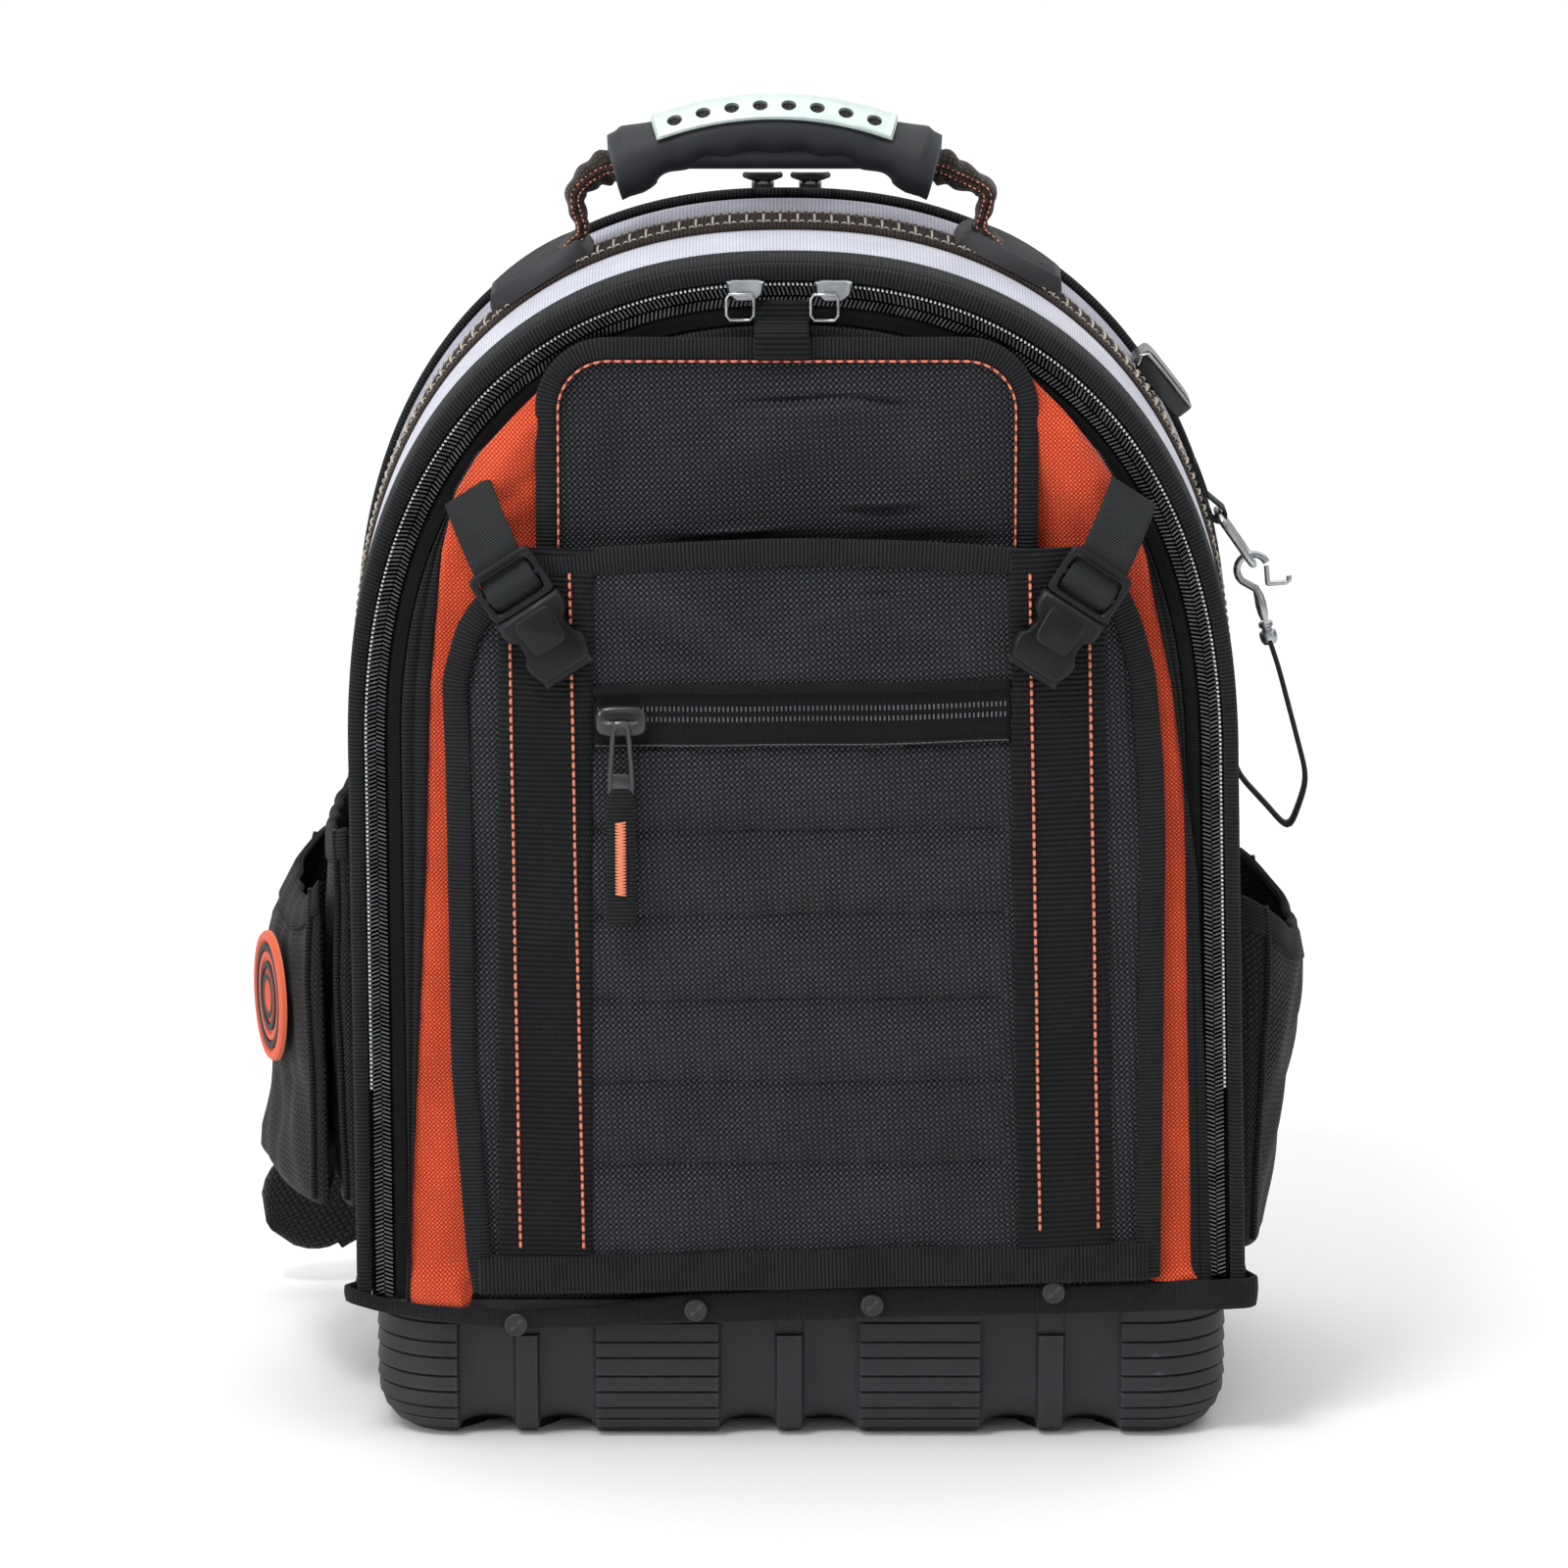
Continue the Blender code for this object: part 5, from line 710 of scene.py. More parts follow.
def tooth_shape(across, along, height):
    """A tooth: a foot block and a narrower rounded crown, three four-cornered rings and a cap."""
    rings = []
    for wide, long, high in ((1.0, 1.0, 0.0), (0.98, 0.96, 0.55), (0.72, 0.55, 1.0)):
        rings.append([(a * wide * across / 2, b * long * along / 2, high * height)
                      for a, b in ((-1, -1), (1, -1), (1, 1), (-1, 1))])
    faces = [[r * 4 + c, r * 4 + (c + 1) % 4, r * 4 + 4 + (c + 1) % 4, r * 4 + 4 + c]
             for r in range(2) for c in range(4)]
    return np.concatenate(rings), faces + [[8, 9, 10, 11], [3, 2, 1, 0]]


TOOTH_PITCH = 0.0021
TOOTH_RUN = 1.235   # length of the arch along the teeth, from foot to foot
DOTS_END = 0.10   # share of the arch, from each foot, that is left without painted highlight dots
tooth_stations = even_stations(int(TOOTH_RUN / TOOTH_PITCH), inset=0.009)
# Black-oxidised brass: dark teeth, each with one small glint.
dark_tooth = metal("black_oxide_brass", "#7A7C7F", "#0A0B0C", 0.26)
TOOTH_ROWS = (  # inset, shift along the row in pitches, width, length, height, finish
    (0.0056, 0.25, 0.0011, 0.0010, 0.0032, tooth_highlight_white), (0.0078, 0.0, 0.0046, 0.0012, 0.0026, dark_tooth),
    (0.0112, 0.5, 0.0046, 0.0012, 0.0026, dark_tooth))
for number, (inset, shift, wide, long, high, finish) in enumerate(TOOTH_ROWS):
    step = tooth_stations[1:-2] * (1 - shift) + tooth_stations[2:-1] * shift
    if finish is tooth_highlight_white:
        step = step[np.abs(step - 0.5) < 0.5 - DOTS_END]
    here = arch(step, inset, -0.1014)
    ahead = unit(arch(step + 1e-4, inset, -0.1014) - arch(step - 1e-4, inset, -0.1014))
    front_way = np.broadcast_to([0.0, -1.0, 0.0], ahead.shape)
    inward = np.cross(ahead, front_way)
    slant = 0.34 if inset > 0.01 else -0.34
    long_way = unit(ahead + slant * inward)
    frames = np.stack([np.cross(long_way, front_way), long_way, front_way], 2)
    row = copies("door_zip_teeth_" + str(number), *tooth_shape(wide, long, high), here, frames, finish)
    rides([row])
belongs(door_tape, "main_zip")


# Door and its orange bellows: a flat door of black nylon, and over it the bright orange side walls of
# the front pocket, which puff out beside the flap and show as two wedges beside the pocket.

FIT = 0.0003   # clearance between parts that touch or turn in each other


def bellows_face(x, z):
    """Depth of the bellows: a dome 1 - share^2.4 across, times 0.35 + 0.65 sin(pi up^0.9)."""
    share = np.clip(np.abs(x - bag_lean(z)) / SPRING_HALF_WIDTH, 0, 1)
    up = np.clip((z - TUB_HEIGHT) / (BODY_TOP - TUB_HEIGHT), 0, 1)
    dome = (1 - share ** 2.4) * (0.35 + 0.65 * np.sin(np.pi * up ** 0.9))
    return -(0.1031 + 0.0055 * dome)


def ridge(x, z, x0, z0, angle, long, wide, height):
    """A fold: height exp(-(a / long)^2 - (b / wide)^2), a and b along and across a line through (x0, z0)."""
    c, s = math.cos(math.radians(angle)), math.sin(math.radians(angle))
    a, b = (x - x0) * c + (z - z0) * s, -(x - x0) * s + (z - z0) * c
    return height * np.exp(-(a / long) ** 2 - (b / wide) ** 2)


def folds(x, z, table):
    """The sum of a table's ridges."""
    return sum(ridge(x, z, *row) for row in table)


ORANGE_FOLDS = (  # x, height, angle, half length, half width, how far it stands out: pulled at the strap ends
    (-0.114, 0.388, 62, 0.034, 0.012, 0.0085), (0.104, 0.386, -60, 0.036, 0.012, 0.0085),
    (-0.120, 0.366, 30, 0.016, 0.004, 0.0022), (-0.106, 0.402, 48, 0.030, 0.004, 0.0018),
    (0.108, 0.392, -72, 0.022, 0.004, 0.0024), (0.096, 0.404, -40, 0.022, 0.004, 0.0018),
    (0.100, 0.398, -55, 0.018, 0.003, -0.0022), (-0.113, 0.378, 40, 0.016, 0.003, -0.0016))


def puff(x, z):
    """How far the orange cloth stands out beside the flap."""
    return folds(x, z, ORANGE_FOLDS) + 0.0005 * np.sin(x * 310 + z * 120) * np.sin(z * 170 - x * 60)


ORANGE_EDGE = np.array([  # height, left and right edge of the bellows' cloth
    (0.0600, -0.1540, 0.1600), (0.1500, -0.1490, 0.1560), (0.2300, -0.1450, 0.1520),
    (0.3040, -0.1425, 0.1420), (0.3570, -0.1375, 0.1310), (0.3800, -0.1320, 0.1220),
    (0.3950, -0.1230, 0.1130), (0.4100, -0.1090, 0.1010), (0.4240, -0.0950, 0.0870),
    (0.4330, -0.0800, 0.0720), (0.4380, -0.0600, 0.0520)])
# Dyed orange polyester, plain weave: thread crowns strong orange as painted highlight, gaps deep red as
# painted shade.
orange_cloth = woven("orange_polyester", "#FF6E44", "#A8260E", 0.0012, 0.00040, rough=0.62, sheen=0.15,
                     glint=0.5, turn=0.72)
up = np.linspace(0.0, 1.0, 132)[:, None]
across = np.linspace(0.0, 1.0, 104)[None, :]
foot_x = ORANGE_EDGE[0, 1] + (ORANGE_EDGE[0, 2] - ORANGE_EDGE[0, 1]) * across
foot_z = np.where(np.abs(foot_x - 0.004) < 0.131, 0.0720,
                  np.interp(foot_x, SKIRT_FRONT[:, 0], SKIRT_FRONT[:, 1]))
z = foot_z + (0.4370 - foot_z) * up
left = np.interp(z, ORANGE_EDGE[:, 0], ORANGE_EDGE[:, 1])
right = np.interp(z, ORANGE_EDGE[:, 0], ORANGE_EDGE[:, 2])
x = left + (right - left) * across
behind_flap = np.clip((0.080 - np.abs(x + 0.0057)) / 0.010, 0, 1) * np.clip((z - 0.330) / 0.010, 0, 1)
at_foot = np.clip((0.0740 - z) / 0.008, 0, 1) * np.clip((np.abs(x - 0.003) - 0.132) / 0.004, 0, 1)
at_foot *= np.clip((0.1560 - np.abs(x - 0.0015)) / 0.004, 0, 1)
orange_grid = np.stack([x, bellows_face(x, z) - puff(x, z) + 0.0045 * behind_flap - 0.0046 * at_foot, z], 2)
orange = surface("orange_bellows_cloth", orange_grid, orange_cloth, thick=0.0012, uv=np.stack([x, z], 2))
belongs(orange, "orange_bellows")

# The door: the same black nylon, sewn to the zip's inner tape.
ring = arch(even_stations(260), 0.0043, -0.0997)
ring = np.concatenate([ring, np.linspace(ring[-1], ring[0], 62)[1:-1]])
shares = np.concatenate([[0.0], np.geomspace(0.03, 1.0, 16)])
middle = np.array([bag_lean(0.25), -0.0997, 0.24])
door_grid = middle + (ring[None, :, :] - middle) * shares[:, None, None]
door_grid[0] = middle + (ring - middle) * 0.001
door_uv = np.concatenate([door_grid, door_grid[:, :1]], 1)[:, :, [0, 2]]
door = surface("door_cloth", door_grid, body_nylon, wrap_columns=True, thick=0.0024, uv=door_uv)
belongs(door, "door_panel")

# Grosgrain facing of the door's edge: it covers the bellows' outer seam between zip and orange cloth.
stations = even_stations(320)
outer_line = arch(stations, 0.0192, -0.1012)
outer_z = outer_line[:, 2]
inner_x = np.where(stations < 0.5, np.interp(outer_z, ORANGE_EDGE[:, 0], ORANGE_EDGE[:, 1]),
                   np.interp(outer_z, ORANGE_EDGE[:, 0], ORANGE_EDGE[:, 2]))
crown_share = np.clip((outer_z - 0.395) / 0.03, 0, 1)
inner_arch = arch(stations, 0.0330, -0.1012)
inner_x = inner_x * (1 - crown_share) + inner_arch[:, 0] * crown_share
inner_z = outer_z * (1 - crown_share) + inner_arch[:, 2] * crown_share
cross = np.array([0.0, 0.06, 0.16, 0.30, 0.40, 0.46, 0.54, 0.66, 0.86, 0.97, 1.0])
lift = np.array([0.0, 0.0014, 0.0021, 0.0019, 0.0010, 0.0004, 0.0012, 0.0021, 0.0023, 0.0014, 0.0002])
x = outer_line[:, None, 0] + (inner_x - outer_line[:, 0])[:, None] * cross
z = outer_z[:, None] + (inner_z - outer_z)[:, None] * cross
depth = np.minimum(-0.1016, bellows_face(x, z) + 0.0004) - lift
facing_grid = np.stack([x, depth, z], 2)
facing = surface("door_edge_facing", facing_grid, black_grosgrain, thick=0.0007, sharp=70)
rides([facing])


# Upper flap: a padded nylon tongue with a grosgrain binding, held by one row of orange lockstitch.

def sag(x, z):
    """Slow unevenness of the stuffed front: two crossed sines and a slanted one."""
    return 0.0007 * np.sin(x * 42 + 0.7) * np.sin(z * 47 + 0.4) + 0.0004 * np.sin(x * 95 - z * 70)


FLAP_LEFT, FLAP_RIGHT, FLAP_TOP, FLAP_FOOT = -0.1009, 0.0895, 0.4390, 0.3330
FLAP_MIDDLE, FLAP_HALF = -0.0057, 0.0952


def flap_skin(x, z):
    """Depth of the flap's face where it lies flat, 5 mm in front of the bellows."""
    return bellows_face(x, z) - FIT - 0.0050


FLAP_FOLDS = (  # x, height, angle, half length, half width, how far it stands out
    (-0.026, 0.3655, 3, 0.016, 0.0018, 0.0020), (-0.022, 0.3605, 0, 0.034, 0.0040, -0.0034),
    (0.030, 0.3765, 2, 0.012, 0.0014, 0.0016), (0.030, 0.3735, 2, 0.013, 0.0016, -0.0018),
    (-0.002, 0.4165, 3, 0.019, 0.0015, -0.0026), (0.028, 0.4160, -6, 0.012, 0.0014, -0.0020),
    (0.004, 0.4135, 2, 0.032, 0.0060, 0.0020), (-0.012, 0.3990, 24, 0.040, 0.0100, 0.0016),
    (0.038, 0.3950, -28, 0.034, 0.0100, 0.0014), (0.010, 0.3860, 0, 0.030, 0.0090, -0.0012),
    (0.050, 0.3605, 0, 0.030, 0.0040, -0.0030), (-0.070, 0.395, 82, 0.030, 0.0060, -0.0012))


def flap_folds(x, z):
    """Padding of 1 - share^4, slow unevenness, and sharp creases above the pocket, all 1.9 times."""
    padding = 0.0010 * (1 - np.clip(np.abs(x - FLAP_MIDDLE) / FLAP_HALF, 0, 1) ** 4)
    return 1.9 * (padding + sag(x, z) + folds(x, z, FLAP_FOLDS))


def rounded_line(left, right, top, bottom, radius, steps=16):
    """Up the left side, round both top corners and down the right side, as (x, z) points."""
    turn = np.linspace(0, math.pi / 2, steps)
    side_z = np.linspace(bottom, top - radius, 40)
    left_side = np.column_stack([np.full(40, left), side_z])
    left_turn = np.column_stack([left + radius * (1 - np.cos(turn)),
                                 top - radius + radius * np.sin(turn)])[1:]
    top_x = np.linspace(left + radius, right - radius, 60)[1:]
    top_line = np.column_stack([top_x, np.full(59, top)])
    right_turn = np.column_stack([right - radius + radius * np.sin(turn),
                                  top - radius + radius * np.cos(turn)])[1:]
    return np.concatenate([left_side, left_turn, top_line, right_turn,
                           left_side[:-1][::-1] * (0, 1) + (right, 0)])


def even_line(line, step, closed=False):
    """A polyline taken again at even steps."""
    line = np.asarray(line, float)
    if closed:
        line = np.concatenate([line, line[:1]])
    gone = distances_along(line)
    count = max(3, int(round(gone[-1] / step)) + 1)
    places = np.linspace(0.0, gone[-1], count)[:-1] if closed else np.linspace(0.0, gone[-1], count)
    return np.stack([np.interp(places, gone, line[:, k]) for k in range(line.shape[1])], 1)


def eased(line, times):
    """The line with its inner points drawn to the mean of their neighbours, several times over."""
    for _ in range(times):
        line[1:-1] = (line[:-2] + 2 * line[1:-1] + line[2:]) / 4
    return line


def line_ways(line):
    """Unit directions along a line of (x, z) points, and the unit ways to their right."""
    way = unit(np.gradient(line, axis=0))
    return way, np.stack([way[:, 1], -way[:, 0]], 1)


def laid_strip(name, line, offsets, lifts, skin, material, thick=0.0005, sharp=60):
    """A tape on a soft face: at each point of the line, offsets to its right and lifts off the skin."""
    _, right_way = line_ways(line)
    offsets, lifts = np.asarray(offsets, float), np.asarray(lifts, float)
    spread = line[:, None, :] + right_way[:, None, :] * offsets[None, :, None]
    depth = skin(spread[:, :, 0], spread[:, :, 1]) - lifts[None, :]
    grid = np.stack([spread[:, :, 0], depth, spread[:, :, 1]], 2)
    return surface(name, grid, material, thick=thick, sharp=sharp)


def sewn(name, lines, skin, pitch, shape, material, lift=0.0):
    """A row of stitches along each line of (x, z) points, lying in the skin's own slope."""
    origins, frames = [], []
    for line in lines:
        spots = even_line(line, pitch)
        way, _ = line_ways(spots)
        x, z = spots[:, 0], spots[:, 1]
        e = 5e-4
        slope_x = (skin(x + e, z) - skin(x - e, z)) / (2 * e)
        slope_z = (skin(x, z + e) - skin(x, z - e)) / (2 * e)
        out = unit(np.stack([slope_x, -np.ones(len(x)), slope_z], 1))
        along = unit(np.stack([way[:, 0], slope_x * way[:, 0] + slope_z * way[:, 1], way[:, 1]], 1))
        origins.append(np.stack([x, skin(x, z), z], 1) + out * lift)
        frames.append(np.stack([along, np.cross(out, along), out], 2))
    return copies(name, *shape, np.concatenate(origins), np.concatenate(frames), material)


# Bonded orange thread, pale where it lies on top; a dark red copy of it, laid where it dives into the tape,
# is painted shade.
peach_thread = spun("orange_thread", "#F7A07A", "#D9683F", rough=0.5)
shaded_sunk_thread = spun("shaded_sunk_orange_thread", "#8E2E16", "#5C1B0E")
height = np.linspace(0.0, 1.0, 100)[:, None]
across = np.linspace(0.0, 1.0, 106)[None, :]
z = FLAP_FOOT + (FLAP_TOP - 0.0006 - FLAP_FOOT) * height
over = np.clip((z - (FLAP_TOP - 0.027)) / 0.027, 0, 1)
inset = 0.0006 + 0.0266 * (1 - np.sqrt(1 - over ** 2))
x = (FLAP_LEFT + inset) + (FLAP_RIGHT - FLAP_LEFT - 2 * inset) * across
z = np.broadcast_to(z, x.shape)
rim_share = np.clip(np.minimum(np.minimum(x - FLAP_LEFT, FLAP_RIGHT - x), FLAP_TOP - z) / 0.012 - 0.75, 0, 1)
flap_y = flap_skin(x, z) - flap_folds(x, z) * rim_share
flap_grid = np.stack([x, flap_y, z], 2)
flap = surface("flap_cloth", flap_grid, body_nylon, thick=0.0040, uv=flap_grid[:, :, [0, 2]])
belongs(flap, "upper_flap")
flap_line = even_line(rounded_line(FLAP_LEFT, FLAP_RIGHT, FLAP_TOP, FLAP_FOOT, 0.027), 0.002)
HEM_OFFSETS = (0.0004, -0.0006, -0.0004, 0.0010, 0.0035, 0.0062, 0.0080, 0.0087)
HEM_LIFTS = (-0.0030, -0.0016, 0.0006, 0.0017, 0.0021, 0.0019, 0.0012, -0.0004)
flap_hem = laid_strip("flap_hem", flap_line, HEM_OFFSETS, HEM_LIFTS, flap_skin, black_grosgrain)
belongs(flap_hem, "flap_binding")
sewing_line = even_line(rounded_line(FLAP_LEFT + 0.0082, FLAP_RIGHT - 0.0082, FLAP_TOP - 0.0082, FLAP_FOOT,
                                     0.019), 0.002)
flap_dashes = sewn("flap_stitches", [sewing_line], flap_skin, 0.0040, stitch_shape(0.0027, 0.0009, 0.0007),
                   peach_thread, lift=0.0019)
# Painted shade: a dark red line of thread under the orange stitches.
flap_shaded_sunk = sewn("flap_shaded_sunk_thread", [sewing_line], flap_skin, 0.0020, stitch_shape(0.0021, 0.0010, 0.0004),
                 shaded_sunk_thread, lift=0.0016)
rides([flap_dashes, flap_shaded_sunk])


# Webbing tab at the door's crown: a folded piece of ribbed webbing sewn over the flap's upper edge.

tab_route = np.array([(-0.1036, 0.4530), (-0.1050, 0.4500), (-0.1062, 0.4468), (-0.1100, 0.4440),
                      (-0.1148, 0.4422), (-0.1158, 0.4390), (-0.1159, 0.4340), (-0.1158, 0.4322)])
tab_line = even_line(tab_route, 0.0007)
tab_x = -0.0077 + 0.0105 * np.array([-1.0, -0.97, -0.85, -0.4, 0.0, 0.4, 0.85, 0.97, 1.0])
edge_turn = 0.0005 * np.array([-1.6, 0.0, 1.0, 1.2, 1.2, 1.2, 1.0, 0.0, -1.6])
tab_grid = np.stack(np.broadcast_arrays(tab_x[None, :], tab_line[:, None, 0] - edge_turn[None, :],
                                        tab_line[:, None, 1]), 2)
# Heavy polypropylene webbing: cross ribs 2 mm apart, the furrows between them painted deep black as shade.
heavy_webbing = ribbed("ribbed_webbing", "#27292B", "#020202", 0.0021, 0.00100, fine=0.0012, mottle=0.12)
tab = surface("crown_tab", tab_grid, heavy_webbing, thick=0.0022)
belongs(tab, "door_tab")


# Front pocket: a big padded nylon panel, quilted in six rolls under its zip and bound with grosgrain.
# It is stuffed softly, so its plain field above the zip is pulled into creases by the straps.

POCKET_EDGE = np.array([  # height, left and right edge
    (0.0600, -0.1270, 0.1392), (0.0790, -0.1300, 0.1394), (0.1540, -0.1350, 0.1395),
    (0.2430, -0.1358, 0.1395), (0.2700, -0.1360, 0.1385), (0.3080, -0.1372, 0.1352),
    (0.3300, -0.1310, 0.1295), (0.3460, -0.1195, 0.1225), (0.3545, -0.1100, 0.1130),
    (0.3580, -0.1060, 0.1090)])
SEAM_HEIGHTS = (0.2510, 0.2176, 0.1836, 0.1506, 0.1174)


def pocket_skin(x, z):
    """Depth of the pocket's face before its quilting: it stands off most where it is high and central."""
    up = np.clip((z - 0.072) / 0.288, 0, 1.05)
    share = np.clip(np.abs(x) / 0.1418, 0, 1)
    stand = (1 - share ** 4) * (0.10 + 0.90 * up ** 0.7)
    return bellows_face(x, z) - 0.0031 - 0.0135 * stand


def quilting(x, z):
    """Rolls between the seams: |sin|^0.32, pinched to nothing at each seam, puckered beside it."""
    level = z - 0.010 * x
    knots = np.array([0.0790] + sorted(SEAM_HEIGHTS) + [0.2840])
    place = np.interp(level, knots, np.arange(len(knots)))
    roll = np.abs(np.sin(np.pi * place)) ** 0.32
    inside = (level > 0.079) & (level < 0.284)
    near = np.exp(-((place - np.round(place)) / 0.16) ** 2)
    pucker = near * (0.00035 * np.sin(x * 480 + 9 * np.round(place)) + 0.0002 * np.sin(x * 211 + place * 3))
    between = np.clip((0.0815 - np.abs(x + 0.0005)) / 0.004, 0, 1) * inside
    return 0.0014 + between * (0.0046 * roll - 0.0024 + 1.4 * pucker)


POCKET_FOLDS = (  # x, height, angle, half length, half width, how far it stands out
    (-0.040, 0.3350, -24, 0.030, 0.0070, 0.0024), (-0.050, 0.3240, -20, 0.026, 0.005, -0.0020),
    (0.020, 0.3400, 20, 0.026, 0.0070, 0.0022), (0.050, 0.3300, -30, 0.024, 0.006, 0.0020),
    (0.028, 0.3440, 0, 0.009, 0.0012, -0.0014), (0.036, 0.3200, 10, 0.026, 0.005, -0.0016),
    (0.0, 0.3150, 0, 0.060, 0.006, 0.0016), (-0.128, 0.300, 80, 0.030, 0.004, -0.0016),
    (0.128, 0.290, -84, 0.040, 0.004, -0.0014), (0.127, 0.190, 88, 0.050, 0.004, 0.0012),
    (-0.126, 0.170, 86, 0.050, 0.0045, -0.0010))


def pocket_folds(x, z):
    """Slow unevenness and the table's creases, both a little stronger than they were measured."""
    return 1.4 * (1.3 * sag(x, z) + folds(x, z, POCKET_FOLDS))


def pocket_front(x, z):
    """Depth of the pocket's face with its quilting and its folds."""
    return pocket_skin(x, z) - quilting(x, z) - pocket_folds(x, z)


def pocket_seat(x, z):
    """Where tapes lie on the pocket: over its folds, but not into its quilting."""
    return pocket_skin(x, z) - pocket_folds(x, z) - 0.0013


def pocket_rim(x, z):
    """Where the bindings lie: the folds reach the rim at about half their height."""
    return pocket_skin(x, z) - 0.55 * pocket_folds(x, z) - 0.0013


up = np.linspace(0.0, 1.0, 222)[:, None]
across = np.linspace(0.0, 1.0, 128)[None, :]
low = 0.0640 + 0.0060 * across
level = 0.0640 + 0.2930 * up
x = np.interp(level, POCKET_EDGE[:, 0], POCKET_EDGE[:, 1]) * (1 - across)
x = x + np.interp(level, POCKET_EDGE[:, 0], POCKET_EDGE[:, 2]) * across
crown = 0.3568 + 0.0070 * (1 - (2 * across - 1) ** 2)
z = low + (crown - low) * up
rim_share = np.clip(np.minimum(np.minimum(across, 1 - across) * 0.26, np.minimum(up, 1 - up) * 0.29) / 0.010,
                    0, 1)
depth = pocket_skin(x, z) - (quilting(x, z) + pocket_folds(x, z)) * rim_share ** 0.5
pocket_grid = np.stack([x, depth, z], 2)
pocket = surface("pocket_cloth", pocket_grid, body_nylon, thick=0.0022, uv=pocket_grid[:, :, [0, 2]])
belongs(pocket, "pocket_panel")

side_rows = np.arange(0, 222, 2)
left_edge = pocket_grid[side_rows, 0][:, [0, 2]]
right_edge = pocket_grid[side_rows[::-1], -1][:, [0, 2]]
top_edge = pocket_grid[-1, 1:-1:2][:, [0, 2]]
bottom_edge = pocket_grid[0, 1:-1:2][::-1][:, [0, 2]]
pocket_line = eased(even_line(np.concatenate([left_edge, top_edge, right_edge]), 0.0025), 3)
pocket_hem = laid_strip("pocket_binding_tape", pocket_line,
                        (0.0004, -0.0007, -0.0005, 0.0010, 0.0040, 0.0072, 0.0088, 0.0094),
                        (-0.0030, -0.0016, 0.0010, 0.0024, 0.0027, 0.0026, 0.0020, 0.0002), pocket_rim,
                        black_grosgrain)
belongs(pocket_hem, "pocket_binding")
foot_line = even_line(bottom_edge[::-1], 0.003)
foot_hem = laid_strip("pocket_foot_tape", foot_line,
                      (0.0010, 0.0014, 0.0004, -0.0012, -0.0060, -0.0110, -0.0140, -0.0150),
                      (-0.0020, 0.0002, 0.0030, 0.0037, 0.0038, 0.0038, 0.0034, 0.0002), pocket_rim,
                      black_grosgrain)
# Bonded black thread: only its raised edges catch light.
black_thread = spun("black_thread", "#1A1B1D", "#050506")
# Partly painted shade: the black seam thread is laid as one wide unbroken line that darkens the quilting
# valleys.
seam_thread_and_shade = sewn("pocket_seam_thread_and_shade",
                 [np.array([(-0.0790, h - 0.0008), (0.0790, h + 0.0008)]) for h in SEAM_HEIGHTS],
                 pocket_front, 0.0028, stitch_shape(0.0031, 0.0013, 0.0004), black_thread, lift=0.0002)
rides([foot_hem, seam_thread_and_shade])

# Two webbings run up the pocket, each held by two rows of heavy orange lockstitch in a recessed line, with
# painted shade in dark red thread under them.
webbing_stitches = []
for label, foot, head, inner, outer in (
        ("left", (-0.0997, 0.0668), (-0.0973, 0.3608), ((-0.0846, 0.084), (-0.0882, 0.350)),
         ((-0.1092, 0.084), (-0.1113, 0.350))),
        ("right", (0.1030, 0.0710), (0.0967, 0.3612), ((0.0925, 0.092), (0.0865, 0.350)),
         ((0.1152, 0.092), (0.1089, 0.350)))):
    line = even_line([foot, head], 0.0016)
    offsets = 0.0182 * np.array([-1, -1.01, -0.96, -0.86, -0.6, -0.3, 0, 0.3, 0.6, 0.86, 0.96, 1.01, 1])
    lifts = np.array([-0.0010, 0.0006, 0.0018, 0.0023, 0.0024, 0.0024, 0.0024, 0.0024, 0.0024, 0.0023,
                      0.0018, 0.0006, -0.0010])
    webbing = laid_strip("pocket_webbing_" + label + "_tape", line, offsets, lifts, pocket_seat,
                         heavy_webbing)
    belongs(webbing, "pocket_webbing_" + label)
    webbing_stitches += [np.array(inner), np.array(outer)]


def webbing_face(x, z):
    """The outer face of a webbing that lies on the pocket."""
    return pocket_seat(x, z) - 0.0024


peach = sewn("webbing_stitches", webbing_stitches, webbing_face, 0.0035, stitch_shape(0.0026, 0.0011, 0.0009),
             peach_thread, lift=0.0001)
# Painted shade: a dark red line of thread under the orange stitches.
shaded_sunk = sewn("webbing_shaded_sunk_thread", webbing_stitches, webbing_face, 0.0035,
            stitch_shape(0.0036, 0.0013, 0.0005), shaded_sunk_thread, lift=-0.0001)
rides([peach, shaded_sunk])


# Pocket zip: nylon coil between two woven tapes, under a welt; a lacquered slider with a framed pull,
# and a tape tail that carries a zigzag bar of orange thread.

zip_line = even_line([(-0.0796, 0.2962), (0.0796, 0.2986)], 0.002)
pocket_zip = laid_strip("pocket_zip_tape", zip_line,
                        (-0.0115, -0.0112, -0.0100, -0.0086, -0.0076, -0.0074, -0.0048, -0.0036, -0.0010,
                         0.0006, 0.0034, 0.0046, 0.0060, 0.0112, 0.0124, 0.0127),
                        (0.0000, 0.0016, 0.0026, 0.0026, 0.0018, 0.0006, 0.0006, 0.0012, 0.0016, 0.0016,
                         0.0012, 0.0006, 0.0006, 0.0008, 0.0018, 0.0000), pocket_seat, zip_cloth, sharp=35)
belongs(pocket_zip, "pocket_zip")
# Nylon monofilament coil: smooth, mid grey where it turns over the tape.
coil_nylon = moulded("pale_coil_nylon", "#7C8084", "#4C5054", 0.0004, 0.45, 0.00005)


def zip_front(x, z):
    """The face of the pocket zip's tape."""
    return pocket_seat(x, z) - 0.0014


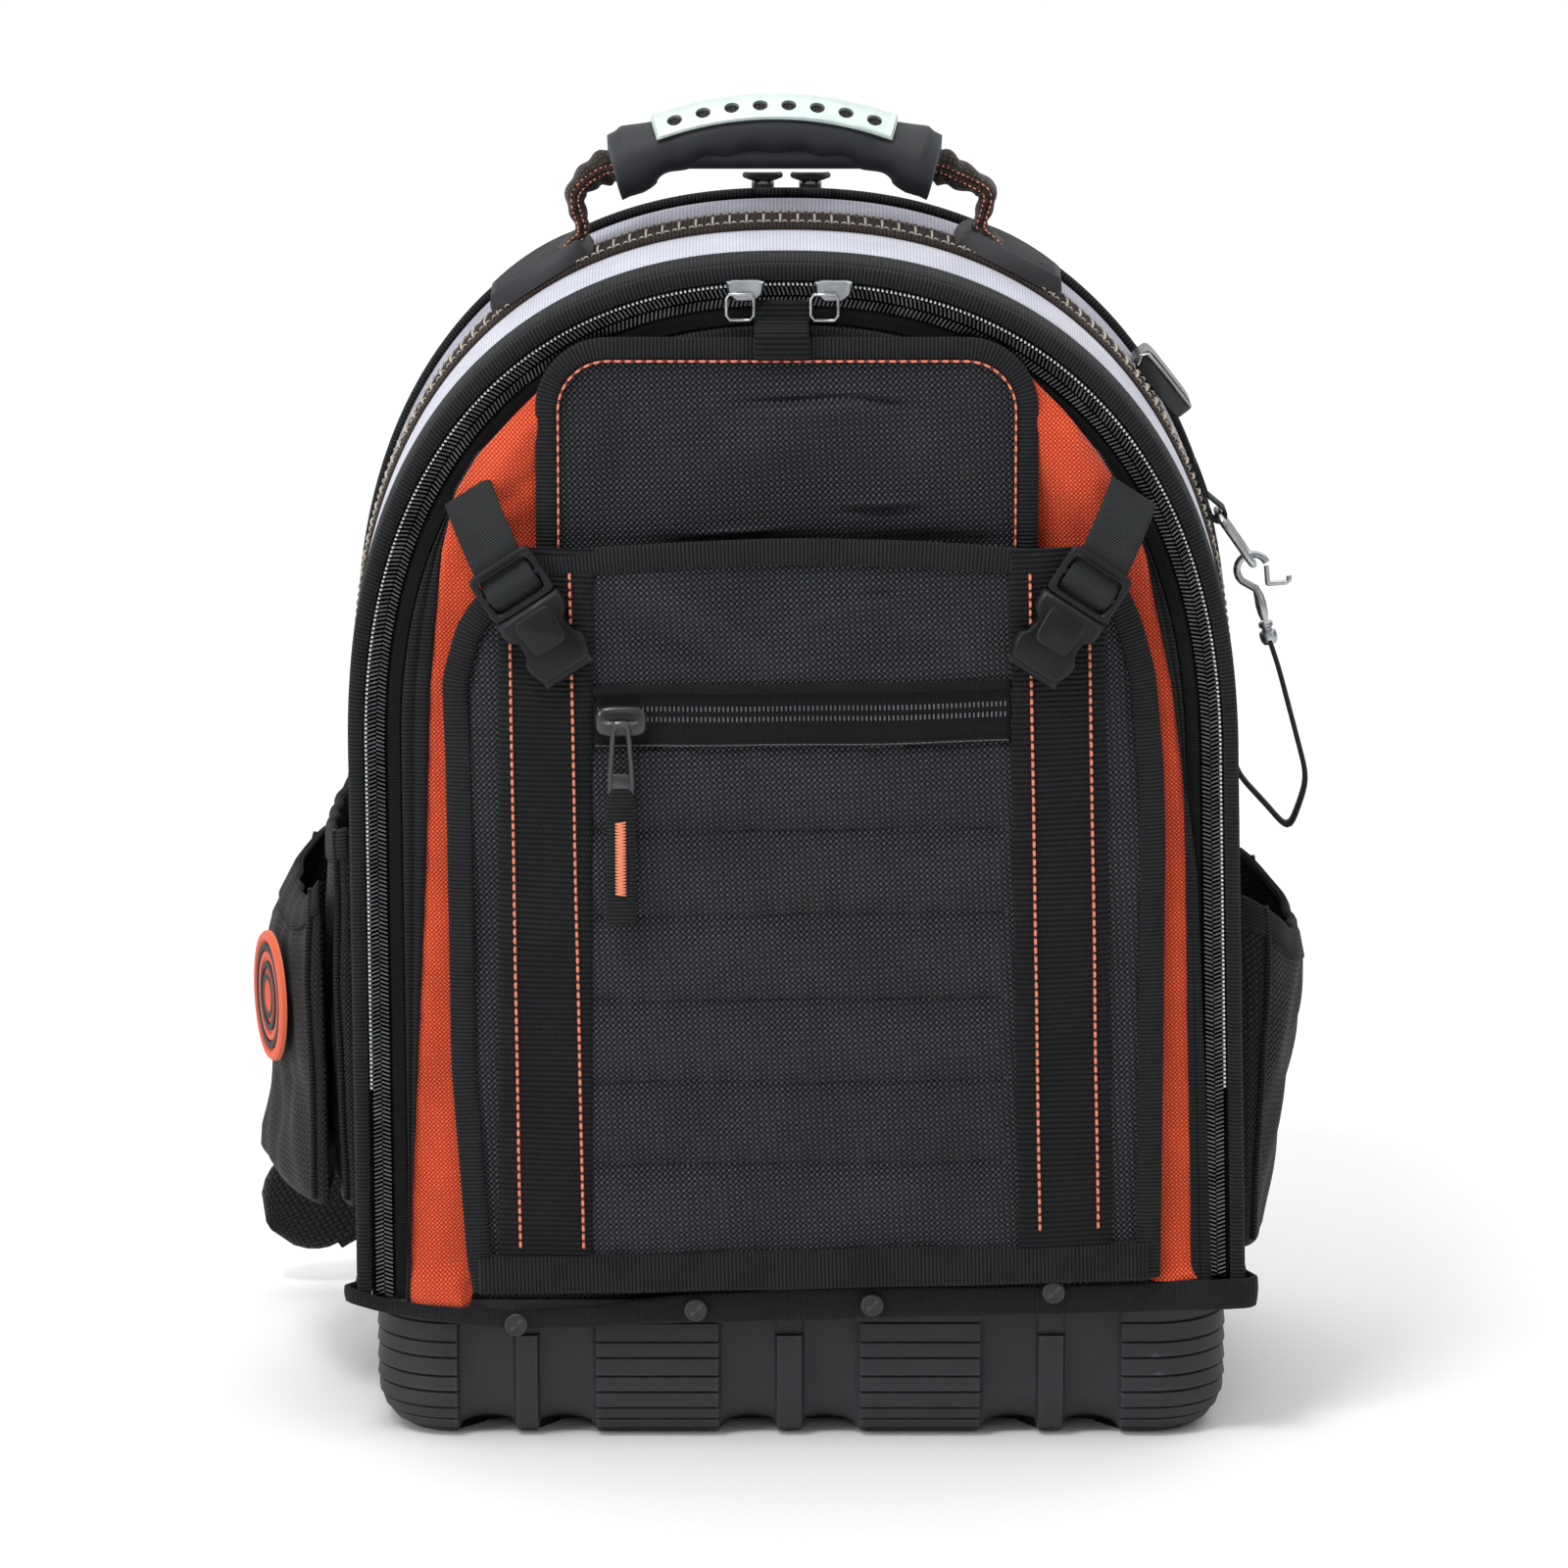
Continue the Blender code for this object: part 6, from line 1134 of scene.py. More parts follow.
coils = sewn("pocket_coils", [zip_line[1:-1] + (0.0, 0.0019), zip_line[1:-1] - (0.0, 0.0021)], zip_front,
             0.0017, stitch_shape(0.0007, 0.0021, 0.0006), coil_nylon)
# Grey polyester thread: a faint dotted line along the tape.
grey_thread = spun("grey_thread", "#54575A", "#2A2C2E")
edging = sewn("pocket_tape_edge", [zip_line[1:-1] - (0.0, 0.0122), zip_line[1:-1] + (0.0, 0.0095)],
              zip_front, 0.0024, stitch_shape(0.0023, 0.0006, 0.0003), grey_thread, lift=0.0004)
rides([coils, edging])


def slab(name, outline, rings, origin, first, second, material, sharp=40):
    """A plate with rounded edges: the outline drawn in by each ring's inset, at each ring's height."""
    outline = np.asarray(outline, float)
    centre = outline.mean(0)
    half = np.abs(outline - centre).max(0)
    first, second = np.asarray(first, float), np.asarray(second, float)
    out = np.cross(first, second)
    out *= -1.0 if out[1] > 0 else 1.0
    rows = []
    for inset, height in rings:
        ring = centre + (outline - centre) * (1 - inset / half)
        rows.append(np.asarray(origin) + ring[:, :1] * first + ring[:, 1:2] * second + height * out)
    grid = np.stack(rows)
    return surface(name, grid, material, wrap_columns=True, caps=True, sharp=sharp)


def frame_slab(name, outline, window, thick, origin, first, second, material, round_off=0.0005):
    """A plate with one window: a loop of rounded section between the outline and the window."""
    outline, window = np.asarray(outline, float), np.asarray(window, float)
    first, second = np.asarray(first, float), np.asarray(second, float)
    out = np.cross(first, second)
    out *= -1.0 if out[1] > 0 else 1.0
    rows = []
    for share, height in ((0.0, 0.0), (0.0, 1.0), (0.2, 1.0), (0.8, 1.0), (1.0, 1.0), (1.0, 0.0), (0.5, 0.0)):
        ring = outline * (1 - share) + window * share
        edge = round_off if share in (0.0, 1.0) and height else 0.0
        rows.append(np.asarray(origin) + ring[:, :1] * first + ring[:, 1:2] * second
                    + (height * thick - edge) * out)
    grid = np.stack(rows)
    return surface(name, grid, material, wrap_rows=True, wrap_columns=True, sharp=35)


def soft_box(half_wide, top, bottom, power=5.0, taper=1.0, count=40):
    """A rounded rectangle as |a|^p + |b|^p = 1, narrowed towards its lower end."""
    turn = np.linspace(0, 2 * math.pi, count, endpoint=False)
    a = np.sign(np.cos(turn)) * np.abs(np.cos(turn)) ** (2 / power)
    b = np.sign(np.sin(turn)) * np.abs(np.sin(turn)) ** (2 / power)
    along = (top + bottom) / 2 + b * (top - bottom) / 2
    share = (1 - b) / 2
    return np.column_stack([a * half_wide * (1 - share * (1 - taper)), along])


X, Z = np.array([1.0, 0.0, 0.0]), np.array([0.0, 0.0, 1.0])
# Enamelled zinc: glossy black with bright worn corners.
lacquer = moulded("black_lacquer", "#111214", "#070708", 0.0008, 0.28, 0.00002, wear="#6A6D70", gloss=0.6)
slider_seat = np.array([-0.0690, -0.1248, 0.2940])
slider = slab("pocket_slider_body", soft_box(0.0096, 0.0060, -0.0058, 3.5),
              ((0.0006, 0.0), (0.0, 0.0005), (0.0, 0.0014), (0.0006, 0.0022), (0.0026, 0.0028)),
              slider_seat, X, Z, lacquer)
belongs(slider, "pocket_zip_slider")
bridge_path = np.array([(0.0062, -0.0024, 0.0), (0.0046, -0.0042, 0.0), (0.0018, -0.0047, 0.0),
                        (-0.0018, -0.0047, 0.0), (-0.0046, -0.0042, 0.0), (-0.0062, -0.0024, 0.0)])
bridge = tube("pocket_slider_bridge", slider_seat + bridge_path, 0.0009, lacquer, 8, up=(0, 0, 1))
rides([bridge])
PULL = np.array([-0.0690, -0.12997, 0.2940])
pull_outline = soft_box(0.0036, 0.0010, -0.0286, 6, taper=1.55)
pull_frame = frame_slab("pocket_pull_frame", pull_outline, soft_box(0.0019, -0.0020, -0.0262, 6, taper=1.95),
                        0.0026, PULL + (0, 0.0012, 0), X, Z, lacquer)
belongs(pull_frame, "pocket_zip_pull", "pocket_pull")
pull_bar = slab("pocket_pull_bar", soft_box(0.0040, -0.0196, -0.0262, 6),
                ((0.0, 0.0), (0.0, 0.0016), (0.0005, 0.0020)), PULL + (0, 0.0010, 0), X, Z, lacquer)
rides([pull_bar], "pocket_pull")
tail_rows = np.array([(-0.0240, 0.0002), (-0.0262, 0.0017), (-0.0286, 0.0021), (-0.0300, 0.0016),
                      (-0.0330, 0.0011), (-0.0500, 0.0010), (-0.0700, 0.0010), (-0.0775, 0.0009),
                      (-0.0783, 0.0004)])
tail_step = even_line(tail_rows, 0.0009)
half = np.array([(-1.0, 0.0), (-0.94, 1.0), (0.0, 1.1), (0.94, 1.0), (1.0, 0.0), (0.94, -1.0), (0.0, -1.0),
                 (-0.94, -1.0)])
tail_wide = 0.0056 - 0.0014 * np.clip((-0.0255 - tail_step[:, 0]) * -220 + 1, 0, 1)
tail_grid = np.stack(np.broadcast_arrays(PULL[0] + tail_wide[:, None] * half[None, :, 0],
                                         PULL[1] - tail_step[:, None, 1] * half[None, :, 1],
                                         PULL[2] + tail_step[:, None, 0]), 2)
tail = surface("pocket_pull_tail", tail_grid, black_grosgrain, wrap_columns=True, caps=True, sharp=80)
belongs(tail, "pocket_zip_tail", "pocket_pull")
count = 46
bar_z = PULL[2] - 0.0385 - np.arange(count) * 0.00062
bar_origin = np.column_stack([np.full(count, PULL[0] - 0.0002), np.full(count, PULL[1] - 0.0012), bar_z])
lean_way = np.where(np.arange(count) % 2 == 0, 0.16, -0.16)
first = np.column_stack([np.cos(lean_way), np.zeros(count), np.sin(lean_way)])
front_way = np.tile([0.0, -1.0, 0.0], (count, 1))
zigzag = copies("tail_zigzag_bar", *stitch_shape(0.0044, 0.0008, 0.0006), bar_origin,
                np.stack([first, np.cross(front_way, first), front_way], 2), peach_thread)
rides([zigzag], "pocket_pull")


# Door sliders: two cast wedges that meet at the crown, each with a thin wire pull.

# Nickel-plated steel: bright and slightly brushed.
steel_wire = metal("nickel_plate", "#C9CCCE", "#8F9396", 0.26)
for label in ("left", "right"):
    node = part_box("main_zip_slider_" + label)
    centre = np.array([(node[0][0] + node[1][0]) / 2, node[1][1], (node[0][2] + node[1][2]) / 2])
    wedge = np.array([(-0.0072, 0.0036), (-0.0050, 0.0046), (0.0050, 0.0046), (0.0072, 0.0036),
                      (0.0066, -0.0010), (0.0036, -0.0040), (-0.0036, -0.0040), (-0.0066, -0.0010)])
    body = slab("door_slider_" + label, wedge,
                ((0.0005, -0.0002), (0.0, 0.0004), (0.0, 0.0016), (0.0008, 0.0025)), centre, X, Z,
                steel_wire)
    belongs(body, "main_zip_slider_" + label)
    pull_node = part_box("main_zip_pull_" + label)
    top = np.array([(pull_node[0][0] + pull_node[1][0]) / 2, (pull_node[0][1] + pull_node[1][1]) / 2,
                    pull_node[1][2]])
    loop = np.array([(-0.0040, 0, -0.0003), (0.0040, 0, -0.0003), (0.0052, 0, -0.0020), (0.0052, 0, -0.0084),
                     (0.0038, 0, -0.0102), (-0.0038, 0, -0.0102), (-0.0052, 0, -0.0084),
                     (-0.0052, 0, -0.0020)]) + top
    pull_wire = tube("door_pull_wire_" + label, loop, 0.0006, steel_wire, 10, 60, closed=True)
    belongs(pull_wire, "main_zip_pull_" + label, "door_pull_" + label)


# Compression straps: thin fine-ribbed webbing from the door's shoulders, laced through a ladder frame
# of moulded nylon that is snapped into its socket over the pocket's upper corners.

# Fine nylon webbing: dark grey, smooth, with barely visible ribs.
strap_webbing = ribbed("strap_webbing", "#3C3F41", "#060607", 0.0010, 0.00022, fine=0.0009, mottle=0.12)
# Moulded nylon: black, fine-grained, with a soft highlight and paler worn edges.
buckle_nylon = moulded("buckle_nylon", "#0D0E0F", "#070708", 0.0005, 0.36, 0.00003, wear="#3A3C3F",
                       gloss=0.22)
for side, label in ((-1, "left"), (1, "right")):
    turn = math.radians(33.0)
    down = np.array([-side * math.sin(turn), 0.0, -math.cos(turn)])
    athwart = np.array([math.cos(turn), 0.0, -side * math.sin(turn)])
    head = np.array([side * 0.1155 - 0.0005, 0.0, 0.3560])
    skin_y = min(float(pocket_skin(head[0] - side * 0.02, head[2] - 0.02)),
                 float(pocket_skin(head[0], head[2] - 0.04)))
    seat = head + (0, skin_y - 0.0049, 0)
    half = 0.0135
    ladder_frame = frame_slab("buckle_ladder_" + label, soft_box(half, 0.0, 0.0205, 9),
                              soft_box(half - 0.0026, 0.0032, 0.0180, 9), 0.0042, seat, athwart, down,
                              buckle_nylon)
    belongs(ladder_frame, "buckle_frame_" + label)
    rung = slab("buckle_rung_" + label, soft_box(half - 0.0015, 0.0092, 0.0122, 8),
                ((0.0003, 0.0), (0.0, 0.0005), (0.0, 0.0036), (0.0006, 0.0044)), seat, athwart, down,
                buckle_nylon)
    grips = [slab("buckle_grip_" + label + str(k),
                  soft_box(0.0088, 0.0009 + 0.0013 * k, 0.0018 + 0.0013 * k, 4, count=20),
                  ((0.0, 0.0038), (0.0, 0.0046), (0.0002, 0.0049)), seat, athwart, down, buckle_nylon)
             for k in range(2)]
    mouth = 0.0208
    right_edge = np.array([(1.0, 0.0), (1.02, 0.0045), (0.99, 0.0075), (0.80, 0.0095), (0.76, 0.0130),
                           (0.80, 0.0165), (0.95, 0.0190), (0.93, 0.0230), (0.80, 0.0275), (0.72, 0.0292)])
    shape = np.concatenate([[(-1.0, 0.0)], right_edge, right_edge[:0:-1] * (-1, 1)]) * (half, 1)
    socket = slab("buckle_socket_body_" + label, shape + (0, mouth),
                  ((0.0008, -0.0015), (0.0, -0.0005), (0.0, 0.0040), (0.0006, 0.0054), (0.0022, 0.0060)),
                  seat, athwart, down, buckle_nylon, sharp=50)
    belongs(socket, "buckle_socket_" + label)
    panel = slab("buckle_panel_" + label,
                 soft_box(half * 0.60, mouth + 0.0025, mouth + 0.0180, 6, taper=0.86),
                 ((0.0, 0.0055), (0.0, 0.0062), (0.0008, 0.0068)), seat, athwart, down, buckle_nylon)
    lip_line = (seat + np.outer(np.linspace(-0.0104, 0.0104, 16), athwart)
                + down * (mouth + 0.0286) + (0, -0.0032, 0))
    lip = tube("buckle_lip_" + label, lip_line, 0.0026, buckle_nylon, 12)
    rides([rung, panel, lip] + grips)
    route = np.array([(-0.0300, -0.0128), (-0.0290, -0.0108), (-0.0240, -0.0072), (-0.0150, -0.0020),
                      (-0.0040, 0.0004), (0.0028, 0.0004), (0.0060, 0.0022), (0.0085, 0.0051),
                      (0.0107, 0.0057), (0.0130, 0.0050), (0.0150, 0.0022), (0.0176, -0.0004),
                      (0.0200, -0.0012)])
    way_line = eased(even_line(route, 0.0010), 4)
    columns = 0.0102 * np.array([-1.0, -0.96, -0.8, -0.4, 0.0, 0.4, 0.8, 0.96, 1.0])
    puffed = 0.0006 * np.array([0.0, 0.8, 1.0, 1.0, 1.0, 1.0, 1.0, 0.8, 0.0])
    strap_grid = (seat + way_line[:, None, :1] * down + columns[None, :, None] * athwart
                  + (way_line[:, None, 1:2] + puffed[None, :, None]) * np.array([0.0, -1.0, 0.0])
                  + (np.clip(-way_line[:, None, :1], 0, 1) * -side * 0.16) * X)
    strap = surface("compression_webbing_" + label, strap_grid, strap_webbing, thick=0.0012, sharp=70)
    belongs(strap, "compression_strap_" + label)


# Handle: an overmoulded rubber grip with finger waves and flared collars, a stamped plate with eight
# holes over its crown, and a braided rope of brown webbing that runs through it to both anchors.

# Soft grip rubber: blue-black and matt, polished a little on its edges by the hand.
grip_rubber = moulded("grip_rubber", "#262A2F", "#181B1F", 0.0009, 0.62, 0.00008, wear="#5A6067")


def handle_point(share):
    """The grip's middle line: x is linear in share, z is 0.5062 - 0.0165 share^2."""
    share = np.asarray(share, float)
    return np.stack([-0.0105 + share * 0.0635, np.zeros_like(share), 0.5062 - 0.0165 * share ** 2], -1)


def handle_frame(share):
    """The middle line and the ways upwards from it, in its own plane."""
    way = unit(handle_point(share + 1e-3) - handle_point(share - 1e-3))
    out = np.cross(way, (0.0, 1.0, 0.0))
    return handle_point(share), out * np.sign(out[:, 2:3])


share = np.linspace(-0.985, 0.985, 130)
middle, out = handle_frame(share)
angle = np.linspace(0.0, 2 * math.pi, 44, endpoint=False)
cosine, sine = np.cos(angle), np.sin(angle)
collar = 1 + 0.36 * np.clip((np.abs(share) - 0.66) / 0.22, 0, 1) ** 1.5
wave = 0.0012 * np.cos(share * math.pi / 0.15) * (np.abs(share) < 0.80)
waist = 1 - 0.04 * np.exp(-((np.abs(share) - 0.62) / 0.05) ** 2)
thick = 0.0104 * collar * waist
wide = 0.0146 * (0.6 + 0.4 * collar) * waist
rise = np.where(sine < 0, thick[:, None] + wave[:, None], thick[:, None] * 1.02) * sine[None, :]
slant = (-0.0034 * np.sign(share)[:, None] * sine[None, :]
         * np.clip((np.abs(share)[:, None] - 0.84) / 0.1, 0, 1))
grid = middle[:, None, :] + out[:, None, :] * rise[:, :, None]
grid[:, :, 1] += wide[:, None] * cosine[None, :]
grid[:, :, 0] += slant
bore = middle[:, None, :] + out[:, None, :] * (0.0062 * sine[None, :])[:, :, None]
bore[:, :, 1] += 0.0092 * cosine[None, :]
grip_grid = np.concatenate([grid, bore[::-1][[0, 2, 6, 12, 117, 123, 127, 129]]])
grip = surface("rubber_grip", grip_grid, grip_rubber, wrap_rows=True, wrap_columns=True, sharp=45)
belongs(grip, "handle_grip")

PLATE_END = 0.695
share = np.linspace(-PLATE_END, PLATE_END, 90)
middle, out = handle_frame(share)
angle = np.radians(np.linspace(-66, 60, 40))
edge = np.clip((PLATE_END - np.abs(share)) / 0.03, 0, 1)[:, None]
edge = np.minimum(edge, np.clip((64 - np.abs(np.degrees(angle))) / 6, 0, 1)[None, :])
rim = 0.0026 - 0.0006 * np.clip(edge * 1.6 - 0.6, 0, 1) - 0.0012 * (1 - np.minimum(edge * 3, 1))


def plate_skin(across, deep):
    """A skin round the grip: across and deep are its half widths along the outward way and in depth."""
    return (middle[:, None, :] + out[:, None, :] * (across * np.cos(angle))[:, :, None]
            + np.array([0.0, 1.0, 0.0]) * (deep * np.sin(angle))[:, :, None])


# Stamped plate, satin painted: pale greenish silver.
satin_plate = metal("satin_plate", "#DCE9E4", "#B9CAC4", 0.38, metallic=0.35)
# Each ring runs over the outer skin and back under the inner one, and caps close both ends.
plate_grid = np.concatenate([plate_skin(0.0112 + rim, 0.0152 + rim),
                             plate_skin(0.0114 + 0 * rim, 0.0154 + 0 * rim)[:, ::-1]], 1)
plate = surface("pierced_plate", plate_grid, satin_plate, wrap_columns=True, caps=True, sharp=35)
HOLES, HOLE_RADIUS, HOLE_SIDES = 8, 0.0030, 24
HOLE_TILT = math.radians(-47)   # the holes look forward and up
hole_way = np.array([0.0, math.sin(HOLE_TILT), math.cos(HOLE_TILT)])
hole_up = np.cross(hole_way, X)
drill_angle = np.linspace(0, 2 * math.pi, HOLE_SIDES, endpoint=False)[:, None]
drill_ring = HOLE_RADIUS * (np.cos(drill_angle) * X + np.sin(drill_angle) * hole_up)
drill_rings, drill_faces = [], []
around = range(HOLE_SIDES)
for number in range(HOLES):
    centre = handle_point((number - 3.5) / 4 * 0.97 * 0.092 / 0.127)
    drill_rings += [centre + hole_way * height + drill_ring for height in (0.0100, 0.0260)]
    low, high = 2 * number * HOLE_SIDES, (2 * number + 1) * HOLE_SIDES
    drill_faces += [[low + c, low + (c + 1) % HOLE_SIDES, high + (c + 1) % HOLE_SIDES, high + c]
                    for c in around]
    drill_faces += [[low + c for c in reversed(around)], [high + c for c in around]]
drill_mesh = bpy.data.meshes.new("drills")
drill_mesh.from_pydata(np.concatenate(drill_rings).tolist(), [], drill_faces)
drill = bpy.data.objects.new("drills", drill_mesh)
bpy.context.collection.objects.link(drill)
cut = plate.modifiers.new("holes", "BOOLEAN")
cut.operation = "DIFFERENCE"
cut.solver = "EXACT"
cut.object = drill
bpy.context.view_layer.update()
pierced = bpy.data.meshes.new_from_object(plate.evaluated_get(bpy.context.evaluated_depsgraph_get()))
plate.modifiers.clear()
plate.data = pierced
bpy.data.objects.remove(drill)
bpy.data.meshes.remove(drill_mesh)
pierced.set_sharp_from_angle(angle=math.radians(35))
belongs(plate, "handle_plate")

# Braided rope: two dark brown strands that cross every few millimetres, and dotted orange lines.
# Braided polypropylene cord: dark brown, coarse, slightly fuzzy.
brown_braid = woven("brown_braid", "#3E2F27", "#0B0806", 0.0016, 0.00040, rough=0.8, sheen=0.25, mottle=0.2)
middle, out = handle_frame(np.linspace(-0.68, 0.68, 60))
angle = np.radians(np.linspace(-52, 4, 12))
every = np.ones((60, 12))
rope_grid = plate_skin(0.0113 * every, 0.0152 * every)
rope_strip = surface("rope_under_plate", rope_grid, brown_braid)
rides([rope_strip])
legs = []
dots, dot_frames = [], []
for side in (-1, 1):
    end = handle_point(side * 0.93)
    leg_x = -0.0078 + side * 0.0765
    foot_station = float(np.interp(leg_x, arch(np.linspace(0.3, 0.7, 2001), 0.0, 0.0)[:, 0],
                                   np.linspace(0.3, 0.7, 2001)))
    foot = arch(foot_station, -0.0060, 0.0)
    far = arch(foot_station + side * 0.0100, -0.0050, 0.0)
    knots = np.array([handle_point(side * 0.86), end, end + (side * 0.0070, 0, -0.0012),
                      end + (side * 0.0140, 0, -0.0050), (leg_x + side * 0.0055, 0, foot[2] + 0.0190),
                      (leg_x + side * 0.0030, 0, foot[2] + 0.0100),
                      (leg_x + side * 0.0008, 0, foot[2] + 0.0040), foot + (side * 0.0030, 0, 0.0002), far])
    place = np.linspace(0, len(knots) - 1, 60)
    path = np.stack([np.interp(place, np.arange(len(knots)), knots[:, k]) for k in range(3)], 1)
    path = eased(path, 12)
    grow = np.interp(np.linspace(0, 1, 60), [0, 0.25, 0.45, 0.7, 1.0],
                     [0.0068, 0.0070, 0.0044, 0.0028, 0.0022])
    leg = rod(path, grow, 20)
    wide_share = np.interp(np.linspace(0, 1, 60), [0, 0.3, 0.6, 1.0], [1.25, 1.25, 2.4, 4.8])[:, None]
    leg[:, :, 1] *= wide_share
    twist = 0.0006 * np.sin(np.arange(60)[:, None] * 0.9
                            + np.linspace(0, 2 * math.pi, 20, endpoint=False)[None, :] * 2)
    leg += (leg - path[:, None, :]) / 0.006 * twist[:, :, None]
    rope = surface("rope_leg_" + ("left" if side < 0 else "right"), leg, brown_braid, wrap_columns=True,
                   caps=True, sharp=60)
    legs.append(rope)
    step = even_line(path[12:], 0.0021)
    way = unit(np.gradient(step, axis=0))
    front_way = np.tile([0.0, -1.0, 0.0], (len(step), 1))
    front_y = np.interp(step[:, 2], np.sort(path[:, 2]),
                        -(np.abs(leg[:, :, 1]).max(1))[np.argsort(path[:, 2])])
    for shift in (-0.0014, 0.0014):
        across_way = np.cross(front_way, way)
        spot = step + across_way * shift
        spot[:, 1] = front_y * 0.93
        dots.append(spot)
        dot_frames.append(np.stack([way, np.cross(front_way, way), front_way], 2))
belongs(legs[0], "handle_strap")
rides([legs[1]])
rope_dots = copies("rope_dots", *stitch_shape(0.0012, 0.0006, 0.0004), np.concatenate(dots),
                   np.concatenate(dot_frames), peach_thread)
rides([rope_dots])

# Anchors: moulded rubber caps bent over the crown, with a raised rim round a field of small ribs.
fine = np.linspace(0.0, 1.0, 6001)
crown_line = arch(fine, 0.0, 0.0)
gone = distances_along(crown_line)
for side, label in ((-1, "left"), (1, "right")):
    leg_x = -0.0105 + side * 0.0785
    at = float(np.interp(np.interp(leg_x, crown_line[1500:4500, 0], fine[1500:4500]), fine, gone))
    s = np.linspace(0.0, 1.0, 70)[:, None]
    t = np.linspace(-1.0, 1.0, 60)[None, :]
    station = np.interp(at - side * 0.0092 + side * s * 0.046, gone, fine)
    half = 0.023 * (0.35 + 0.65 * np.sin(np.pi * np.clip(s, 0.06, 0.94)) ** 0.5)
    edge = np.minimum(1 - np.abs(t), np.minimum(s, 1 - s) * 2.0)
    dome = 0.0060 * np.clip(edge / 0.16, 0, 1) ** 0.45
    field = np.clip((edge - 0.22) / 0.05, 0, 1)
    ribs = 0.0007 * (0.5 + 0.5 * np.cos(t * 46)) * field - 0.0008 * field
    grid = arch(station, -(0.0021 + dome + ribs), half * t)
    cap = surface("anchor_cap_" + label, grid, tub_rubber, sharp=50)
    belongs(cap, "handle_anchor_" + label)


# Rear zip: the same woven tape and interlocked teeth over the rear compartment, and two sliders
# whose cord pulls lie forward over the crest.

rear_tape = arch_band("rear_zip_tape",
                      [(-0.0004, 0.0592), (-0.0011, 0.0594), (-0.0012, 0.0660), (-0.0012, 0.0740),
                       (-0.0011, 0.0806), (-0.0004, 0.0808)], 320, zip_cloth, thick=0.0003)
belongs(rear_tape, "rear_zip")
rear_step = even_stations(440, depth=0.07)
rear_origins, rear_frames = [], []
for depth, slant in ((0.0684, 0.3), (0.0716, -0.3)):
    here, frames = arch_frames(rear_step[1:-1] + (0.0006 if slant > 0 else 0.0), -0.0012, depth)
    along, second = frames[:, :, 0], frames[:, :, 1]
    turned_along = along * math.cos(slant) + second * math.sin(slant)
    turned_second = np.cross(frames[:, :, 2], turned_along)
    rear_origins.append(here)
    rear_frames.append(np.stack([turned_second, turned_along, frames[:, :, 2]], 2))
# Painted highlight: the rear teeth are all in the near-white finish of the door zip's dots.
rear_teeth = copies("rear_zip_teeth", *tooth_shape(0.0042, 0.0014, 0.0020), np.concatenate(rear_origins),
                    np.concatenate(rear_frames), tooth_highlight_white)
rides([rear_teeth])
# Sheathed cord: matt black.
cord_black = moulded("black_pull_cord", "#151617", "#0A0A0B", 0.0006, 0.6, 0.0001)
for label in ("left", "right"):
    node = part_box("rear_zip_pull_" + label)
    x = (node[0][0] + node[1][0]) / 2
    low = node[0][2]
    body = slab("rear_slider_" + label, soft_box(0.0046, 0.0, 0.0130, 4) + (0, 0.062),
                ((0.0005, 0.0), (0.0, 0.0006), (0.0, 0.0026), (0.0008, 0.0034)), (x, 0.0, low + 0.0002),
                (1, 0, 0), (0, 1, 0), lacquer)
    loop = np.array([(-0.0010, 0.066, 0.0040), (-0.0050, 0.060, 0.0060), (-0.0068, 0.050, 0.0080),
                     (-0.0068, 0.040, 0.0092), (-0.0046, 0.0325, 0.0100), (0.0, 0.0305, 0.0103),
                     (0.0046, 0.0325, 0.0100), (0.0068, 0.040, 0.0092), (0.0068, 0.050, 0.0080),
                     (0.0050, 0.060, 0.0060), (0.0010, 0.066, 0.0040)]) + (x, 0, low)
    loop = eased(even_line(loop, 0.0012), 2)
    cord = tube("rear_pull_loop_" + label, loop, 0.0013, cord_black, 10, 60, up=(0.0, 0.0, 1.0))
    belongs(cord, "rear_zip_pull_" + label)
    rides([body])


# Left side: a flat sleeve against the gusset and a fuller pouch over it, both of the black nylon with
# a bound mouth; a round rubber badge with plain raised rings is sewn to the pouch.

def flank_x(z, lift, side, depth=0.0):
    """Distance of a flank's surface from the bag's middle plane at a height."""
    fine = np.linspace(0.0, 0.5, 2001) if side < 0 else np.linspace(1.0, 0.5, 2001)
    line = arch(fine, -lift, depth)
    return np.interp(z, line[:, 2], side * line[:, 0])


# A darker copy of the black nylon for the side pockets: painted shade, as they face away from the light.
shaded_side_nylon = woven("shaded_side_pocket_nylon", "#27282B", "#030303", 0.0016, 0.0008, rough=0.6, turn=0.72)


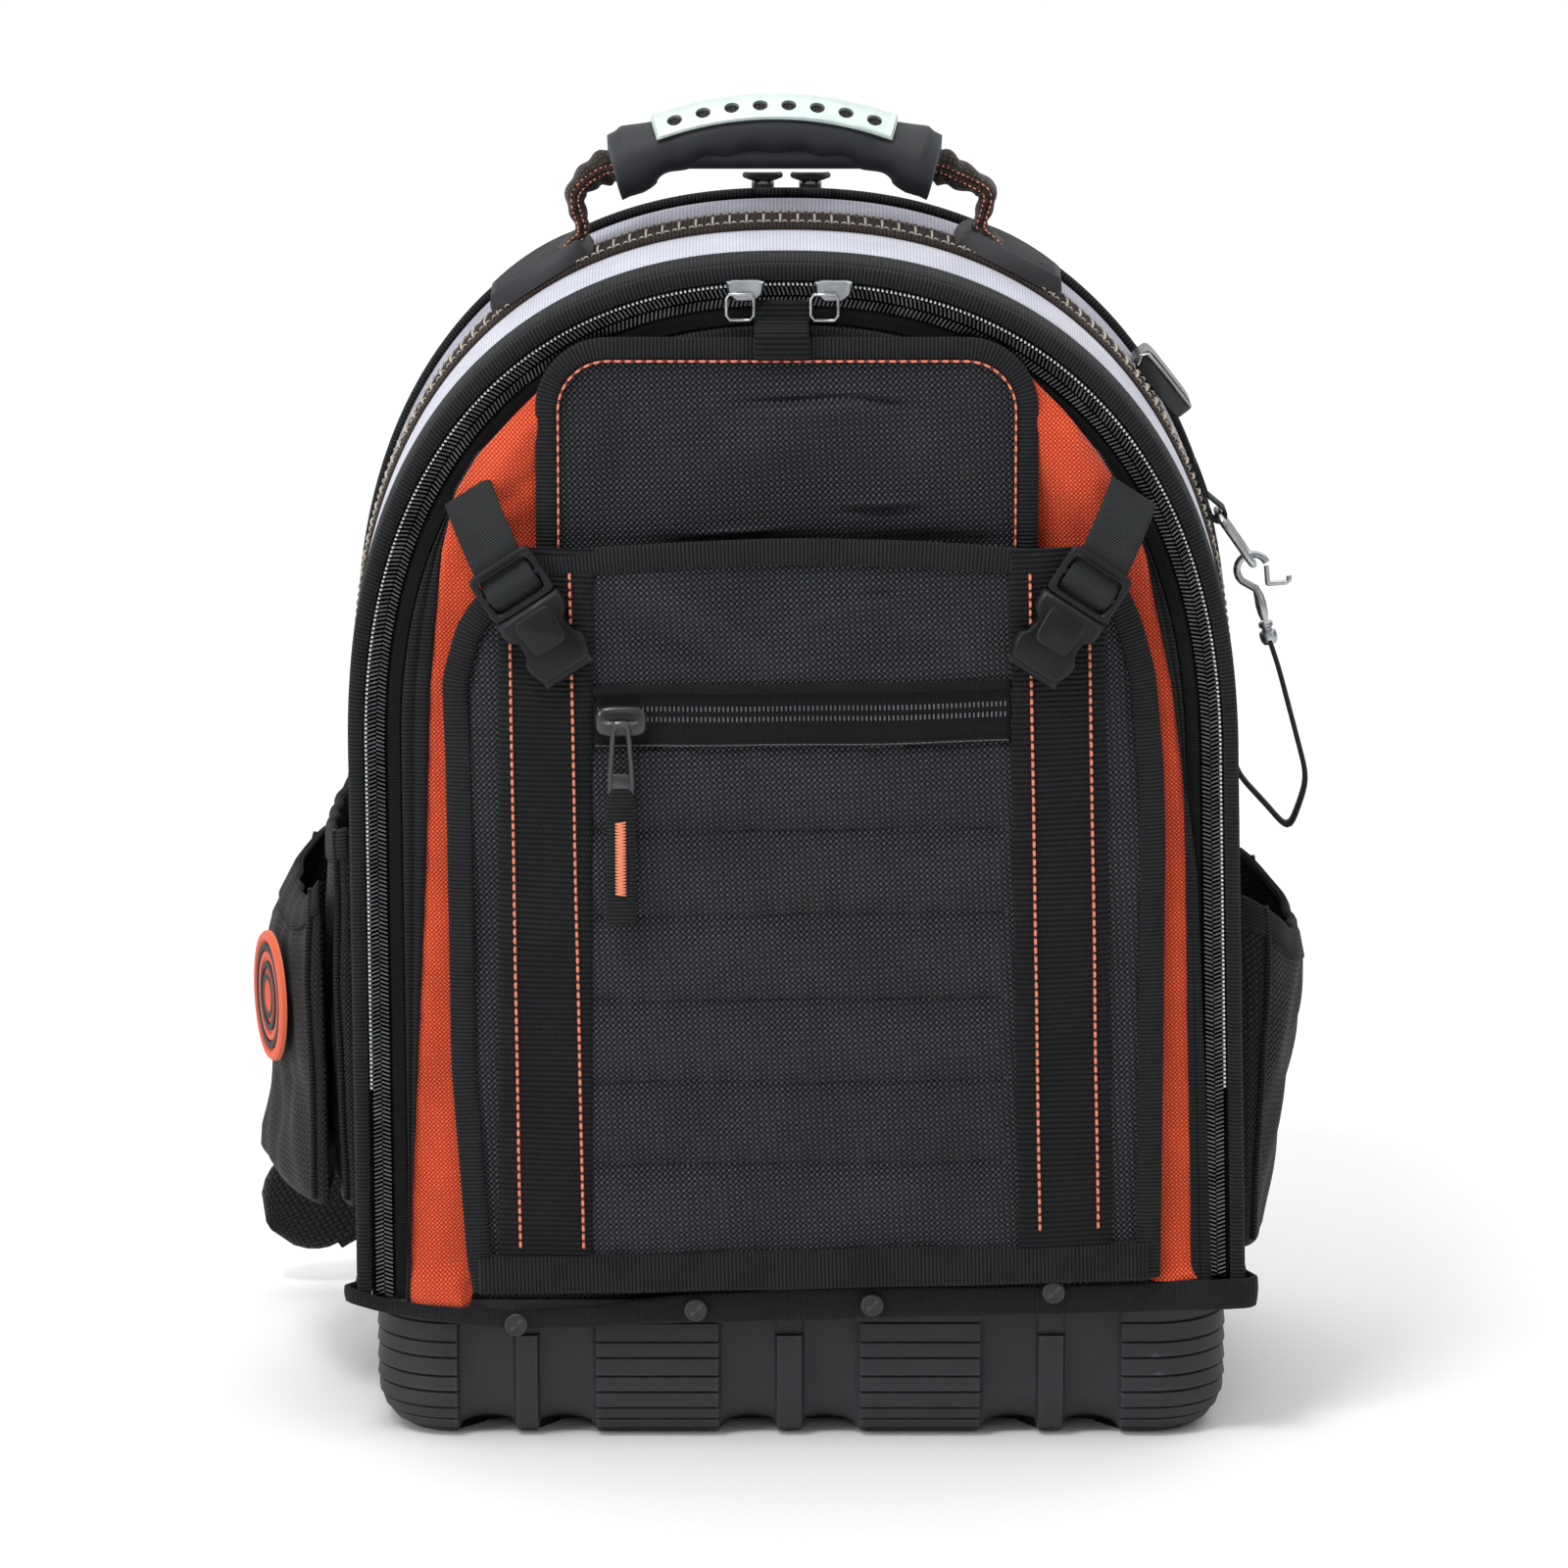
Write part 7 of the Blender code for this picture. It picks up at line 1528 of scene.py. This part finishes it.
def cloth_cup(name, side, seat_lift, reach, low, high, drop, half_deep, table, node, skew=0.0):
    """A sewn pocket that stands (1 - |t|^3.2)^0.62 off the flank, t from -1 in front to 1 behind: a floor
    and a swelling wall. drop is how far its mouth dips outwards, skew how much more it swells behind."""
    t = np.linspace(-1.0, 1.0, 61)
    plan = (1 - np.abs(t) ** 3.2) ** 0.62
    rows = [(part, 0.0016 * (1 - part), table[0][1]) for part in (0.02, 0.4, 0.75, 0.94)]
    steps = np.linspace(0.0, 1.0, 60)
    rows += [(1.0, step, swell) for step, swell in zip(steps, np.interp(steps, *np.transpose(table)))]
    grid = []
    for part, step, grown in rows:
        top = high - drop * plan ** 1.5
        z = low + (top - low) * step
        ripple = 0.0011 * np.sin(t * 9 + z * 60) * np.sin(np.pi * step)
        ripple += 0.0007 * np.sin(t * 17 - z * 110) * (step > 0.02)
        sagged = grown * (1 + 0.02 * np.sin(z * 95 + t * 2))
        x = flank_x(z, seat_lift, side, POUCH_MIDDLE + half_deep) + (reach * sagged * (1 + skew * t)
                                                                     + ripple) * plan * part
        grid.append(np.stack([side * x, POUCH_MIDDLE + half_deep * t * (0.5 + 0.5 * part), z], 1))
    grid = np.stack(grid)
    cloth = surface(name, grid, shaded_side_nylon, thick=0.0016, sharp=60)
    belongs(cloth, node)
    out_way = np.column_stack([side * plan, t * 0.35, np.zeros_like(t)])
    out_way /= np.linalg.norm(out_way, axis=1, keepdims=True) + 1e-9
    hem_rows = []
    for drop_z, lift in ((0.0030, -0.0024), (0.0004, -0.0024), (-0.0006, -0.0010), (-0.0004, 0.0006),
                         (0.0014, 0.0014), (0.0060, 0.0015), (0.0110, 0.0014), (0.0122, 0.0004)):
        share_down = min(1.0, max(0.0, drop_z / np.abs(grid[-1, 30, 2] - grid[-8, 30, 2])))
        row = grid[-1] + (grid[-8] - grid[-1]) * share_down + out_way * lift
        row[:, 2] = grid[-1, :, 2] - drop_z
        hem_rows.append(row)
    hem = surface(name + "_hem", np.stack(hem_rows), black_grosgrain, thick=0.0005, sharp=70)
    rides([hem])
    seams = []
    for edge in (2, -3):
        seams.append(tube(name + ("_front_seam" if edge > 0 else "_rear_seam"),
                          grid[5:, edge] + (side * 0.0012, 0, 0), 0.0013, black_grosgrain, 8, 70))
    rides(seams)
    return grid


POUCH_MIDDLE = -0.012
SLEEVE_SWELL = ((0.0, 0.80), (0.2, 0.95), (0.5, 1.02), (0.8, 0.95), (1.0, 0.80))
POUCH_SWELL = ((0.0, 0.97), (0.05, 1.09), (0.12, 1.08), (0.24, 0.96), (0.37, 0.87), (0.52, 0.96),
               (0.70, 0.98), (0.85, 0.84), (1.0, 0.48))
cloth_cup("left_sleeve", -1, 0.0024, 0.0108, 0.0870, 0.2400, 0.006, 0.0590, SLEEVE_SWELL, "side_sleeve_left")
pouch_grid = cloth_cup("left_pouch", -1, 0.0142, 0.0242, 0.0870, 0.2180, 0.015, 0.0550, POUCH_SWELL,
                       "side_pouch_left", skew=0.55)
badge_profile = [(0.0, 0.0016), (0.0060, 0.0016), (0.0066, 0.0022), (0.0090, 0.0022), (0.0096, 0.0015),
                 (0.0150, 0.0015), (0.0156, 0.0021), (0.0176, 0.0021), (0.0182, 0.0014), (0.0216, 0.0014),
                 (0.0226, 0.0026), (0.0250, 0.0026), (0.0260, 0.0016), (0.0261, 0.0), (0.0, 0.0)]
# Moulded orange rubber: matt, paler along its raised rings.
badge_rubber = moulded("orange_rubber", "#E2552B", "#B93C18", 0.0010, 0.55, 0.00006, wear="#F08058")
badge_turn = math.radians(16)
badge_way = (-math.cos(badge_turn), -math.sin(badge_turn), 0.0)
badge_side = (-math.sin(badge_turn), math.cos(badge_turn), 0.0)
badge_seat = pouch_grid[42, 24] - (0.0006, 0.0, 0.0)
badge_grid = turned(badge_profile, 72, badge_seat, badge_way, badge_side)
badge = surface("ring_badge", badge_grid, badge_rubber, wrap_columns=True, sharp=30)
belongs(badge, "pouch_badge")
# Three thin black rings on the badge: one on its inner raised ring and two in the grooves beyond it.
dark_rings = []
for radius in (0.0078, 0.0126, 0.0198):
    dark_ring_profile = [(radius - 0.0014, 0.0012), (radius - 0.0012, 0.0024), (radius + 0.0012, 0.0024),
                     (radius + 0.0014, 0.0012)]
    dark_ring_grid = turned(dark_ring_profile, 64, badge_seat, badge_way, badge_side)
    dark_rings.append(surface("badge_ring_" + str(len(dark_rings)), dark_ring_grid, cord_black, wrap_rows=True,
                          wrap_columns=True, sharp=30))
rides(dark_rings)

# Right side: one open sleeve, narrow at the foot, its mouth folded over and sewn.
RIGHT_SWELL = ((0.0, 0.40), (0.25, 0.62), (0.5, 0.86), (0.75, 1.05), (0.9, 1.12), (1.0, 1.02))
cloth_cup("right_sleeve", 1, 0.0024, 0.0235, 0.0685, 0.2110, 0.022, 0.0495, RIGHT_SWELL, "side_sleeve_right")


# Right shoulder: a black plate with a bright folded edge on the gusset, and below it a webbing keeper
# that holds a long wire ring; a snap hook hangs in the ring on its own swivel and a flat tether.

clip_rings = ((0.0006, -0.0110), (0.0, -0.0104), (0.0, 0.0104), (0.0006, 0.0110))
clip_plate = slab("clip_plate", soft_box(0.0148, 0.0045, -0.0045, 6), clip_rings, (0.1432, 0.0200, 0.4030),
                  (0.615, 0.0, -0.788), (0.788, 0.0, 0.615), lacquer)
belongs(clip_plate, "clip_tab")
clip_edge = tube("clip_edge", [(0.1330, 0.0088, 0.4108), (0.1345, 0.0084, 0.4145), (0.1372, 0.0082, 0.4150),
                               (0.1440, 0.0082, 0.4070), (0.1540, 0.0082, 0.3942)], 0.0009, steel_wire)
rides([clip_edge])

WIRE, HOOK_BEND, HOOK_STEM = 0.0030, 0.0062, 0.0208   # wire thickness, the bend's radius, the stem's end
RING_LONG, TETHER_HALF = 0.0245, 0.0042
tilt = math.radians(35.0)
ring_way = np.array([math.sin(tilt), 0.0, -math.cos(tilt)])
ring_top = np.array([float(flank_x(0.353, 0.0019, 1)) + 0.0051, 0.0, 0.353])
plan_ring = [(0, -0.0075), (0, 0.0075), (0.0012, 0.0103), (0.004, 0.0115), (0.0205, 0.01035),
             (0.0233, 0.0090), (0.0245, 0.0060), (0.0245, -0.0060), (0.0233, -0.0090), (0.0205, -0.01035),
             (0.004, -0.0115), (0.0012, -0.0103)]
ring_path = even_line(np.array([ring_top + ring_way * a + (0, b, 0) for a, b in plan_ring]), 0.0011,
                      closed=True)
for _ in range(3):
    ring_path = (np.roll(ring_path, 1, 0) + 2 * ring_path + np.roll(ring_path, -1, 0)) / 4
ring_piece = tube("wire_ring", ring_path, WIRE / 2, steel_wire, 12, 60,
                  up=np.cross(ring_way, (0.0, 1.0, 0.0)), closed=True)
belongs(ring_piece, "side_ring")
angles = np.radians(np.linspace(170, 400, 26))
keeper_line = np.concatenate([
    [[float(flank_x(z, 0.0026, 1)), z] for z in np.linspace(0.3740, 0.3605, 8)],
    np.column_stack([ring_top[0] + 0.0024 * np.cos(angles), ring_top[2] + 0.0024 * np.sin(angles)]),
    [[float(flank_x(z, 0.0044, 1)), z] for z in np.linspace(0.3600, 0.3735, 8)]])
keeper_y = 0.0072 * np.array([-1.0, -0.95, -0.6, 0.0, 0.6, 0.95, 1.0])
keeper_grid = np.stack(np.broadcast_arrays(keeper_line[:, None, 0], keeper_y[None, :],
                                           keeper_line[:, None, 1]), 2)
keeper = surface("keeper_webbing", keeper_grid, strap_webbing, thick=0.0010, sharp=70)
belongs(keeper, "ring_keeper")

jaw = ring_top + ring_way * RING_LONG - (0.0, 0.0, HOOK_BEND - WIRE - FIT)
lean_turn = math.radians(14)
axis = np.array([math.sin(lean_turn), 0.0, -math.cos(lean_turn)])
side_way = np.array([-axis[2], 0.0, axis[0]])
sweep = np.radians(np.linspace(15, 215, 26))
hook_path = [jaw + side_way * HOOK_BEND * math.cos(a) - axis * HOOK_BEND * math.sin(a) for a in sweep]
hook_path += [jaw + axis * 0.00775 - side_way * 0.0006, jaw + axis * 0.0110, jaw + axis * 0.0143,
              jaw + axis * 0.0180, jaw + axis * HOOK_STEM]
hook_radius = [WIRE / 2] * 26 + [0.0016, 0.0020, 0.0023, 0.0021, WIRE / 2]
hook = tube("snap_hook", hook_path, hook_radius, steel_wire, 12, 60)
belongs(hook, "hook_body", "hook")
pivot = jaw + axis * 0.00806 + side_way * 0.0033
tip = np.array(hook_path[0]) + axis * 4.5 * FIT - side_way * FIT
lever = pivot + side_way * 0.0100
gate_path = even_line(np.array([lever - axis * 0.0022, lever - axis * 0.0006, lever + side_way * -0.0016
                                + axis * 0.0002, pivot + side_way * 0.0012 - axis * 0.0010, tip]), 0.0006)
gate = tube("thumb_gate", gate_path, 0.00105, steel_wire, 10, 60)
belongs(gate, "hook_gate", "gate")
eye = jaw + axis * (HOOK_STEM + 2 * FIT)
eye_profile = [(0.0, 0.0), (0.0022, 0.0), (0.0029, 0.0006), (0.0029, 0.0022), (0.0020, 0.0028),
               (0.0020, 0.0036), (0.0034, 0.0044), (0.0036, 0.0060), (0.0034, 0.0080), (0.0026, 0.0094),
               (0.0, 0.0095)]
eye_grid = turned(eye_profile, 24, eye, axis, (0.0, 1.0, 0.0))
swivel = surface("swivel_crimp", eye_grid, steel_wire, wrap_columns=True, sharp=40)
belongs(swivel, "swivel_eye")

start = eye + axis * 0.0080
end_z = start[2] - 0.0330
knots = np.array([start, start + axis * 0.010 + (0.001, 0, 0), (start[0] + 0.0088, 0, start[2] - 0.0296),
                  (start[0] + 0.0160, 0, start[2] - 0.0562), (start[0] + 0.0088, 0, start[2] - 0.0780),
                  (start[0] + 0.0013, 0, start[2] - 0.0686),
                  (float(flank_x(end_z - 0.02, 0.0030, 1)) + 0.0010, 0, end_z - 0.020),
                  (float(flank_x(end_z, 0.0036, 1)), 0, end_z),
                  (float(flank_x(end_z + 0.008, 0.0036, 1)), 0, end_z + 0.008)])
tether_path = even_line(eased(even_line(knots, 0.0012), 30), 0.0016)
tether_way = unit(np.gradient(tether_path, axis=0))
flat_way = np.cross(tether_way, (0.0, 1.0, 0.0))
half = np.array([(-1, 0), (-0.92, 0.8), (-0.5, 1), (0, 1), (0.5, 1), (0.92, 0.8), (1, 0), (0.92, -0.8),
                 (0.5, -1), (0, -1), (-0.5, -1), (-0.92, -0.8)])
tether_grid = (tether_path[:, None, :] + flat_way[:, None, :] * (half[:, 1] * 0.0010)[None, :, None]
               + np.array([0.0, 1.0, 0.0]) * (half[:, 0] * TETHER_HALF)[None, :, None])
tether = surface("tether_webbing", tether_grid, strap_webbing, wrap_columns=True, caps=True, sharp=70)
belongs(tether, "tether_strap")


# Back: a quilted back pad with a middle channel on a nylon panel, and two padded shoulder straps that
# hang from the crown; their covers are black mesh over foam, edged with binding.

ring = arch(even_stations(220, depth=0.0985), 0.0006, 0.0985)
ring = np.concatenate([ring, np.linspace(ring[-1], ring[0], 62)[1:-1]])
middle = np.array([bag_lean(0.25), 0.0990, 0.24])
shares = np.concatenate([[0.001], np.linspace(0.06, 1.0, 14)])
back_grid = middle + (ring[None, :, :] - middle) * shares[:, None, None]
back_uv = np.concatenate([back_grid, back_grid[:, :1]], 1)[:, :, [0, 2]]
back_cloth = surface("back_cloth", back_grid, body_nylon, wrap_columns=True, thick=0.0024, uv=back_uv)
belongs(back_cloth, "back_panel")

# Polyester spacer mesh: open black knit with dull threads.
mesh_cloth = woven("spacer_mesh", "#2A2C2A", "#030303", 0.0026, 0.00060, rough=0.85, sheen=0.15, mottle=0.12)
up = np.linspace(0.0, 1.0, 120)[:, None]
t = np.linspace(-1.0, 1.0, 110)[None, :]
z = 0.0792 + 0.3300 * up
half = 0.1722 * np.interp(z, [0.079, 0.112, 0.233, 0.335, 0.391, 0.4095],
                          [0.74, 0.80, 0.78, 0.70, 0.56, 0.44])
x = bag_lean(z) + half * t
border = np.clip(np.minimum(1 - np.abs(t), np.minimum(up, 1 - up) * 2) / 0.10, 0, 1) ** 0.5
channel = 1 - 0.60 * np.exp(-(x / 0.012) ** 4)
rolls = 0.65 + 0.35 * np.abs(np.sin(np.pi * up * 5.0)) ** 0.4
pad_y = 0.1003 + 0.0112 * border * channel * rolls
pad_grid = np.stack([x, pad_y, np.broadcast_to(z, x.shape)], 2)
back_pad = surface("back_pad_cover", pad_grid, mesh_cloth, uv=pad_grid[:, :, [0, 2]])
belongs(back_pad, "back_pad")

STRAP_LEFT = ((0.955, 0.20, 0.0), (0.90, 0.26, 0.5), (0.70, 0.42, 1.1), (0.48, 0.52, 1.2), (0.28, 0.62, 0.9),
              (0.145, 0.90, 0.6), (0.058, 1.30, 0.5))
STRAP_RIGHT = ((0.955, 0.22, 0.0), (0.90, 0.28, 0.5), (0.70, 0.42, 1.1), (0.48, 0.50, 1.2), (0.28, 0.56, 0.9),
               (0.15, 0.66, 0.5), (0.08, 0.74, 0.3))
for label, side, table in (("left", -1, STRAP_LEFT), ("right", 1, STRAP_RIGHT)):
    knots = np.array([(side * out * FOOT_HALF_WIDTH, 0.1108 if height > 0.94 else 0.1177 + stand * 0.014,
                       height * BODY_TOP) for height, out, stand in table])
    path = even_line(eased(even_line(knots, 0.004), 40), 0.0042)
    way = unit(np.gradient(path, axis=0))
    along = np.linspace(0, 1, len(path))
    width = 0.0304 * (0.72 + 0.28 * np.sin(np.pi * np.minimum(1.0, along * 1.25 + 0.1)) ** 0.7)
    width *= np.sqrt(np.clip(1.02 - np.clip((along - 0.955) / 0.045, 0, 1) ** 2, 0, 1))
    cross_way = unit(np.cross(way, (0.0, 1.0, 0.0)))
    face_way = np.cross(cross_way, way)
    angle = np.linspace(0, 2 * math.pi, 56, endpoint=False)
    a = np.sign(np.cos(angle)) * np.abs(np.cos(angle)) ** 0.55
    b = np.sign(np.sin(angle)) * np.abs(np.sin(angle)) ** 0.75
    plump = 0.0066 * (1 - 0.22 * np.abs(np.cos(np.pi * along * 6)) ** 8)[:, None]
    strap_grid = (path[:, None, :] + cross_way[:, None, :] * (width[:, None] * a[None, :])[:, :, None]
                  + face_way[:, None, :] * (plump * b[None, :])[:, :, None])
    pad = surface("shoulder_pad_" + label, strap_grid, mesh_cloth, wrap_columns=True, caps=True, sharp=70)
    belongs(pad, "shoulder_strap_" + label)
    edges = []
    for sign in (-1, 1):
        line = (path + cross_way * (width * sign)[:, None])[along < 0.965]
        edges.append(tube("strap_binding_" + label + ("_out" if sign > 0 else "_in"), line, 0.0030,
                          black_grosgrain, 10, 70))
    rides(edges)
